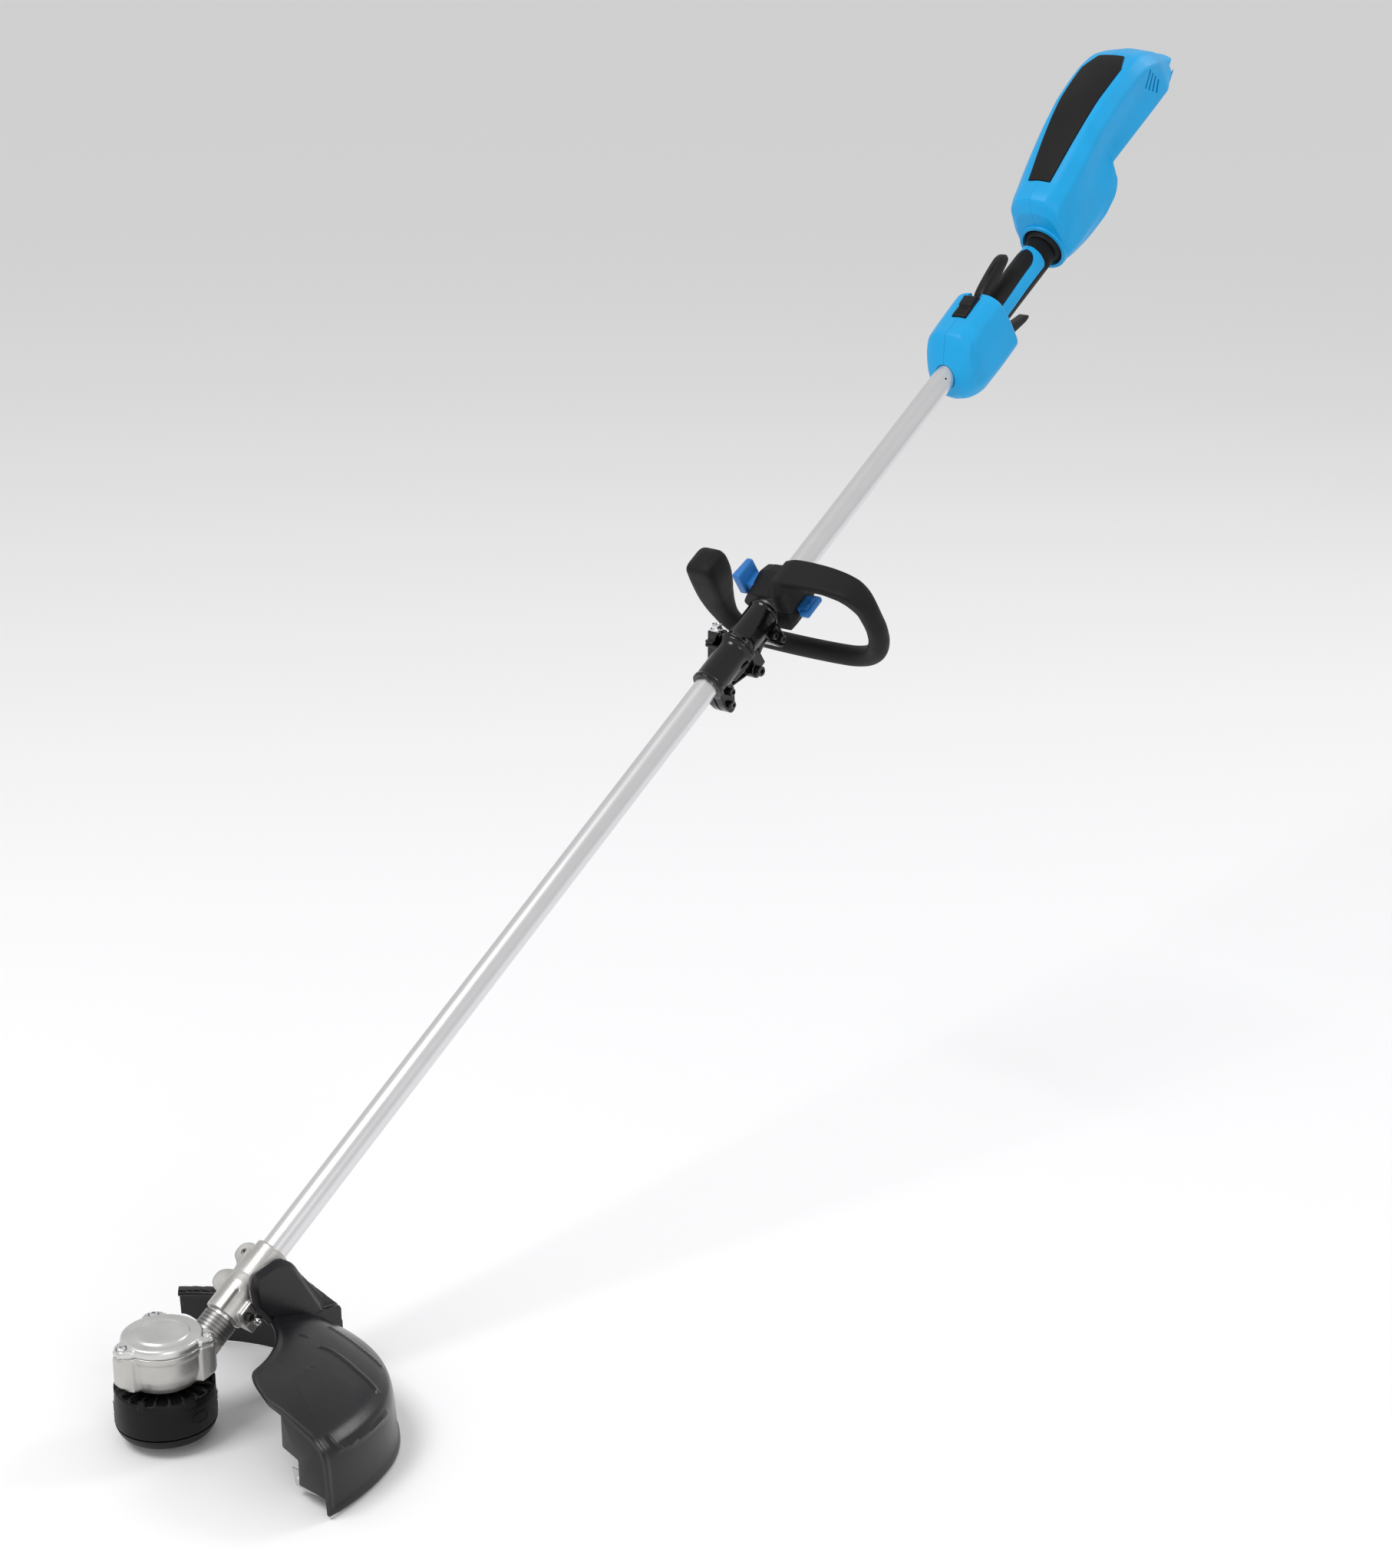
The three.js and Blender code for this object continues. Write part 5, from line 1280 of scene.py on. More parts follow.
    def _knob(self) -> None:
        """Bump knob with a dished face and grip flutes."""
        r, z0 = self.knob_radius, self.knob_bottom
        profile = [(0, z0 + 1.2), (7, z0 + 0.6), (11, z0), (r - 5.5, z0), (r - 2.4, z0 + 1.2),
            (r - 0.6, z0 + 3.2), (r, z0 + 5.4),
                   (r, -32.8), (9.7, -32.8), (9.7, -29.5), (0, -29.5)]
        knob = Bench.turned("bump_knob_moulding", profile, "Z", 96)
        for i in range(12):
            a = 30 * i
            flute = Bench.bar("flute", 1.6, polar(r + 0.5, a, z0 - 2), polar(r + 0.9, a, -36.5), 14)
            Bench.cut(knob, flute)
        self.deliver(knob, ("bump_knob",), Body.SPOOL, "plastic_black", BLACK_MOULDING, Drawing.HEAD, 30)

    def build(self) -> None:
        """Makes the whole head."""
        self._housing()
        self._cover()
        self._eyelets()
        self._knob()


@dataclass
class GuardBracket(Assembly):
    """Cast sleeve that clamps on the tube and carries the guard, with its two screws."""

    start: float = 83.0
    length: float = 74.0
    radius: float = 16.4
    collar_radius: float = 18.4
    collar_length: float = 36.0
    bore: float = 13.0

    def _casting(self) -> None:
        """Sleeve, clamp collar, screw pad and the lobed flange behind."""
        a, b = self.start, self.start + self.length
        r, cr = self.radius, self.collar_radius
        sleeve = Bench.turned("guard_bracket_casting",
            [(11, a), (r, a), (r, b - 1.2), (r - 1.0, b), (11, b)], "X", 80)
        c = a + self.collar_length
        collar = Bench.turned(
            "collar", [(11, a), (cr - 0.6, a), (cr, a + 0.8), (cr, c - 5), (r + 0.4, c + 3), (11, c + 3)],
            "X", 80
        )
        flange_plan = filleted(
            [(a + 20, 4), (b - 1, 4), (b - 1, 24), (b + 0.5, 34), (b - 5, 43.5), (b - 17, 43.5), (b - 23, 33),
             (a + 44.5, 28), (a + 43, 36), (a + 38, 45.5), (a + 26, 45.5), (a + 19.5, 35), (a + 20, 20)],
            [1, 1, 4, 6, 7, 7, 5, 6, 4, 7, 7, 5, 4], 5,
        )
        flange = Bench.slab("flange", [(x, y, -9) for x, y in flange_plan], (0, 0, 5))
        pad = Bench.plate(
            "pad", filleted([(a + 3, -21), (a + 26, -21), (a + 27, -4), (a + 22, 5), (a + 6, 5),
            (a + 2.5, -4)], 2.4, 4), -22.8, -6
        )
        rib = Bench.plate("rib", [(a + 30, 10), (a + 62, 13.5), (a + 68, 0), (a + 30, 0)], 6, 15.2)
        Bench.fuse(sleeve, collar, flange, pad, rib)
        slit = Bench.brick("slit", (a - 2, -32, -9.6), (a + self.collar_length, -8, -7.9))
        gap = Bench.brick("gap", (a - 2, -11, 11.5), (a + 24, -8.5, 30))
        Bench.cut(sleeve, slit, gap)
        Bench.soften(sleeve, 0.75, 2)
        for x, z in ((a + 10, -2.0), (a + 14, -15.0)):
            Bench.cut(sleeve, Bench.bar("screw_hole", 2.5, (x, -30, z), (x, -8, z), 20))
            Bench.cut(sleeve, Bench.bar("spot_face", 4.9, (x, -30, z), (x, -22.4, z), 28))
        hole = Bench.bar("flange_hole", 3.2, (b - 11, 34, -12), (b - 11, 34, -1), 24)
        bore = Bench.bar("bore", self.bore, (a - 3, 0, 0), (b + 3, 0, 0), 64)
        Bench.cut(sleeve, hole, bore)
        self.deliver(sleeve, ("guard_bracket",), Body.LOWER, "casting", CAST_ALLOY, smooth=40)

    def build(self) -> None:
        """Makes the bracket and its screws."""
        self._casting()
        a = self.start
        clamp = Fastener(4.2, 5.2, 8.0, 2.2, Drive.SOCKET).make("bracket_clamp_screw_black")
        Fastener.aim(clamp, (a + 10, -23.3, -2), (0, -1, 0))
        self.deliver(clamp, ("bracket_clamp_screw",), Body.LOWER, "black_steel", BLACK_OXIDE)
        guard = Fastener(4.4, 3.6, 10.0, 2.2, Drive.CROSS).make("guard_screw_plated")
        Fastener.aim(guard, (a + 14, -23.3, -15), (0, -1, 0), 20)
        self.deliver(guard, ("guard_screw",), Body.LOWER, "zinc", BRIGHT_ZINC)


@dataclass
class Guard(Assembly):
    """Line guard: a thin moulded shell with a beaded rim, its mount, and the line cutter."""

    near_radius: float = 212.0
    far_radius: float = 171.0
    start: float = -89.0
    end: float = 47.0
    skirt: float = -40.0
    wall: float = 2.8
    along: int = 250
    across: int = 74
    bracket_start: float = 83.0
    bracket_end: float = 157.0

    def rim_radius(self, angle: float) -> float:
        """Radius of the guard's outer rim at an angle round the head."""
        return blend(self.far_radius, self.near_radius, ease(-angle, 0, 66))

    def control_line(self, angle: float) -> list[Flat]:
        """Section of the shell at an angle, as (radius, height) points from inner edge to rim."""
        outer = self.rim_radius(angle)
        far = ease(angle, -25, 10)
        near = max(0.0, min(1.0, (-angle - 73) / 16)) ** 3
        shoulder = 21 - 4 * far
        inner_r = blend(100 + 42 * near, outer - 20, far)
        inner_z = blend(46, shoulder + 1, far) - 6 * near
        rim = self.skirt + 28 * ease(angle, 33, 47)
        middle = (inner_r + outer) / 2
        crown = (inner_z + shoulder) / 2 + 4 * (1 - far) - 4 * near
        return [
            (inner_r, inner_z),
            (blend(inner_r, middle, 0.5), blend(inner_z, crown, 0.5) + 1.0 * (1 - far)),
            (middle, crown),
            (outer - 18, shoulder + 3.5 * (1 - far)),
            (outer - 11, shoulder - 1.2),
            (outer - 6, shoulder - 6),
            (outer - 3.2, shoulder - 15),
            (outer - 1, blend(shoulder - 15, rim, 0.5)),
            (outer + 0.6, rim),
        ]

    def section(self, angle: float) -> list[Flat]:
        """The same section, smoothed and evenly divided."""
        line = self.control_line(angle)
        lengths = [0.0]
        for (r0, z0), (r1, z1) in zip(line, line[1:]):
            lengths.append(lengths[-1] + math.hypot(r1 - r0, z1 - z0))
        rs, zs = [p[0] for p in line], [p[1] for p in line]
        return [(monotone(lengths, rs, s), monotone(lengths, zs, s))
            for s in spaced(0, lengths[-1], self.across)]

    @staticmethod
    def _stroke_gap(angle: float, share: float, stroke: list[Flat]) -> float:
        """Distance in millimetres from a point of the shell to a drawn stroke of (angle, share)."""
        best = 1e9
        for (a0, s0), (a1, s1) in zip(stroke, stroke[1:]):
            ax, ay = (angle - a0) * 3.0, (share - s0) * 150
            bx, by = (a1 - a0) * 3.0, (s1 - s0) * 150
            t = max(0.0, min(1.0, (ax * bx + ay * by) / (bx * bx + by * by)))
            best = min(best, math.hypot(ax - t * bx, ay - t * by))
        return best

    def _relief(self, angle: float, share: float) -> float:
        """How far the shell's outer face stands proud, in millimetres."""
        proud = 0.0
        strokes = (
            # Upper rib that runs down to the rim, lower hooked rib, and the fine crease between.
            ([(-46.0, 0.25), (-47.0, 0.30), (-55.0, 0.46), (-60.0, 0.60)], 1.7, 1.5),
            ([(-28.0, 0.36), (-40.0, 0.50), (-46.0, 0.60)], 1.5, 1.2),
            ([(-84.5, 0.56), (-84.0, 0.66), (-79.0, 0.70), (-62.0, 0.72)], 1.5, 1.4),
            ([(-58.0, 0.24), (-68.0, 0.20), (-75.0, 0.26), (-83.0, 0.44)], 0.8, 0.5),
        )
        for stroke, width, height in strokes:
            gap = self._stroke_gap(angle, share, stroke)
            proud += height * (1 - ease(gap, width * 0.4, width * 1.5))
        stud = 1 - ease(self._stroke_gap(angle, share, [(-38.0, 0.16), (-38.6, 0.17)]), 1.6, 2.6)
        proud += 0.9 * stud
        bead = 1.4 * ease(share, 0.955, 0.972)
        bead = max(bead, 1.2 * (1 - ease(angle - self.start, 0.9, 1.7)))
        bead = max(bead, 1.1 * (1 - ease(share, 0.014, 0.03)))
        bead = max(bead, 1.1 * (1 - ease(self.end - angle, 0.8, 1.7)))
        return proud + bead

    def _shell(self) -> bpy.types.Object:
        """The curved shell, one closed ring of outer and inner wall per angle."""
        rings = []
        for angle in spaced(self.start, self.end, self.along):
            line = self.section(angle)
            outside, inside = [], []
            for k, (r, z) in enumerate(line):
                before, after = line[max(0, k - 1)], line[min(len(line) - 1, k + 1)]
                run = Vector((after[0] - before[0], after[1] - before[1])).normalized()
                proud = self._relief(angle, k / (self.across - 1))
                outside.append((r - run.y * proud, z + run.x * proud))
                if k % 2 == 0 or k == len(line) - 1:
                    inside.append((r + run.y * self.wall, z - run.x * self.wall))
            rim_out, rim_in = outside[-1], inside[-1]
            lip = [
                (blend(rim_out[0], rim_in[0], 0.15), rim_out[1] - 0.7),
                (blend(rim_out[0], rim_in[0], 0.5), rim_out[1] - 1.1),
                (blend(rim_out[0], rim_in[0], 0.85), rim_out[1] - 0.7),
            ]
            first_out, first_in = outside[0], inside[0]
            brim = [
                (first_in[0] - 0.7, blend(first_in[1], first_out[1], 0.15)),
                (first_in[0] - 1.1, blend(first_in[1], first_out[1], 0.5)),
                (first_in[0] - 0.7, blend(first_in[1], first_out[1], 0.85)),
            ]
            ring = outside + lip + inside[::-1] + brim
            rings.append([polar(r, angle, z) for r, z in ring])
        return Bench.loft("guard_shell_moulding", rings)

    def _mount(self) -> bpy.types.Object:
        """Box and cheek beside the bracket, the sloping spine behind, and the foot with its ledge."""
        a, b = self.bracket_start, self.bracket_end
        box = Bench.plate(
            "guard_mount",
            filleted([(a + 36, -22), (b - 3, -22), (b - 2, -60), (a + 40, -60), (a + 30, -34)], 4, 4), -29,
            22,
        )
        cheek = Bench.loft(
            "cheek",
            [
                [(x, y, z) for x, z in filleted(plan, [4, 7, 7, 6, 7, 3, 3, 3], 6)]
                for y, plan in (
                    (-20.5, [(a + 20, 2), (a + 30, 20), (a + 37, 25), (b - 13, 15), (b - 5, -1), (b - 9, -67),
                             (a + 48, -80), (a + 20, -40)]),
                    (-28.0, [(a + 17, 2), (a + 28, 23), (a + 37, 29), (b - 9, 18), (b - 2, -1), (b - 8, -67),
                             (a + 48, -82), (a + 18, -41)]),
                    (-28.8, [(a + 17, 2), (a + 28, 23), (a + 37, 29), (b - 9, 18), (b - 2, -1), (b - 8, -67),
                             (a + 48, -82), (a + 18, -41)]),
                    (-32.0, [(a + 22, 1), (a + 31, 18), (a + 38, 23), (b - 14, 13), (b - 7, -2),
                    (b - 12, -66),
                             (a + 48, -82), (a + 22, -42)]),
                )
            ],
        )
        spine = Bench.plate(
            "spine",
            filleted([(a + 40, -20), (b - 3, -6), (b - 2, -31), (b + 6, -85), (b - 9, -104), (a + 50, -86)],
            3, 4),
            -27, -10,
        )
        foot = Bench.plate(
            "foot",
            filleted([(b - 11, -65), (b + 5, -80), (b - 6, -99), (b - 21, -114), (a + 42, -84),
            (a + 48, -58)], 2.5, 4),
            -33, -10,
        )
        Bench.fuse(box, cheek, spine, foot)
        box.matrix_world = FRAMES[Drawing.HEAD].inverted() @ FRAMES[Drawing.SHAFT]
        Bench.apply_place(box)
        f = self.far_radius
        hollow = Bench.turned(
            "hollow", [(0, -60), (f - 8, -60), (f - 8, 12), (f - 16, 16), (104, 38), (84, 26), (0, 26)],
            "Z", 120
        )
        Bench.cut(box, hollow)
        clearance = Bench.bar("clearance", 19.9, along_shaft(40, 0, 0), along_shaft(b + 60, 0, 0), 64)
        Bench.cut(box, clearance)
        return box

    def _end_wall(self) -> bpy.types.Object:
        """Wall across the near end, where the cutter sits."""
        n = self.near_radius
        plan = [(153, 2), (172, -4), (172, -28), (n - 3, -30), (n - 5, 6), (n - 15, 17), (172, 30),
            (158, 34), (153, 33)]
        wall = Bench.slab("end_wall", [(r, 0.0, z) for r, z in filleted(plan, 1.2, 3)], (0, -3, 0))
        wall.rotation_euler = (0, 0, math.radians(self.start + 2))
        Bench.apply_place(wall)
        return wall

    def build(self) -> None:
        """Makes the shell with its mount, then the cutter and its screws."""
        shell = self._shell()
        mount = self._mount()
        Bench.soften(mount, 1.0, 2)
        wall = self._end_wall()
        Bench.bevel(wall, 0.5, 2)
        Bench.take(shell)
        mount.select_set(True)
        wall.select_set(True)
        bpy.ops.object.join()
        self.deliver(shell, ("guard_shell",), Body.LOWER, "guard_black", GUARD_MOULDING, Drawing.HEAD, 50)
        turn = math.radians(self.start + 2)
        blade_plan = [(158, -18), (162, -34), (176, -35.2), (192, -34), (192, -18)]
        blade = Bench.slab("line_cutter_ground", [(r, 2.1, z) for r, z in blade_plan], (0, 1.5, 0))
        Bench.bevel(blade, 0.4, 1, 60)
        blade.rotation_euler = (0, 0, turn)
        Bench.apply_place(blade)
        self.deliver(blade, ("line_cutter_blade",), Body.LOWER, "black_steel", GROUND_STEEL, Drawing.HEAD)
        first = Fastener(3.4, 2.2, 4.0, 1.8, Drive.CROSS).make("cutter_screw")
        for i, radius in enumerate((168, 184)):
            screw = Bench.copy(first, f"cutter_screw_plated_{i + 1}")
            Fastener.aim(screw, (radius, 3.9, -24), (0, 1, 0), 30 * i)
            screw.rotation_euler = (0, 0, turn)
            Bench.apply_place(screw)
            self.deliver(screw, (f"cutter_screw_{i + 1}",), Body.LOWER, "zinc", BRIGHT_ZINC, Drawing.HEAD)
        bpy.data.objects.remove(first)


@dataclass
class Coupler(Assembly):
    """Folding joint of the shaft: two enamelled castings, hinge pin, bolt and four screws."""

    hinge_at: float = 935.0
    hinge_drop: float = 29.0
    length: float = 110.0
    radius: float = 17.0
    bore: float = 13.0
    ear_drop: float = 42.0
    ear_half: float = 11.0
    knuckle: float = 8.0
    lug_y: float = 25.0
    lug_z: float = 3.0
    lug_tilt: float = 55.0
    clamp_screws: tuple[Flat, ...] = ((14.0, -19.0), (7.0, -31.0))

    def lug(self, distance: float, out: float = 0.0) -> Spot:
        """A point on the bolt's line, a distance from the joint's plane."""
        a = math.radians(self.lug_tilt)
        return (
            self.hinge_at + distance * math.cos(a) + out * math.sin(a),
            self.lug_y,
            self.lug_z + distance * math.sin(a) - out * math.cos(a),
        )

    def _lug_block(self, near: float, far: float, reach: float, half: float) -> bpy.types.Object:
        """A chamfered block round the bolt, from near to far along its line."""
        a = math.radians(self.lug_tilt)
        along = Vector((math.cos(a), 0, math.sin(a)))
        across = Vector((math.sin(a), 0, -math.cos(a)))
        side = Vector((0, 1, 0))
        plan = filleted([(-half, -reach), (half, -reach), (half, reach * 0.8), (-half, reach * 0.8)], 3.2, 4)
        start = Vector(self.lug(near))
        spots = [tuple(start + across * u + side * v) for u, v in plan]
        return Bench.slab("lug_block", spots, tuple(along * (far - near)))

    def _half(self, side: int) -> None:
        """One casting of the joint.

        Args:
            side: -1 for the lower casting, 1 for the upper one.
        """
        h, drop, r = self.hinge_at, self.hinge_drop, self.radius
        face = h + side * 0.2
        mouth = h + side * self.length / 2
        name = "coupler_lower_casting" if side < 0 else "coupler_upper_casting"
        profile = [(11, face), (r + 4, face), (r + 4.2, face + side * 1.6), (r + 3.4, face + side * 3.4),
                   (r + 1.2, face + side * 4.6), (r + 0.2, face + side * 8), (r, face + side * 12),
                   (r, mouth - side * 5), (r + 0.8, mouth - side * 4), (r + 0.8, mouth - side * 0.8),
                   (r + 0.2, mouth), (11, mouth)]
        body = Bench.turned(name, profile, "X", 72)
        outer, inner = mouth - side * 2, mouth - side * 22
        d = self.ear_drop
        ear = Bench.plate(
            "ear",
            filleted([(outer, -8), (outer + side * 2.6, -d + 12), (outer - side * 1, -d + 1),
            (outer - side * 8, -d), (inner, -22), (inner, -8)],
                     [1, 5, 5, 4, 3, 1], 5),
            -self.ear_half, self.ear_half,
        )
        web_low = -drop - 1.8
        web = Bench.plate(
            "web", [(inner + side, -12), (inner + side, -22), (h + side * 9, web_low), (face, web_low),
            (face, -12)], -3.2, 3.2
        )
        edge = Bench.plate(
            "edge", [(inner + side, -20), (inner + side, -23), (h + side * 9, web_low - 0.4),
            (h + side * 9, web_low + 3)], -5.4, 5.4
        )
        Bench.fuse(body, ear, web, edge)
        # Ribs that run from the flange along the sleeve to the ear.
        for y in (-1, 1):
            rib = Bench.plate("rib", [(face, -19), (face + side * 30, -15), (face + side * 30, -8),
                (face, -8)],
                              *sorted((y * 9.0, y * 13.2)))
            Bench.fuse(body, rib)
        # Bolt lug, its bridge to the flange and the step across it.
        far = side * (20 if side < 0 else 13)
        lugs = [self._lug_block(side * 0.2, side * 3.4, 10.4, 10.6),
            self._lug_block(side * 0.2, far, 8.6, 8.4)]
        bridge = Bench.brick("bridge", (min(face, face + side * 9), 8, -6),
            (max(face, face + side * 9), self.lug_y, 11))
        over = Bench.brick("over", (h - 70 if side > 0 else h, -60, -60), (h if side > 0 else h + 70, 22, 60))
        for item in (*lugs, bridge):
            Bench.fuse(body, item)
        a = math.radians(self.lug_tilt)
        wedge = Bench.brick("wedge", (-60, 0, -60 if side > 0 else 0), (60, 60, 0 if side > 0 else 60))
        wedge.matrix_world = Matrix.Translation((h, 8, self.lug_z)) @ Matrix.Rotation(math.pi / 2 - a, 4, "Y")
        wedge.location += Vector((math.cos(a), 0, math.sin(a))) * side * 0.2
        Bench.apply_place(wedge)
        limit = Bench.brick("limit", (h - 45, 8, -30), (h + 45, 60, 60))
        Bench.modify(wedge, "BOOLEAN", operation="INTERSECT", object=limit, solver="EXACT")
        bpy.data.objects.remove(limit)
        Bench.cut(body, wedge)
        sheath = Bench.bar("sheath", 24, (h - 80, 0, 0), (h + 80, 0, 0), 48)
        Bench.modify(over, "BOOLEAN", operation="INTERSECT", object=sheath, solver="EXACT")
        bpy.data.objects.remove(sheath)
        Bench.cut(body, over)
        if side < 0:
            Bench.fuse(body, Bench.bar("knuckle", self.knuckle, (h, -6, -drop), (h, 6, -drop), 48))
        else:
            cheeks = Bench.bar("cheeks", self.knuckle, (h, -15, -drop), (h, 15, -drop), 48)
            carrier = Bench.brick("carrier", (h + 0.2, -15, -drop - 1.8), (h + 14, 15, -10))
            Bench.fuse(body, cheeks, carrier)
        Bench.soften(body, 0.8, 2)
        if side < 0:
            for low, high in ((-15.5, -6.3), (6.3, 15.5)):
                Bench.cut(body, Bench.bar("clear", self.knuckle + 0.6, (h, low, -drop), (h, high, -drop), 48))
        else:
            Bench.cut(body, Bench.bar("clear", self.knuckle + 0.6, (h, -6.3, -drop), (h, 6.3, -drop), 48))
        Bench.cut(body, Bench.bar("bore", self.bore, (h - 80, 0, 0), (h + 80, 0, 0), 64))
        Bench.cut(body, Bench.bar("pin_bore", 3.3, (h, -40, -drop), (h, 40, -drop), 32))
        Bench.cut(body, Bench.bar("bolt_bore", 3.3, self.lug(-40), self.lug(40), 32))
        slot_x = sorted((inner - side * 2, mouth + side * 5))
        Bench.cut(body, Bench.brick("slot", (slot_x[0], -1.1, -d - 4), (slot_x[1], 1.1, -9)))
        for dx, z in self.clamp_screws:
            x = mouth - side * dx
            Bench.cut(body, Bench.bar("screw_hole", 2.5, (x, -20, z), (x, 20, z), 24))
        node = "coupler_lower" if side < 0 else "coupler_upper"
        self.deliver(body, (node,), Body.LOWER if side < 0 else Body.REAR, "coupler_black", BLACK_ENAMEL,
            smooth=42)

    def _hardware(self) -> None:
        """Hinge pin, clamp bolt and clamp screws."""
        h, drop = self.hinge_at, self.hinge_drop
        pin = Fastener(5.4, 5.8, 34.0, 3.0, Drive.SOCKET).make("hinge_pin_black")
        Fastener.aim(pin, (h, -15.3, -drop), (0, -1, 0))
        nut = Bench.slab("nut", [(h + 5 * math.cos(k * math.pi / 3), 15.3,
            -drop + 5 * math.sin(k * math.pi / 3)) for k in range(6)], (0, 4.6, 0))
        Bench.bevel(nut, 0.4, 2)
        Bench.take(pin)
        nut.select_set(True)
        bpy.ops.object.join()
        self.deliver(pin, ("hinge_pin",), Body.REAR, "black_steel", BLACK_OXIDE)
        bolt = Fastener(5.7, 7.0, 12.0, 3.0, Drive.HEX, 1.8).make("clamp_bolt_plated")
        a = math.radians(self.lug_tilt)
        Fastener.aim(bolt, self.lug(13.3), (math.cos(a), 0, math.sin(a)), 12)
        self.deliver(bolt, ("clamp_bolt",), Body.REAR, "zinc", BRIGHT_ZINC)
        first = Fastener(4.0, 5.0, 20.0, 2.2, Drive.SOCKET).make("clamp_screw")
        number = 1
        for side in (-1, 1):
            mouth = h + side * self.length / 2
            for dx, z in self.clamp_screws:
                screw = Bench.copy(first, f"clamp_screw_black_{number}")
                Fastener.aim(screw, (mouth - side * dx, -self.ear_half - 0.3, z), (0, -1, 0), 15 * number)
                body = Body.LOWER if side < 0 else Body.REAR
                self.deliver(screw, (f"clamp_screw_{number}",), body, "black_steel", BLACK_OXIDE)
                number += 1
        bpy.data.objects.remove(first)

    def build(self) -> None:
        """Makes both castings and their hardware."""
        self._half(-1)
        self._half(1)
        self._hardware()


@dataclass
class LoopHandle(Assembly):
    """Loop handle with its saddle, the clamp half below the tube and both release tabs."""

    start: float = 995.0
    length: float = 44.0
    half_width: float = 118.0
    depth: float = 80.0
    block_half: float = 27.0
    block_top: float = 33.0
    block_low: float = -30.0
    split: float = -4.0
    bore: float = 13.0

    def _band(self, name: str, rows: list[tuple[float, ...]], count: int) -> bpy.types.Object:
        """Sweeps a section that changes from a flat band to a round bar along a path across the shaft.

        Args:
            name: The piece's name.
            rows: y, z, half thickness, half breadth along the shaft and squareness at each knot.
            count: Rings along the path.

        Returns:
            The closed sweep.
        """
        knots = [0.0]
        for one, two in zip(rows, rows[1:]):
            knots.append(knots[-1] + math.hypot(two[0] - one[0], two[1] - one[1]))
        columns = [[row[k] for row in rows] for k in range(5)]
        path = [tuple(monotone(knots, column, t) for column in columns) for t in spaced(0, knots[-1], count)]
        middle = self.start + self.length / 2
        rings = []
        for i, (y, z, thick, broad, square) in enumerate(path):
            before, after = path[max(0, i - 1)], path[min(len(path) - 1, i + 1)]
            run = Vector((0, after[0] - before[0], after[1] - before[1])).normalized()
            out = Vector((0, run.z, -run.y))
            ring = []
            for k in range(44):
                angle = 2 * math.pi * (k + 0.5) / 44
                c, s = math.cos(angle), math.sin(angle)
                u = math.copysign(abs(c) ** (2 / square), c) * broad
                v = math.copysign(abs(s) ** (2 / square), s) * thick
                ring.append(tuple(Vector((middle + u, y, z)) + out * v))
            rings.append(ring)
        return Bench.loft(name, rings)

    def _loop(self) -> bpy.types.Object:
        """Broad wing on the left, round bar down and across, and a free upright on the right."""
        w, d, top = self.half_width, self.depth, self.block_top
        rows = [
            (-15, top - 3.5, 5.2, 17.5, 7.0),
            (-30, top + 1.0, 5.0, 17.8, 7.0),
            (-52, top + 2.2, 4.9, 17.2, 7.0),
            (-76, top + 1.2, 5.0, 16.2, 7.0),
            (-97, top - 3.5, 5.8, 15.2, 6.5),
            (-108, top - 9.5, 8.0, 14.2, 5.0),
            (-w + 3.5, top - 20, 10.4, 12.6, 3.2),
            (-w + 0.5, 0, 11.0, 11.3, 2.2),
            (-w, -20, 11.0, 11.0, 2.0),
            (-w + 3, -38, 11.0, 11.0, 2.0),
            (-w + 10, -54, 11.0, 11.0, 2.0),
            (-w + 21, -66.5, 11.0, 11.0, 2.0),
            (-w + 36, -74.5, 11.0, 11.0, 2.0),
            (-w + 58, -79, 11.0, 11.0, 2.0),
            (-w + 88, -d - 0.4, 11.0, 11.0, 2.0),
            (0, -d - 0.8, 11.0, 11.0, 2.0),
            (w - 88, -d - 0.4, 11.0, 11.0, 2.0),
            (w - 58, -79, 11.0, 11.0, 2.0),
            (w - 38, -74.5, 11.0, 11.0, 2.0),
            (w - 26, -65.0, 11.6, 11.2, 2.0),
            (w - 20, -52, 13.0, 12.4, 2.2),
            (w - 19, -38, 14.8, 14.0, 2.8),
            (w - 20.5, -22, 16.6, 15.8, 3.6),
            (w - 24.5, -4, 18.2, 17.2, 4.6),
            (w - 28, 12, 18.6, 18.0, 5.4),
            (w - 29.5, 24, 18.0, 18.0, 5.6),
            (w - 30, 30.0, 16.6, 17.0, 5.0),
            (w - 30, 33.4, 13.0, 14.0, 4.2),
            (w - 30, 34.6, 7.0, 8.4, 3.2),
        ]
        return self._band("loop_handle_moulding", rows, 150)

    def _cheek(self) -> bpy.types.Object:
        """Faceted cheek of the saddle, under the wing."""
        a, b = self.start, self.start + self.length
        top, half = self.block_top, self.block_half
        rows = (
            (-9.0, [(a, -3), (a, 16), (a + 8, top - 6), (b - 6, top - 6), (b, 20), (b, -3)]),
            (-half + 8, [(a - 1, -3), (a - 2, 20), (a + 3, top), (b - 3, top), (b + 2, 20), (b + 1, -3)]),
            (-half - 2, [(a + 1, -3.6), (a - 1.5, 24), (a + 3, top + 1), (b - 3, top + 1), (b + 2, 21),
            (b - 4, -3.6)]),
            (-half - 9, [(a + 14, 4), (a + 3, 27), (a + 4, top + 1), (b - 4, top + 1), (b, 24),
            (b - 10, 10)]),
        )
        rings = [[(x, y, z) for x, z in filleted(plan, 1.4, 3)] for y, plan in rows]
        return Bench.loft("cheek", rings)

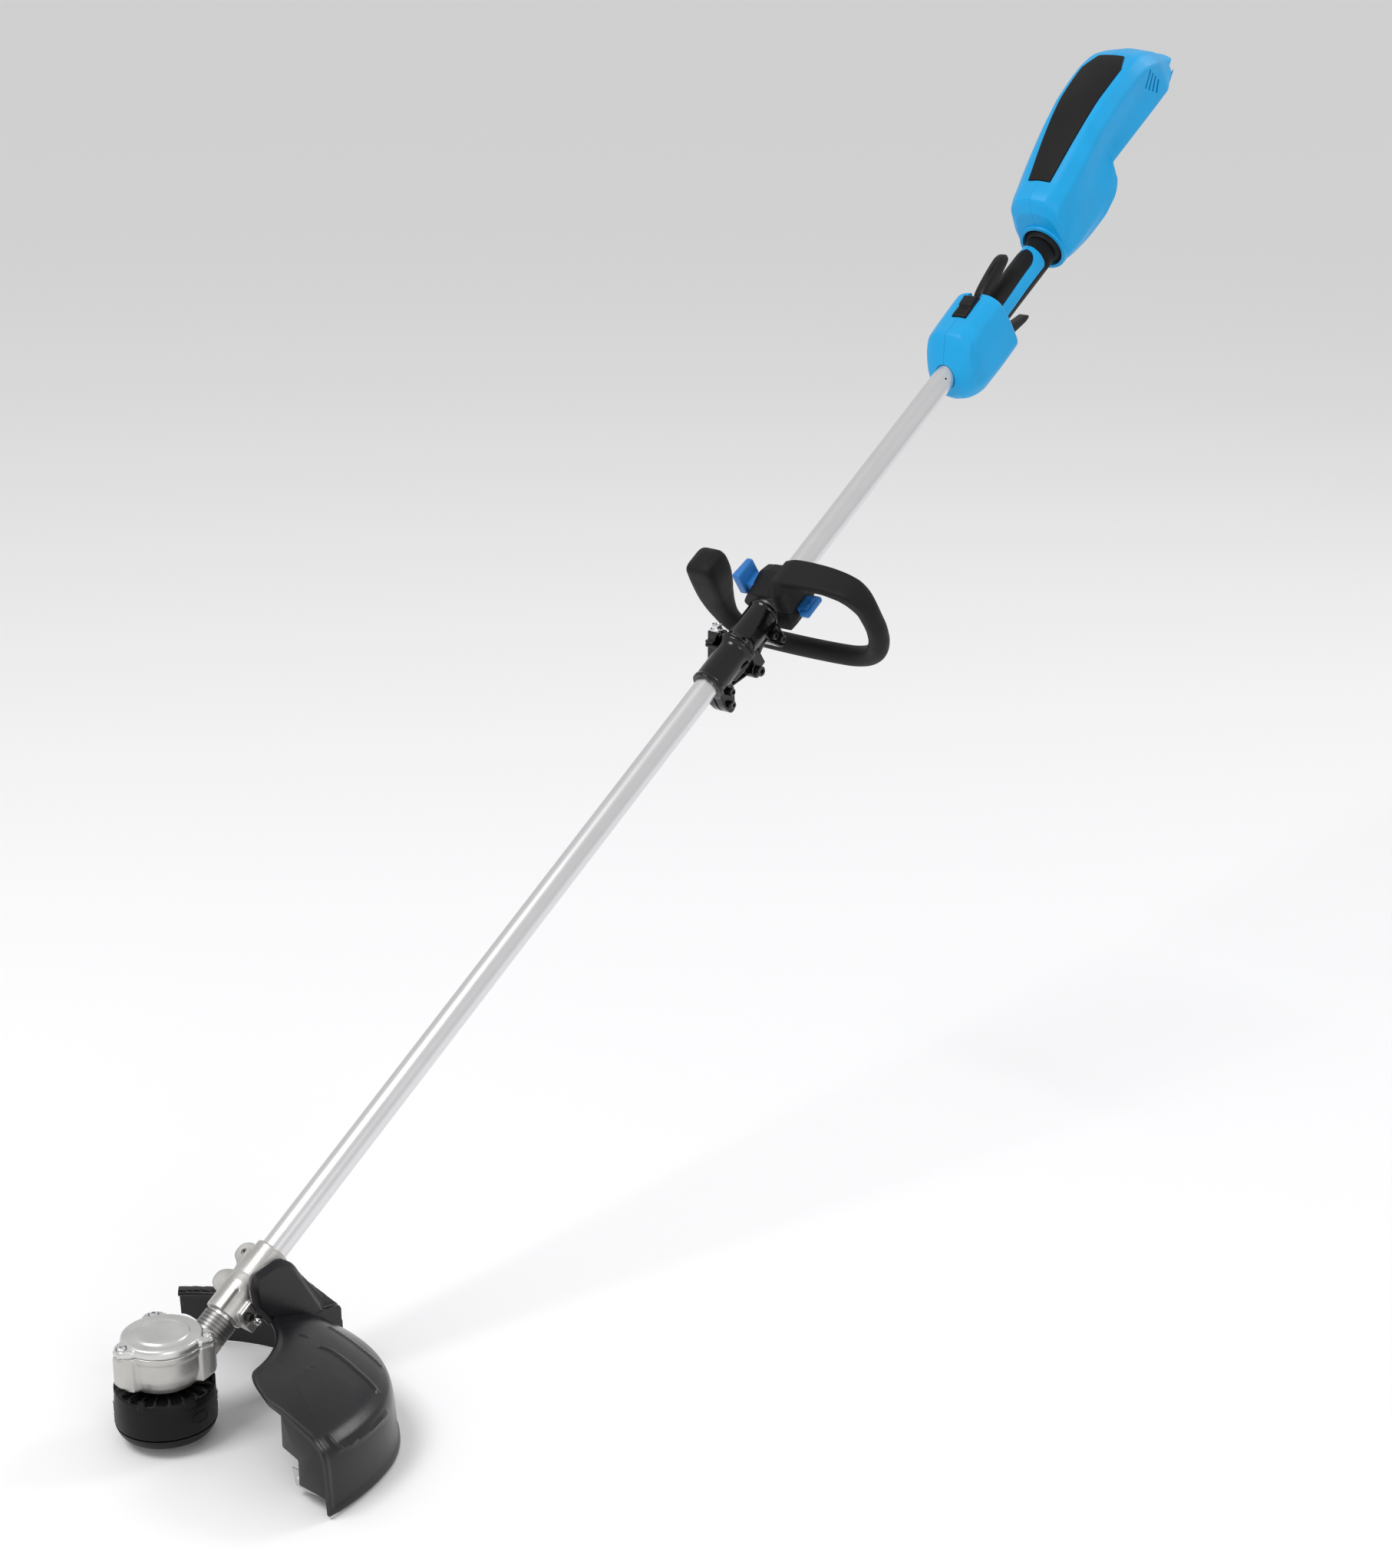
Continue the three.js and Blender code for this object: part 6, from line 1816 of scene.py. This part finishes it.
    def _handle(self) -> None:
        """Loop, saddle and the slots for the tube and the upper tab."""
        a, b = self.start, self.start + self.length
        handle = self._loop()
        half, low = self.block_half, self.split + 0.3
        saddle = Bench.loft(
            "saddle",
            [
                [(x, y, z) for y, z in filleted(plan, 1.6, 3)]
                for x, plan in (
                    (a, [(-half, low), (half + 3, low), (half + 5, 2), (half - 4, 13), (15, 17),
                    (-half, 17)]),
                    (a + 9, [(-half, low), (half, low), (half, 4), (half - 4, 15), (15, 20), (-half, 20)]),
                    (b - 13, [(-half, low), (half, low), (half, 12), (half - 4, 20), (13, 22), (-half, 24)]),
                    (b, [(-half, low), (half, low), (half, 10), (half - 5, 17), (10, 19), (-half, 22)]),
                )
            ],
        )
        Bench.fuse(handle, saddle, self._cheek())
        Bench.soften(handle, 1.1, 2)
        Bench.cut(handle, Bench.bar("bore", self.bore, (a - 9, 0, 0), (b + 9, 0, 0), 64))
        Bench.cut(handle, Bench.brick("pocket", (a + 12, 16, 1.2), (b - 12, 45, 16.8)))
        Bench.cut(handle, Bench.brick("floor", (a - 9, -40, -40), (b + 9, 40, self.split + 0.2)))
        self.deliver(handle, ("loop_handle",), Body.LOOP, "grip_black", SOFT_GRIP, smooth=42)

    def _clamp(self) -> None:
        """Clamp half below the tube, faceted towards the front."""
        a, b, low = self.start, self.start + self.length, self.block_low
        half = self.block_half
        rings = []
        for x, grow in ((a, 0.0), (a + 10, 1.0), (b - 8, 0.5), (b, -1.5)):
            plan = [(-half - grow, self.split - 0.2), (-half - grow, -16), (-19 - grow, low),
                (19 + grow, low), (half + grow, -16), (half + grow, self.split - 0.2)]
            rings.append([(x, y, z) for y, z in filleted(plan, [0.8, 3, 4, 4, 3, 0.8], 5)])
        clamp = Bench.loft("handle_clamp_moulding", rings)
        Bench.bevel(clamp, 1.2, 3, 40)
        Bench.cut(clamp, Bench.bar("bore", self.bore, (a - 9, 0, 0), (b + 9, 0, 0), 64))
        Bench.cut(clamp, Bench.brick("pocket", (a + 12, -45, -17.6), (b - 12, -16, -6.4)))
        self.deliver(clamp, ("handle_clamp",), Body.LOOP, "plastic_black", SOFT_GRIP)

    def _tab(self, side: int, stem: Flat, paddle: Flat, out: float, lean: float, node: str,
            body: Body) -> None:
        """A release tab: stem, rounded paddle, thicker middle and a raised chevron.

        Args:
            side: 1 for the right-hand tab, -1 for the left-hand one.
            stem: Lowest and highest level of its stem.
            paddle: Lowest and highest level of its paddle.
            out: How far it stands out of the block.
            lean: How much further out its front end is.
            node: The frame's node.
            body: Its body.
        """
        middle, half = self.start + self.length / 2, 9.6
        inner, outer = self.block_half - 7, self.block_half + 4
        tip, w = self.block_half + out, half + 4.2
        stalk = Bench.brick(f"{node}_moulding",
            (middle - half, min(side * inner, side * (outer + 1)), stem[0] + 0.4),
                            (middle + half, max(side * inner, side * (outer + 1)), stem[1] - 0.4))
        rings = []
        for z, shrink in ((paddle[0], 1.6), (paddle[0] + 0.8, 0.5), (paddle[0] + 2, 0), (paddle[1] - 2, 0),
                          (paddle[1] - 0.8, 0.5), (paddle[1], 1.6)):
            plan = [(-w + shrink, outer + shrink), (-w + shrink, tip - shrink + lean),
                (w - shrink, tip - shrink),
                    (w - shrink, outer + shrink)]
            rings.append([(middle + u, side * v, z) for u, v in filleted(plan, 2.2, 5)])
        plate = Bench.loft("paddle", rings)
        Bench.fuse(stalk, plate)
        upright = paddle[1] - paddle[0] > 12
        middle_z, mid_out = (paddle[0] + paddle[1]) / 2, (outer + tip) / 2
        if upright:
            swell = Bench.brick("swell", (middle - half + 1.5, side * (tip - 3), paddle[0] + 1),
                                (middle + half - 1.5, side * (tip + 1.5), middle_z - 1))
            marks = [[(middle + u, side * (tip - 1), z) for u, z in
                      ((-5, middle_z + 1.5), (0, middle_z + 5.5), (5, middle_z + 1.5), (5, middle_z + 3.4),
                      (0, middle_z + 7.8), (-5, middle_z + 3.4))]]
            push = (0, side * 1.8, 0)
        else:
            swell = Bench.brick("swell", (middle - half + 1, min(side * outer, side * (tip - 4)),
                paddle[0] - 1.3),
                                (middle + half - 1, max(side * outer, side * (tip - 4)), paddle[1] + 1.3))
            marks = [[(middle + u, side * v, paddle[1] + 1) for u, v in
                      ((-5, mid_out - 2.2), (0, mid_out + 1.6), (5, mid_out - 2.2), (5, mid_out - 0.6),
                      (0, mid_out + 3.4), (-5, mid_out - 0.6))]]
            push = (0, 0, 0.9)
        Bench.bevel(swell, 1.0, 3, 50)
        Bench.fuse(stalk, swell)
        for spots in marks:
            Bench.fuse(stalk, Bench.slab("chevron", spots, push))
        self.deliver(stalk, (node,), body, "tab_blue", TAB_SHELL)

    def build(self) -> None:
        """Makes the handle, the clamp and the tabs."""
        self._handle()
        self._clamp()
        self._tab(1, (1.5, 16.5), (4, 31), 12, 2.5, "release_tab_upper", Body.TAB_UPPER)
        self._tab(-1, (-17.5, -6.5), (-15.5, -8.5), 16, 0, "release_tab_lower", Body.TAB_LOWER)


@dataclass
class FrontHandle(Assembly):
    """Front housing and rear grip in two halves, with grip skins and the controls."""

    start: float = 1366.0
    grip_at: float = 1448.0
    grip_end: float = 1566.0
    half_width: float = 34.0
    grip_top: float = 20.5
    grip_low: float = -16.5
    grip_half: float = 17.5
    bore: float = 13.0
    skin: float = 2.4

    def _stations(self) -> list[tuple[float, list[Flat]]]:
        """Half outlines of the front housing."""
        f, w = self.start, self.half_width
        return [
            (f - 15, [(0, -2), (7, -3), (12, -7), (14, -13), (12, -19), (7, -23), (0, -24)]),
            (f - 12, [(0, 4), (11, 3), (18, -3), (21, -11), (18, -22), (11, -28), (0, -30)]),
            (f - 6, [(0, 14), (13, 13), (23, 7), (28, -5), (26, -20), (16, -33), (0, -36)]),
            (f + 2, [(0, 26), (15, 25), (27, 17), (32, 0), (30, -21), (19, -36), (0, -40)]),
            (f + 9, [(0, 34), (16, 33), (28.5, 24.5), (w - 0.6, 3), (w - 1.4, -22), (21, -37.4), (0, -42)]),
            (f + 17, [(0, 40), (17, 38.5), (29, 30), (w, 6), (w, -23), (22, -38), (0, -43)]),
            (f + 44, [(0, 40), (19, 38.5), (30, 31), (w, 6), (w, -25), (22, -38), (0, -44)]),
            (f + 78, [(0, 41.5), (19, 40), (30, 32), (w, 6), (w, -25), (21, -36), (0, -41)]),
            (f + 80.5, [(0, 41), (18, 39.2), (28.6, 31), (32.6, 6), (32.6, -23.6), (20, -34.6), (0, -39.6)]),
            (f + 82, [(0, 39.6), (16.6, 37.8), (26.6, 29.6), (30.6, 6), (30.6, -21.6), (18.6, -32.6),
            (0, -37.6)]),
        ]

    def grip_ring(self, x: float, grow: float = 0.0, count: int = 56) -> list[Spot]:
        """An oval ring of the grip."""
        middle, rise = (self.grip_top + self.grip_low) / 2, (self.grip_top - self.grip_low) / 2 + grow
        return [
            (x, (self.grip_half + grow) * math.sin(2 * math.pi * k / count),
            middle + rise * math.cos(2 * math.pi * k / count))
            for k in range(count)
        ]

    def _shells(self) -> None:
        """Both blue halves."""
        f = self.start
        places = sorted({*spaced(f - 15, f + 16, 14), *spaced(f + 17, f + 78, 10), f + 79.5, f + 80.8,
            f + 82})
        radii = [0, 5, 6, 6, 6, 6, 0]
        rings = [self.section(x, half, [float(v) for v in radii], 5) for x,
            half in self.stations(self._stations(), places)]
        body = Bench.loft("front_housing", rings)
        grip = Bench.loft("grip_core", [self.grip_ring(x)
            for x in spaced(self.grip_at - 6, self.grip_end, 30)])
        Bench.fuse(body, grip)
        Bench.soften(body, 0.95, 1)
        cutters = [
            Bench.bar("tube_bore", self.bore + 0.3, (f - 40, 0, 0), (f + 19.8, 0, 0), 64),
            Bench.bar("wire_bore", 6, (f + 10, 0, 2), (self.grip_end + 4, 0, 2), 32),
            Bench.brick("rocker_bay", (f + 58 - 16.7, -9.9, 30), (f + 58 + 16.7, 9.9, 60)),
            Bench.brick("lever_slot", (self.grip_at - 16, -8, 16.2), (self.grip_at + 4, 8, 60)),
            Bench.brick("trigger_slot", (self.grip_at - 19, -6.6, -60), (self.grip_at + 6, 6.6, -12)),
        ]
        # Shallow frame pressed round the rocker.
        recess = Bench.slab("recess", [(f + 58 + u, v, 40.2) for u,
            v in filleted([(-19.4, -12.4), (19.4, -12.4), (19.4, 12.4), (-19.4, 12.4)], 3.5, 5)], (0, 0, 9))
        lap = self._patch("inlay_bed", self._inlay_edges, 0.0, 3.4, 0.45)
        under = self._patch("lower_bed", self._lower_edges, 0.0, 3.4, 0.45)
        for tool in (*cutters, recess, lap, under):
            Bench.cut(body, tool)
        other = Bench.copy(body, "handle_shell_right_moulding")
        body.name = "handle_shell_left_moulding"
        for shell, side, node in ((body, Side.LEFT, "handle_shell_left"),
                (other, Side.RIGHT, "handle_shell_right")):
            Bench.half(shell, side, 0.14)
            Bench.bevel(shell, 0.28, 1, 60)
            self.deliver(shell, (node,), Body.REAR, "housing_blue", BLUE_SHELL, smooth=40)

    def _inlay_edges(self, t: float) -> tuple[float, float, float]:
        """Place and angle span of the top inlay, t from 0 at its front to 1 at its rounded rear."""
        x = blend(self.grip_at + 2, self.grip_end - 21, t)
        rear = max(0.0, 1 - ((t - 0.80) / 0.20) ** 2) ** 0.5 if t > 0.80 else 1.0
        wide = blend(58, 50, ease(t, 0.0, 0.8)) * max(rear, 0.06)
        return x, -wide, wide

    def _lower_edges(self, t: float) -> tuple[float, float, float]:
        """Place and angle span of the lower skin, which sweeps up beside the collar."""
        x = blend(self.grip_at + 5, self.grip_end - 0.4, t)
        wide = blend(74, 82, ease(t, 0.0, 0.6)) + 94 * ease(t, 0.80, 0.92)
        lap = 180 + 60 * ease(t, 0.80, 0.92)  # the skin's joint lies on the far side
        return x, lap - wide, lap + wide

    def _patch(self, name: str, edges: object, proud: float, thick: float, grow: float) -> bpy.types.Object:
        """A skin that lies on the grip between two edges.

        Args:
            name: The piece's name.
            edges: Gives place and angle span by share of its length.
            proud: How far its face stands above the grip.
            thick: Its thickness, downwards.
            grow: How far it reaches beyond its edges, for a bed that it drops into.

        Returns:
            The closed skin.
        """
        middle, rise = (self.grip_top + self.grip_low) / 2, (self.grip_top - self.grip_low) / 2
        rows = []
        for t in spaced(0, 1, 44):
            x, low, high = edges(t)
            x += grow * (2 * t - 1)
            row = []
            for angle in spaced(low - grow * 3, high + grow * 3, 30):
                a = math.radians(angle)
                row.append((x, (self.grip_half + proud) * math.sin(a), middle + (rise + proud) * math.cos(a)))
            rows.append(row)
        patch = Bench.grid(name, rows)
        probe = patch.data.polygons[len(patch.data.polygons) // 2]
        if probe.normal.dot(probe.center - Vector((probe.center.x, 0, middle))) < 0:
            Bench.edit(patch)
            bpy.ops.mesh.flip_normals()
            bpy.ops.object.mode_set(mode="OBJECT")
        if grow:
            Bench.modify(patch, "SOLIDIFY", thickness=thick + 3, offset=-1 + 2 * 3 / (thick + 3))
        else:
            Bench.modify(patch, "SOLIDIFY", thickness=thick, offset=-1)
            Bench.bevel(patch, 0.7, 3, 45)
        Bench.settle_normals(patch)
        return patch

    def _skins(self) -> None:
        """Soft inlay on top and soft skin below."""
        inlay = self._patch("grip_inlay_overmould", self._inlay_edges, 0.5, self.skin, 0.0)
        groove = Bench.brick("seam", (self.grip_at - 5, -0.18, 15), (self.grip_end, 0.18, 40))
        groove.location = (0, 0, 0)
        tool = Bench.brick("seam_floor", (self.grip_at - 6, -1, 15),
            (self.grip_end + 1, 1, self.grip_top + 0.1))
        Bench.cut(groove, tool)
        Bench.cut(inlay, groove)
        self.deliver(inlay, ("grip_inlay",), Body.REAR, "grip_black", SOFT_GRIP, smooth=45)
        lower = self._patch("grip_lower_overmould", self._lower_edges, 0.4, self.skin, 0.0)
        self.deliver(lower, ("grip_lower",), Body.REAR, "grip_black", SOFT_GRIP, smooth=45)

    def _controls(self) -> None:
        """Rocker, lock-off lever and trigger."""
        sx, g = self.start + 58, self.grip_at
        rocker = Bench.brick("power_rocker_moulding", (sx - 15.7, -9.2, 35.8), (sx + 15.7, 9.2, 41.6))
        Bench.bevel(rocker, 1.4, 3, 50)
        pad = Bench.plate("pad", filleted([(sx - 2, 40), (sx + 0.6, 43.8), (sx + 13.6, 45.2),
            (sx + 15.2, 40)], [0.2, 1, 1.6, 0.2], 4), -8.2, 8.2)
        Bench.bevel(pad, 1.1, 3, 50)
        Bench.fuse(rocker, pad)
        for k in range(3):
            line = Bench.brick("line", (sx - 12 + k * 3.4, -6, 41.2), (sx - 10.8 + k * 3.4, 6, 42))
            Bench.cut(rocker, line)
        self.deliver(rocker, ("power_switch",), Body.ROCKER, "plastic_black", BLACK_MOULDING)
        # Lever: x, centre height, half breadth, half height
        rows = [
            (g - 14, 26, 6.2, 3.2), (g - 10, 27, 6.6, 4.2), (g - 4, 29, 6.8, 4.8), (g + 3, 32.4, 7.0, 6.2),
            (g + 16, 35.2, 7.2, 7.0),
            (g + 30, 37.6, 7.4, 7.2), (g + 42, 39.6, 7.4, 7.0), (g + 50, 41, 7.2, 6.2),
            (g + 55.5, 41.4, 6.6, 5.2),
            (g + 59, 41.2, 5.4, 4.0), (g + 61, 41, 3.6, 2.4),
        ]
        knots = [row[0] for row in rows]
        rings = []
        for x in spaced(knots[0], knots[-1], 44):
            z, broad, high = (monotone(knots, [row[k] for row in rows], x) for k in (1, 2, 3))
            ring = []
            for k in range(36):
                a = 2 * math.pi * k / 36
                c, s = math.cos(a), math.sin(a)
                power = 2 / 3.4
                ring.append((x, math.copysign(abs(c) ** power, c) * broad,
                    z + math.copysign(abs(s) ** power, s) * high))
            rings.append(ring)
        lever = Bench.loft("lock_off_lever_moulding", rings)
        ridge = Bench.plate("ridge", [(g + 6, 36), (g + 10, 41.0), (g + 30, 46.2), (g + 44, 47.8),
            (g + 50, 46), (g + 50, 40)], -1.5, 1.5)
        Bench.bevel(ridge, 1.0, 3, 40)
        Bench.fuse(lever, ridge)
        Bench.cut(lever, Bench.bar("pin_bore", 2.3, (g - 10, -20, 26), (g - 10, 20, 26), 24))
        self.deliver(lever, ("lock_off_lever",), Body.LOCK, "plastic_black", BLACK_MOULDING)
        px, pz = g - 12, -20
        outline = [(px - 5, pz + 4), (px + 8, pz + 5), (g + 4, -24), (g + 20, -26.5), (g + 36, -31.5),
            (g + 48, -35.2), (g + 55, -37.2),
                   (g + 57, -40.6), (g + 51, -42.3), (g + 42, -41), (g + 28, -38.5), (g + 6, -33),
                   (px + 2, pz - 5), (px - 5, pz - 5)]
        trigger = Bench.plate("trigger_moulding", filleted(outline, 2.4, 4), -6, 6)
        Bench.bevel(trigger, 1.6, 3, 50)
        Bench.cut(trigger, Bench.bar("pin_bore", 2.3, (px, -20, pz), (px, 20, pz), 24))
        self.deliver(trigger, ("trigger",), Body.TRIGGER, "plastic_black", BLACK_MOULDING)

    def build(self) -> None:
        """Makes the shells, skins and controls."""
        self._shells()
        self._skins()
        self._controls()


@dataclass
class RearHousing(Assembly):
    """Rear housing in two halves, its soft top pad and the collar where it meets the grip."""

    start: float = 1567.0
    end: float = 1853.0
    dock_at: float = 1685.0
    dock_z: float = 33.0
    half_width: float = 38.0
    collar_lift: float = 3.0

    def _stations(self) -> list[tuple[float, list[Flat]]]:
        """Half outlines of the rear housing, front to rear."""
        s, w, dock, dz = self.start, self.half_width, self.dock_at, self.dock_z
        return [
            (s + 5, [(0, 50), (14, 48), (24, 40), (29, 18), (27, -2), (18, -15), (0, -19)]),
            (s + 11, [(0, 65), (19, 62), (w - 6, 48), (w - 2, 20), (w - 4, -4), (22, -17), (0, -21)]),
            (s + 37, [(0, 72), (22, 69.5), (w - 3, 58), (w, 26), (w, -1), (27, -18), (0, -23)]),
            (s + 70, [(0, 82.5), (26, 80), (w, 67), (w - 2, 36), (w, 2), (33, -14), (0, -20)]),
            (s + 88, [(0, 88), (27, 85.5), (w + 1, 72), (w - 3, 42), (w, 10), (w - 1, -8), (0, -14)]),
            (dock - 2, [(0, 95.5), (29, 93), (w + 2, 79), (w - 3, 50), (w + 1, 34), (w, 10), (0, 6)]),
            (dock, [(0, 96), (29, 93.5), (w + 2, 79.5), (w - 3, 50), (w + 1, 38), (w, dz), (0, dz)]),
            (s + 150, [(0, 102), (31, 99), (w + 3, 84), (w - 2, 56), (w + 1, 38), (w, dz), (0, dz)]),
            (s + 196, [(0, 104), (32, 101), (w + 4, 87), (w - 1, 60), (w + 1, 38), (w, dz), (0, dz)]),
            (s + 220, [(0, 102), (31, 99), (w + 4, 84), (w, 60), (w + 1, 38), (w, dz), (0, dz)]),
            (s + 245, [(0, 92), (28, 88.5), (w + 1, 74), (w, 56), (w + 1, 40), (w, dz), (0, dz)]),
            (s + 262, [(0, 79), (25, 75.5), (w - 5, 64), (w - 4, 52), (w - 5, 40), (w - 6, dz), (0, dz)]),
            (s + 273, [(0, 68), (20, 65.5), (w - 9, 58), (w - 8, 50), (w - 8, 41), (w - 9, dz + 0.5),
            (0, dz + 0.5)]),
            (self.end, [(0, 56), (17, 54.5), (w - 13, 50), (w - 11, 45), (w - 12, 39), (w - 14, dz + 1.5),
            (0, dz + 1.5)]),
        ]

    def roof(self, x: float, y: float) -> float:
        """Height of the roof at a place, before its edges are rounded."""
        table = self._stations()
        knots = [row[0] for row in table]
        z0 = monotone(knots, [row[1][0][1] for row in table], x)
        y1 = monotone(knots, [row[1][1][0] for row in table], x)
        z1 = monotone(knots, [row[1][1][1] for row in table], x)
        return blend(z0, z1, min(1.0, (abs(y) / y1) ** 2))

    def _pad(self, name: str, grow: float, proud: float, thick: float) -> bpy.types.Object:
        """The soft pad on the roof, or the bed that it lies in."""
        a, b = self.start + 35, self.start + 219
        rows = []
        for t in spaced(0, 1, 70):
            x = blend(a - grow, b + grow, t)
            swell = blend(14.5, 26.5, math.sin(min(t / 0.87, 1) * math.pi / 2))
            width = (blend(26.5, 17, (t - 0.87) / 0.13) if t > 0.87 else swell) + grow
            row = []
            for share in spaced(-1, 1, 26):
                y = width * share
                row.append((x, y, self.roof(x, y) + proud * (1 - 0.35 * share**4)))
            rows.append(row)
        pad = Bench.grid(name, rows)
        if pad.data.polygons[0].normal.z < 0:
            Bench.edit(pad)
            bpy.ops.mesh.flip_normals()
            bpy.ops.object.mode_set(mode="OBJECT")
        lift = 6.0 if grow else 0.0
        total = thick + lift
        Bench.modify(pad, "SOLIDIFY", thickness=total, offset=-1 + 2 * lift / total)
        if not grow:
            Bench.bevel(pad, 0.8, 3, 45)
        Bench.settle_normals(pad)
        return pad

    def _shells(self) -> None:
        """Both blue halves, with the collar mouth, the pad's bed, vents and the battery bay."""
        s, dock, end, w = self.start, self.dock_at, self.end, self.half_width
        places = sorted({*spaced(s + 5, s + 11, 4), *spaced(s + 12.5, s + 112, 26), dock - 2, dock,
            *spaced(dock + 4, s + 262, 34),
                         *spaced(s + 264, end - 2, 9), end})
        radii = [0.0, 5.0, 4.5, 7.0, 4.0, 3.0, 0.0]
        rings = [self.section(x, half, radii, 5) for x, half in self.stations(self._stations(), places)]
        body = Bench.loft("rear_housing", rings)
        Bench.soften(body, 1.0, 1)
        cutters = [
            Bench.turned("mouth", [(0, 1500), (24.4, 1500), (24.5, s + 18), (0, s + 18)], "X", 80,
            self.collar_lift),
            Bench.bar("wire_bore", 9, (s, 0, 3), (s + 40, 0, 3), 32),
            Bench.brick("bay", (dock + 3, -30, dock and self.dock_z + 4), (end + 9, 30, self.dock_z + 16.3)),
            Bench.brick("bay_mouth", (dock + 3, -26, 0), (end + 9, 26, self.dock_z + 5)),
            Bench.brick("bay_roof", (dock + 7, -22, self.dock_z + 13), (end - 40, 22, self.dock_z + 22)),
            self._pad("pad_bed", 0.4, 0.0, 2.2),
        ]
        for side in (-1, 1):
            for i in range(4):
                length = 22 - 2 * i
                slot = Bench.brick("vent", (-length / 2, -6, -1.4), (length / 2, 6, 1.4))
                Bench.bevel(slot, 1.3, 3, 50)
                slot.matrix_world = Matrix.Translation((s + 218 + i * 4.5, side * (w + 1),
                    72 - i * 6.5)) @ Matrix.Rotation(-0.75, 4, "Y")
                Bench.apply_place(slot)
                cutters.append(slot)
        # Raised lip round the collar's mouth.
        lip = Bench.turned("lip", [(24.8, s + 2), (28.4, s + 2), (29.2, s + 3.5), (29.2, s + 14),
            (24.8, s + 14)], "X", 80, self.collar_lift)
        cutters.insert(0, lip)
        Bench.fuse(body, cutters.pop(0))
        for tool in cutters:
            Bench.cut(body, tool)
        other = Bench.copy(body, "rear_housing_right_moulding")
        body.name = "rear_housing_left_moulding"
        for shell, side, node in ((body, Side.LEFT, "rear_housing_left"),
                (other, Side.RIGHT, "rear_housing_right")):
            Bench.half(shell, side, 0.1)
            self.deliver(shell, (node,), Body.REAR, "housing_blue", BLUE_SHELL, smooth=40)

    def build(self) -> None:
        """Makes the shells, the pad and the collar."""
        self._shells()
        pad = self._pad("top_pad_overmould", 0.0, 1.0, 2.6)
        self.deliver(pad, ("top_pad",), Body.REAR, "grip_black", SOFT_GRIP, smooth=45)
        s = self.start
        profile = [(9.5, s - 0.6), (18.3, s - 0.6), (19.0, s + 0.2), (19.8, s + 1.6), (21.6, s + 3.4),
            (23.4, s + 5.2), (24.0, s + 7.5),
                   (24.0, s + 17), (9.5, s + 17)]
        collar = Bench.turned("throat_collar_overmould", profile, "X", 96, self.collar_lift)
        self.deliver(collar, ("throat_collar",), Body.REAR, "grip_black", SOFT_GRIP)


# ------------------------------------------------------------------ scene
@dataclass
class Studio:
    """Floor, light and camera."""

    eye: Spot = (-2.5879, -1.8279, 0.4031)
    azimuth: float = -48.34
    elevation: float = 17.3337
    lens: float = 64.58
    floor_gap: float = 0.002

    def _floor(self) -> None:
        """A wide pale floor under the lowest point."""
        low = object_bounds()[0][2] - self.floor_gap
        Bench.clear()
        bpy.ops.mesh.primitive_plane_add(size=300, location=(0, 0, low))
        floor = bpy.context.active_object
        floor.name = "floor"
        Bench.apply_place(floor)
        made = bpy.data.materials.new("floor_pale")
        made.use_nodes = True
        shader = made.node_tree.nodes["Principled BSDF"]
        shader.inputs["Base Color"].default_value = (0.86, 0.86, 0.87, 1)
        shader.inputs["Roughness"].default_value = 0.9
        floor.data.materials.append(made)
        floor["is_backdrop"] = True

    @staticmethod
    def _lamp(name: str, place: Spot, target: Spot, size: float, power: float) -> None:
        """One soft area light, aimed at a point."""
        Bench.clear()
        bpy.ops.object.light_add(type="AREA", location=place)
        lamp = bpy.context.active_object
        lamp.name = name
        lamp.data.size = size
        lamp.data.energy = power
        aim = Vector(target) - Vector(place)
        lamp.rotation_euler = aim.to_track_quat("-Z", "Y").to_euler()

    def _camera(self) -> None:
        """The camera that frames the whole tool."""
        a, e = math.radians(self.azimuth), math.radians(self.elevation)
        back = Vector((math.sin(a) * math.cos(e), -math.cos(a) * math.cos(e), math.sin(e)))
        Bench.clear()
        bpy.ops.object.camera_add(location=self.eye)
        camera = bpy.context.active_object
        camera.rotation_euler = back.to_track_quat("Z", "Y").to_euler()
        camera.data.lens = self.lens
        camera.data.sensor_width = 36
        camera.data.clip_end = 500
        bpy.context.scene.camera = camera

    def build(self) -> None:
        """Sets up the studio."""
        self._floor()
        self._camera()
        world = bpy.data.worlds.new("studio")
        world.use_nodes = True
        sky = world.node_tree.nodes["Background"]
        sky.inputs["Color"].default_value = (1.0, 1.0, 1.0, 1)
        sky.inputs["Strength"].default_value = 0.72
        bpy.context.scene.world = world
        bpy.context.scene.view_settings.view_transform = "Standard"
        self._lamp("key", (-3.2, 0.6, 3.2), (-0.5, 0, -0.3), 1.8, 95)
        self._lamp("fill", (-2.6, -3.6, 0.6), (-0.5, 0, -0.4), 1.6, 26)
        self._lamp("rim", (2.4, -1.2, 2.2), (-0.3, 0, 0), 1.2, 30)


def dress_carried_nodes() -> None:
    """Gives every node that stays as it was packed its own finish."""
    for node, finish in CARRIED.items():
        piece = frame["nodes"][node]
        piece.data.materials.clear()
        piece.data.materials.append(finish.material())


def main() -> None:
    """Builds every sub-assembly in order and reports it."""
    logging.basicConfig(level=logging.INFO, format="%(name)s %(message)s")
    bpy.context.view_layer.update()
    dress_carried_nodes()
    for part in (Tubes(), MotorUnit(), StringHead(), GuardBracket(), Guard(), Coupler(), LoopHandle(),
            FrontHandle(), RearHousing()):
        LOG.info("building %s", type(part).__name__)
        part.build()
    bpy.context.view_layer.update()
    Studio().build()


if __name__ == "__main__":
    main()
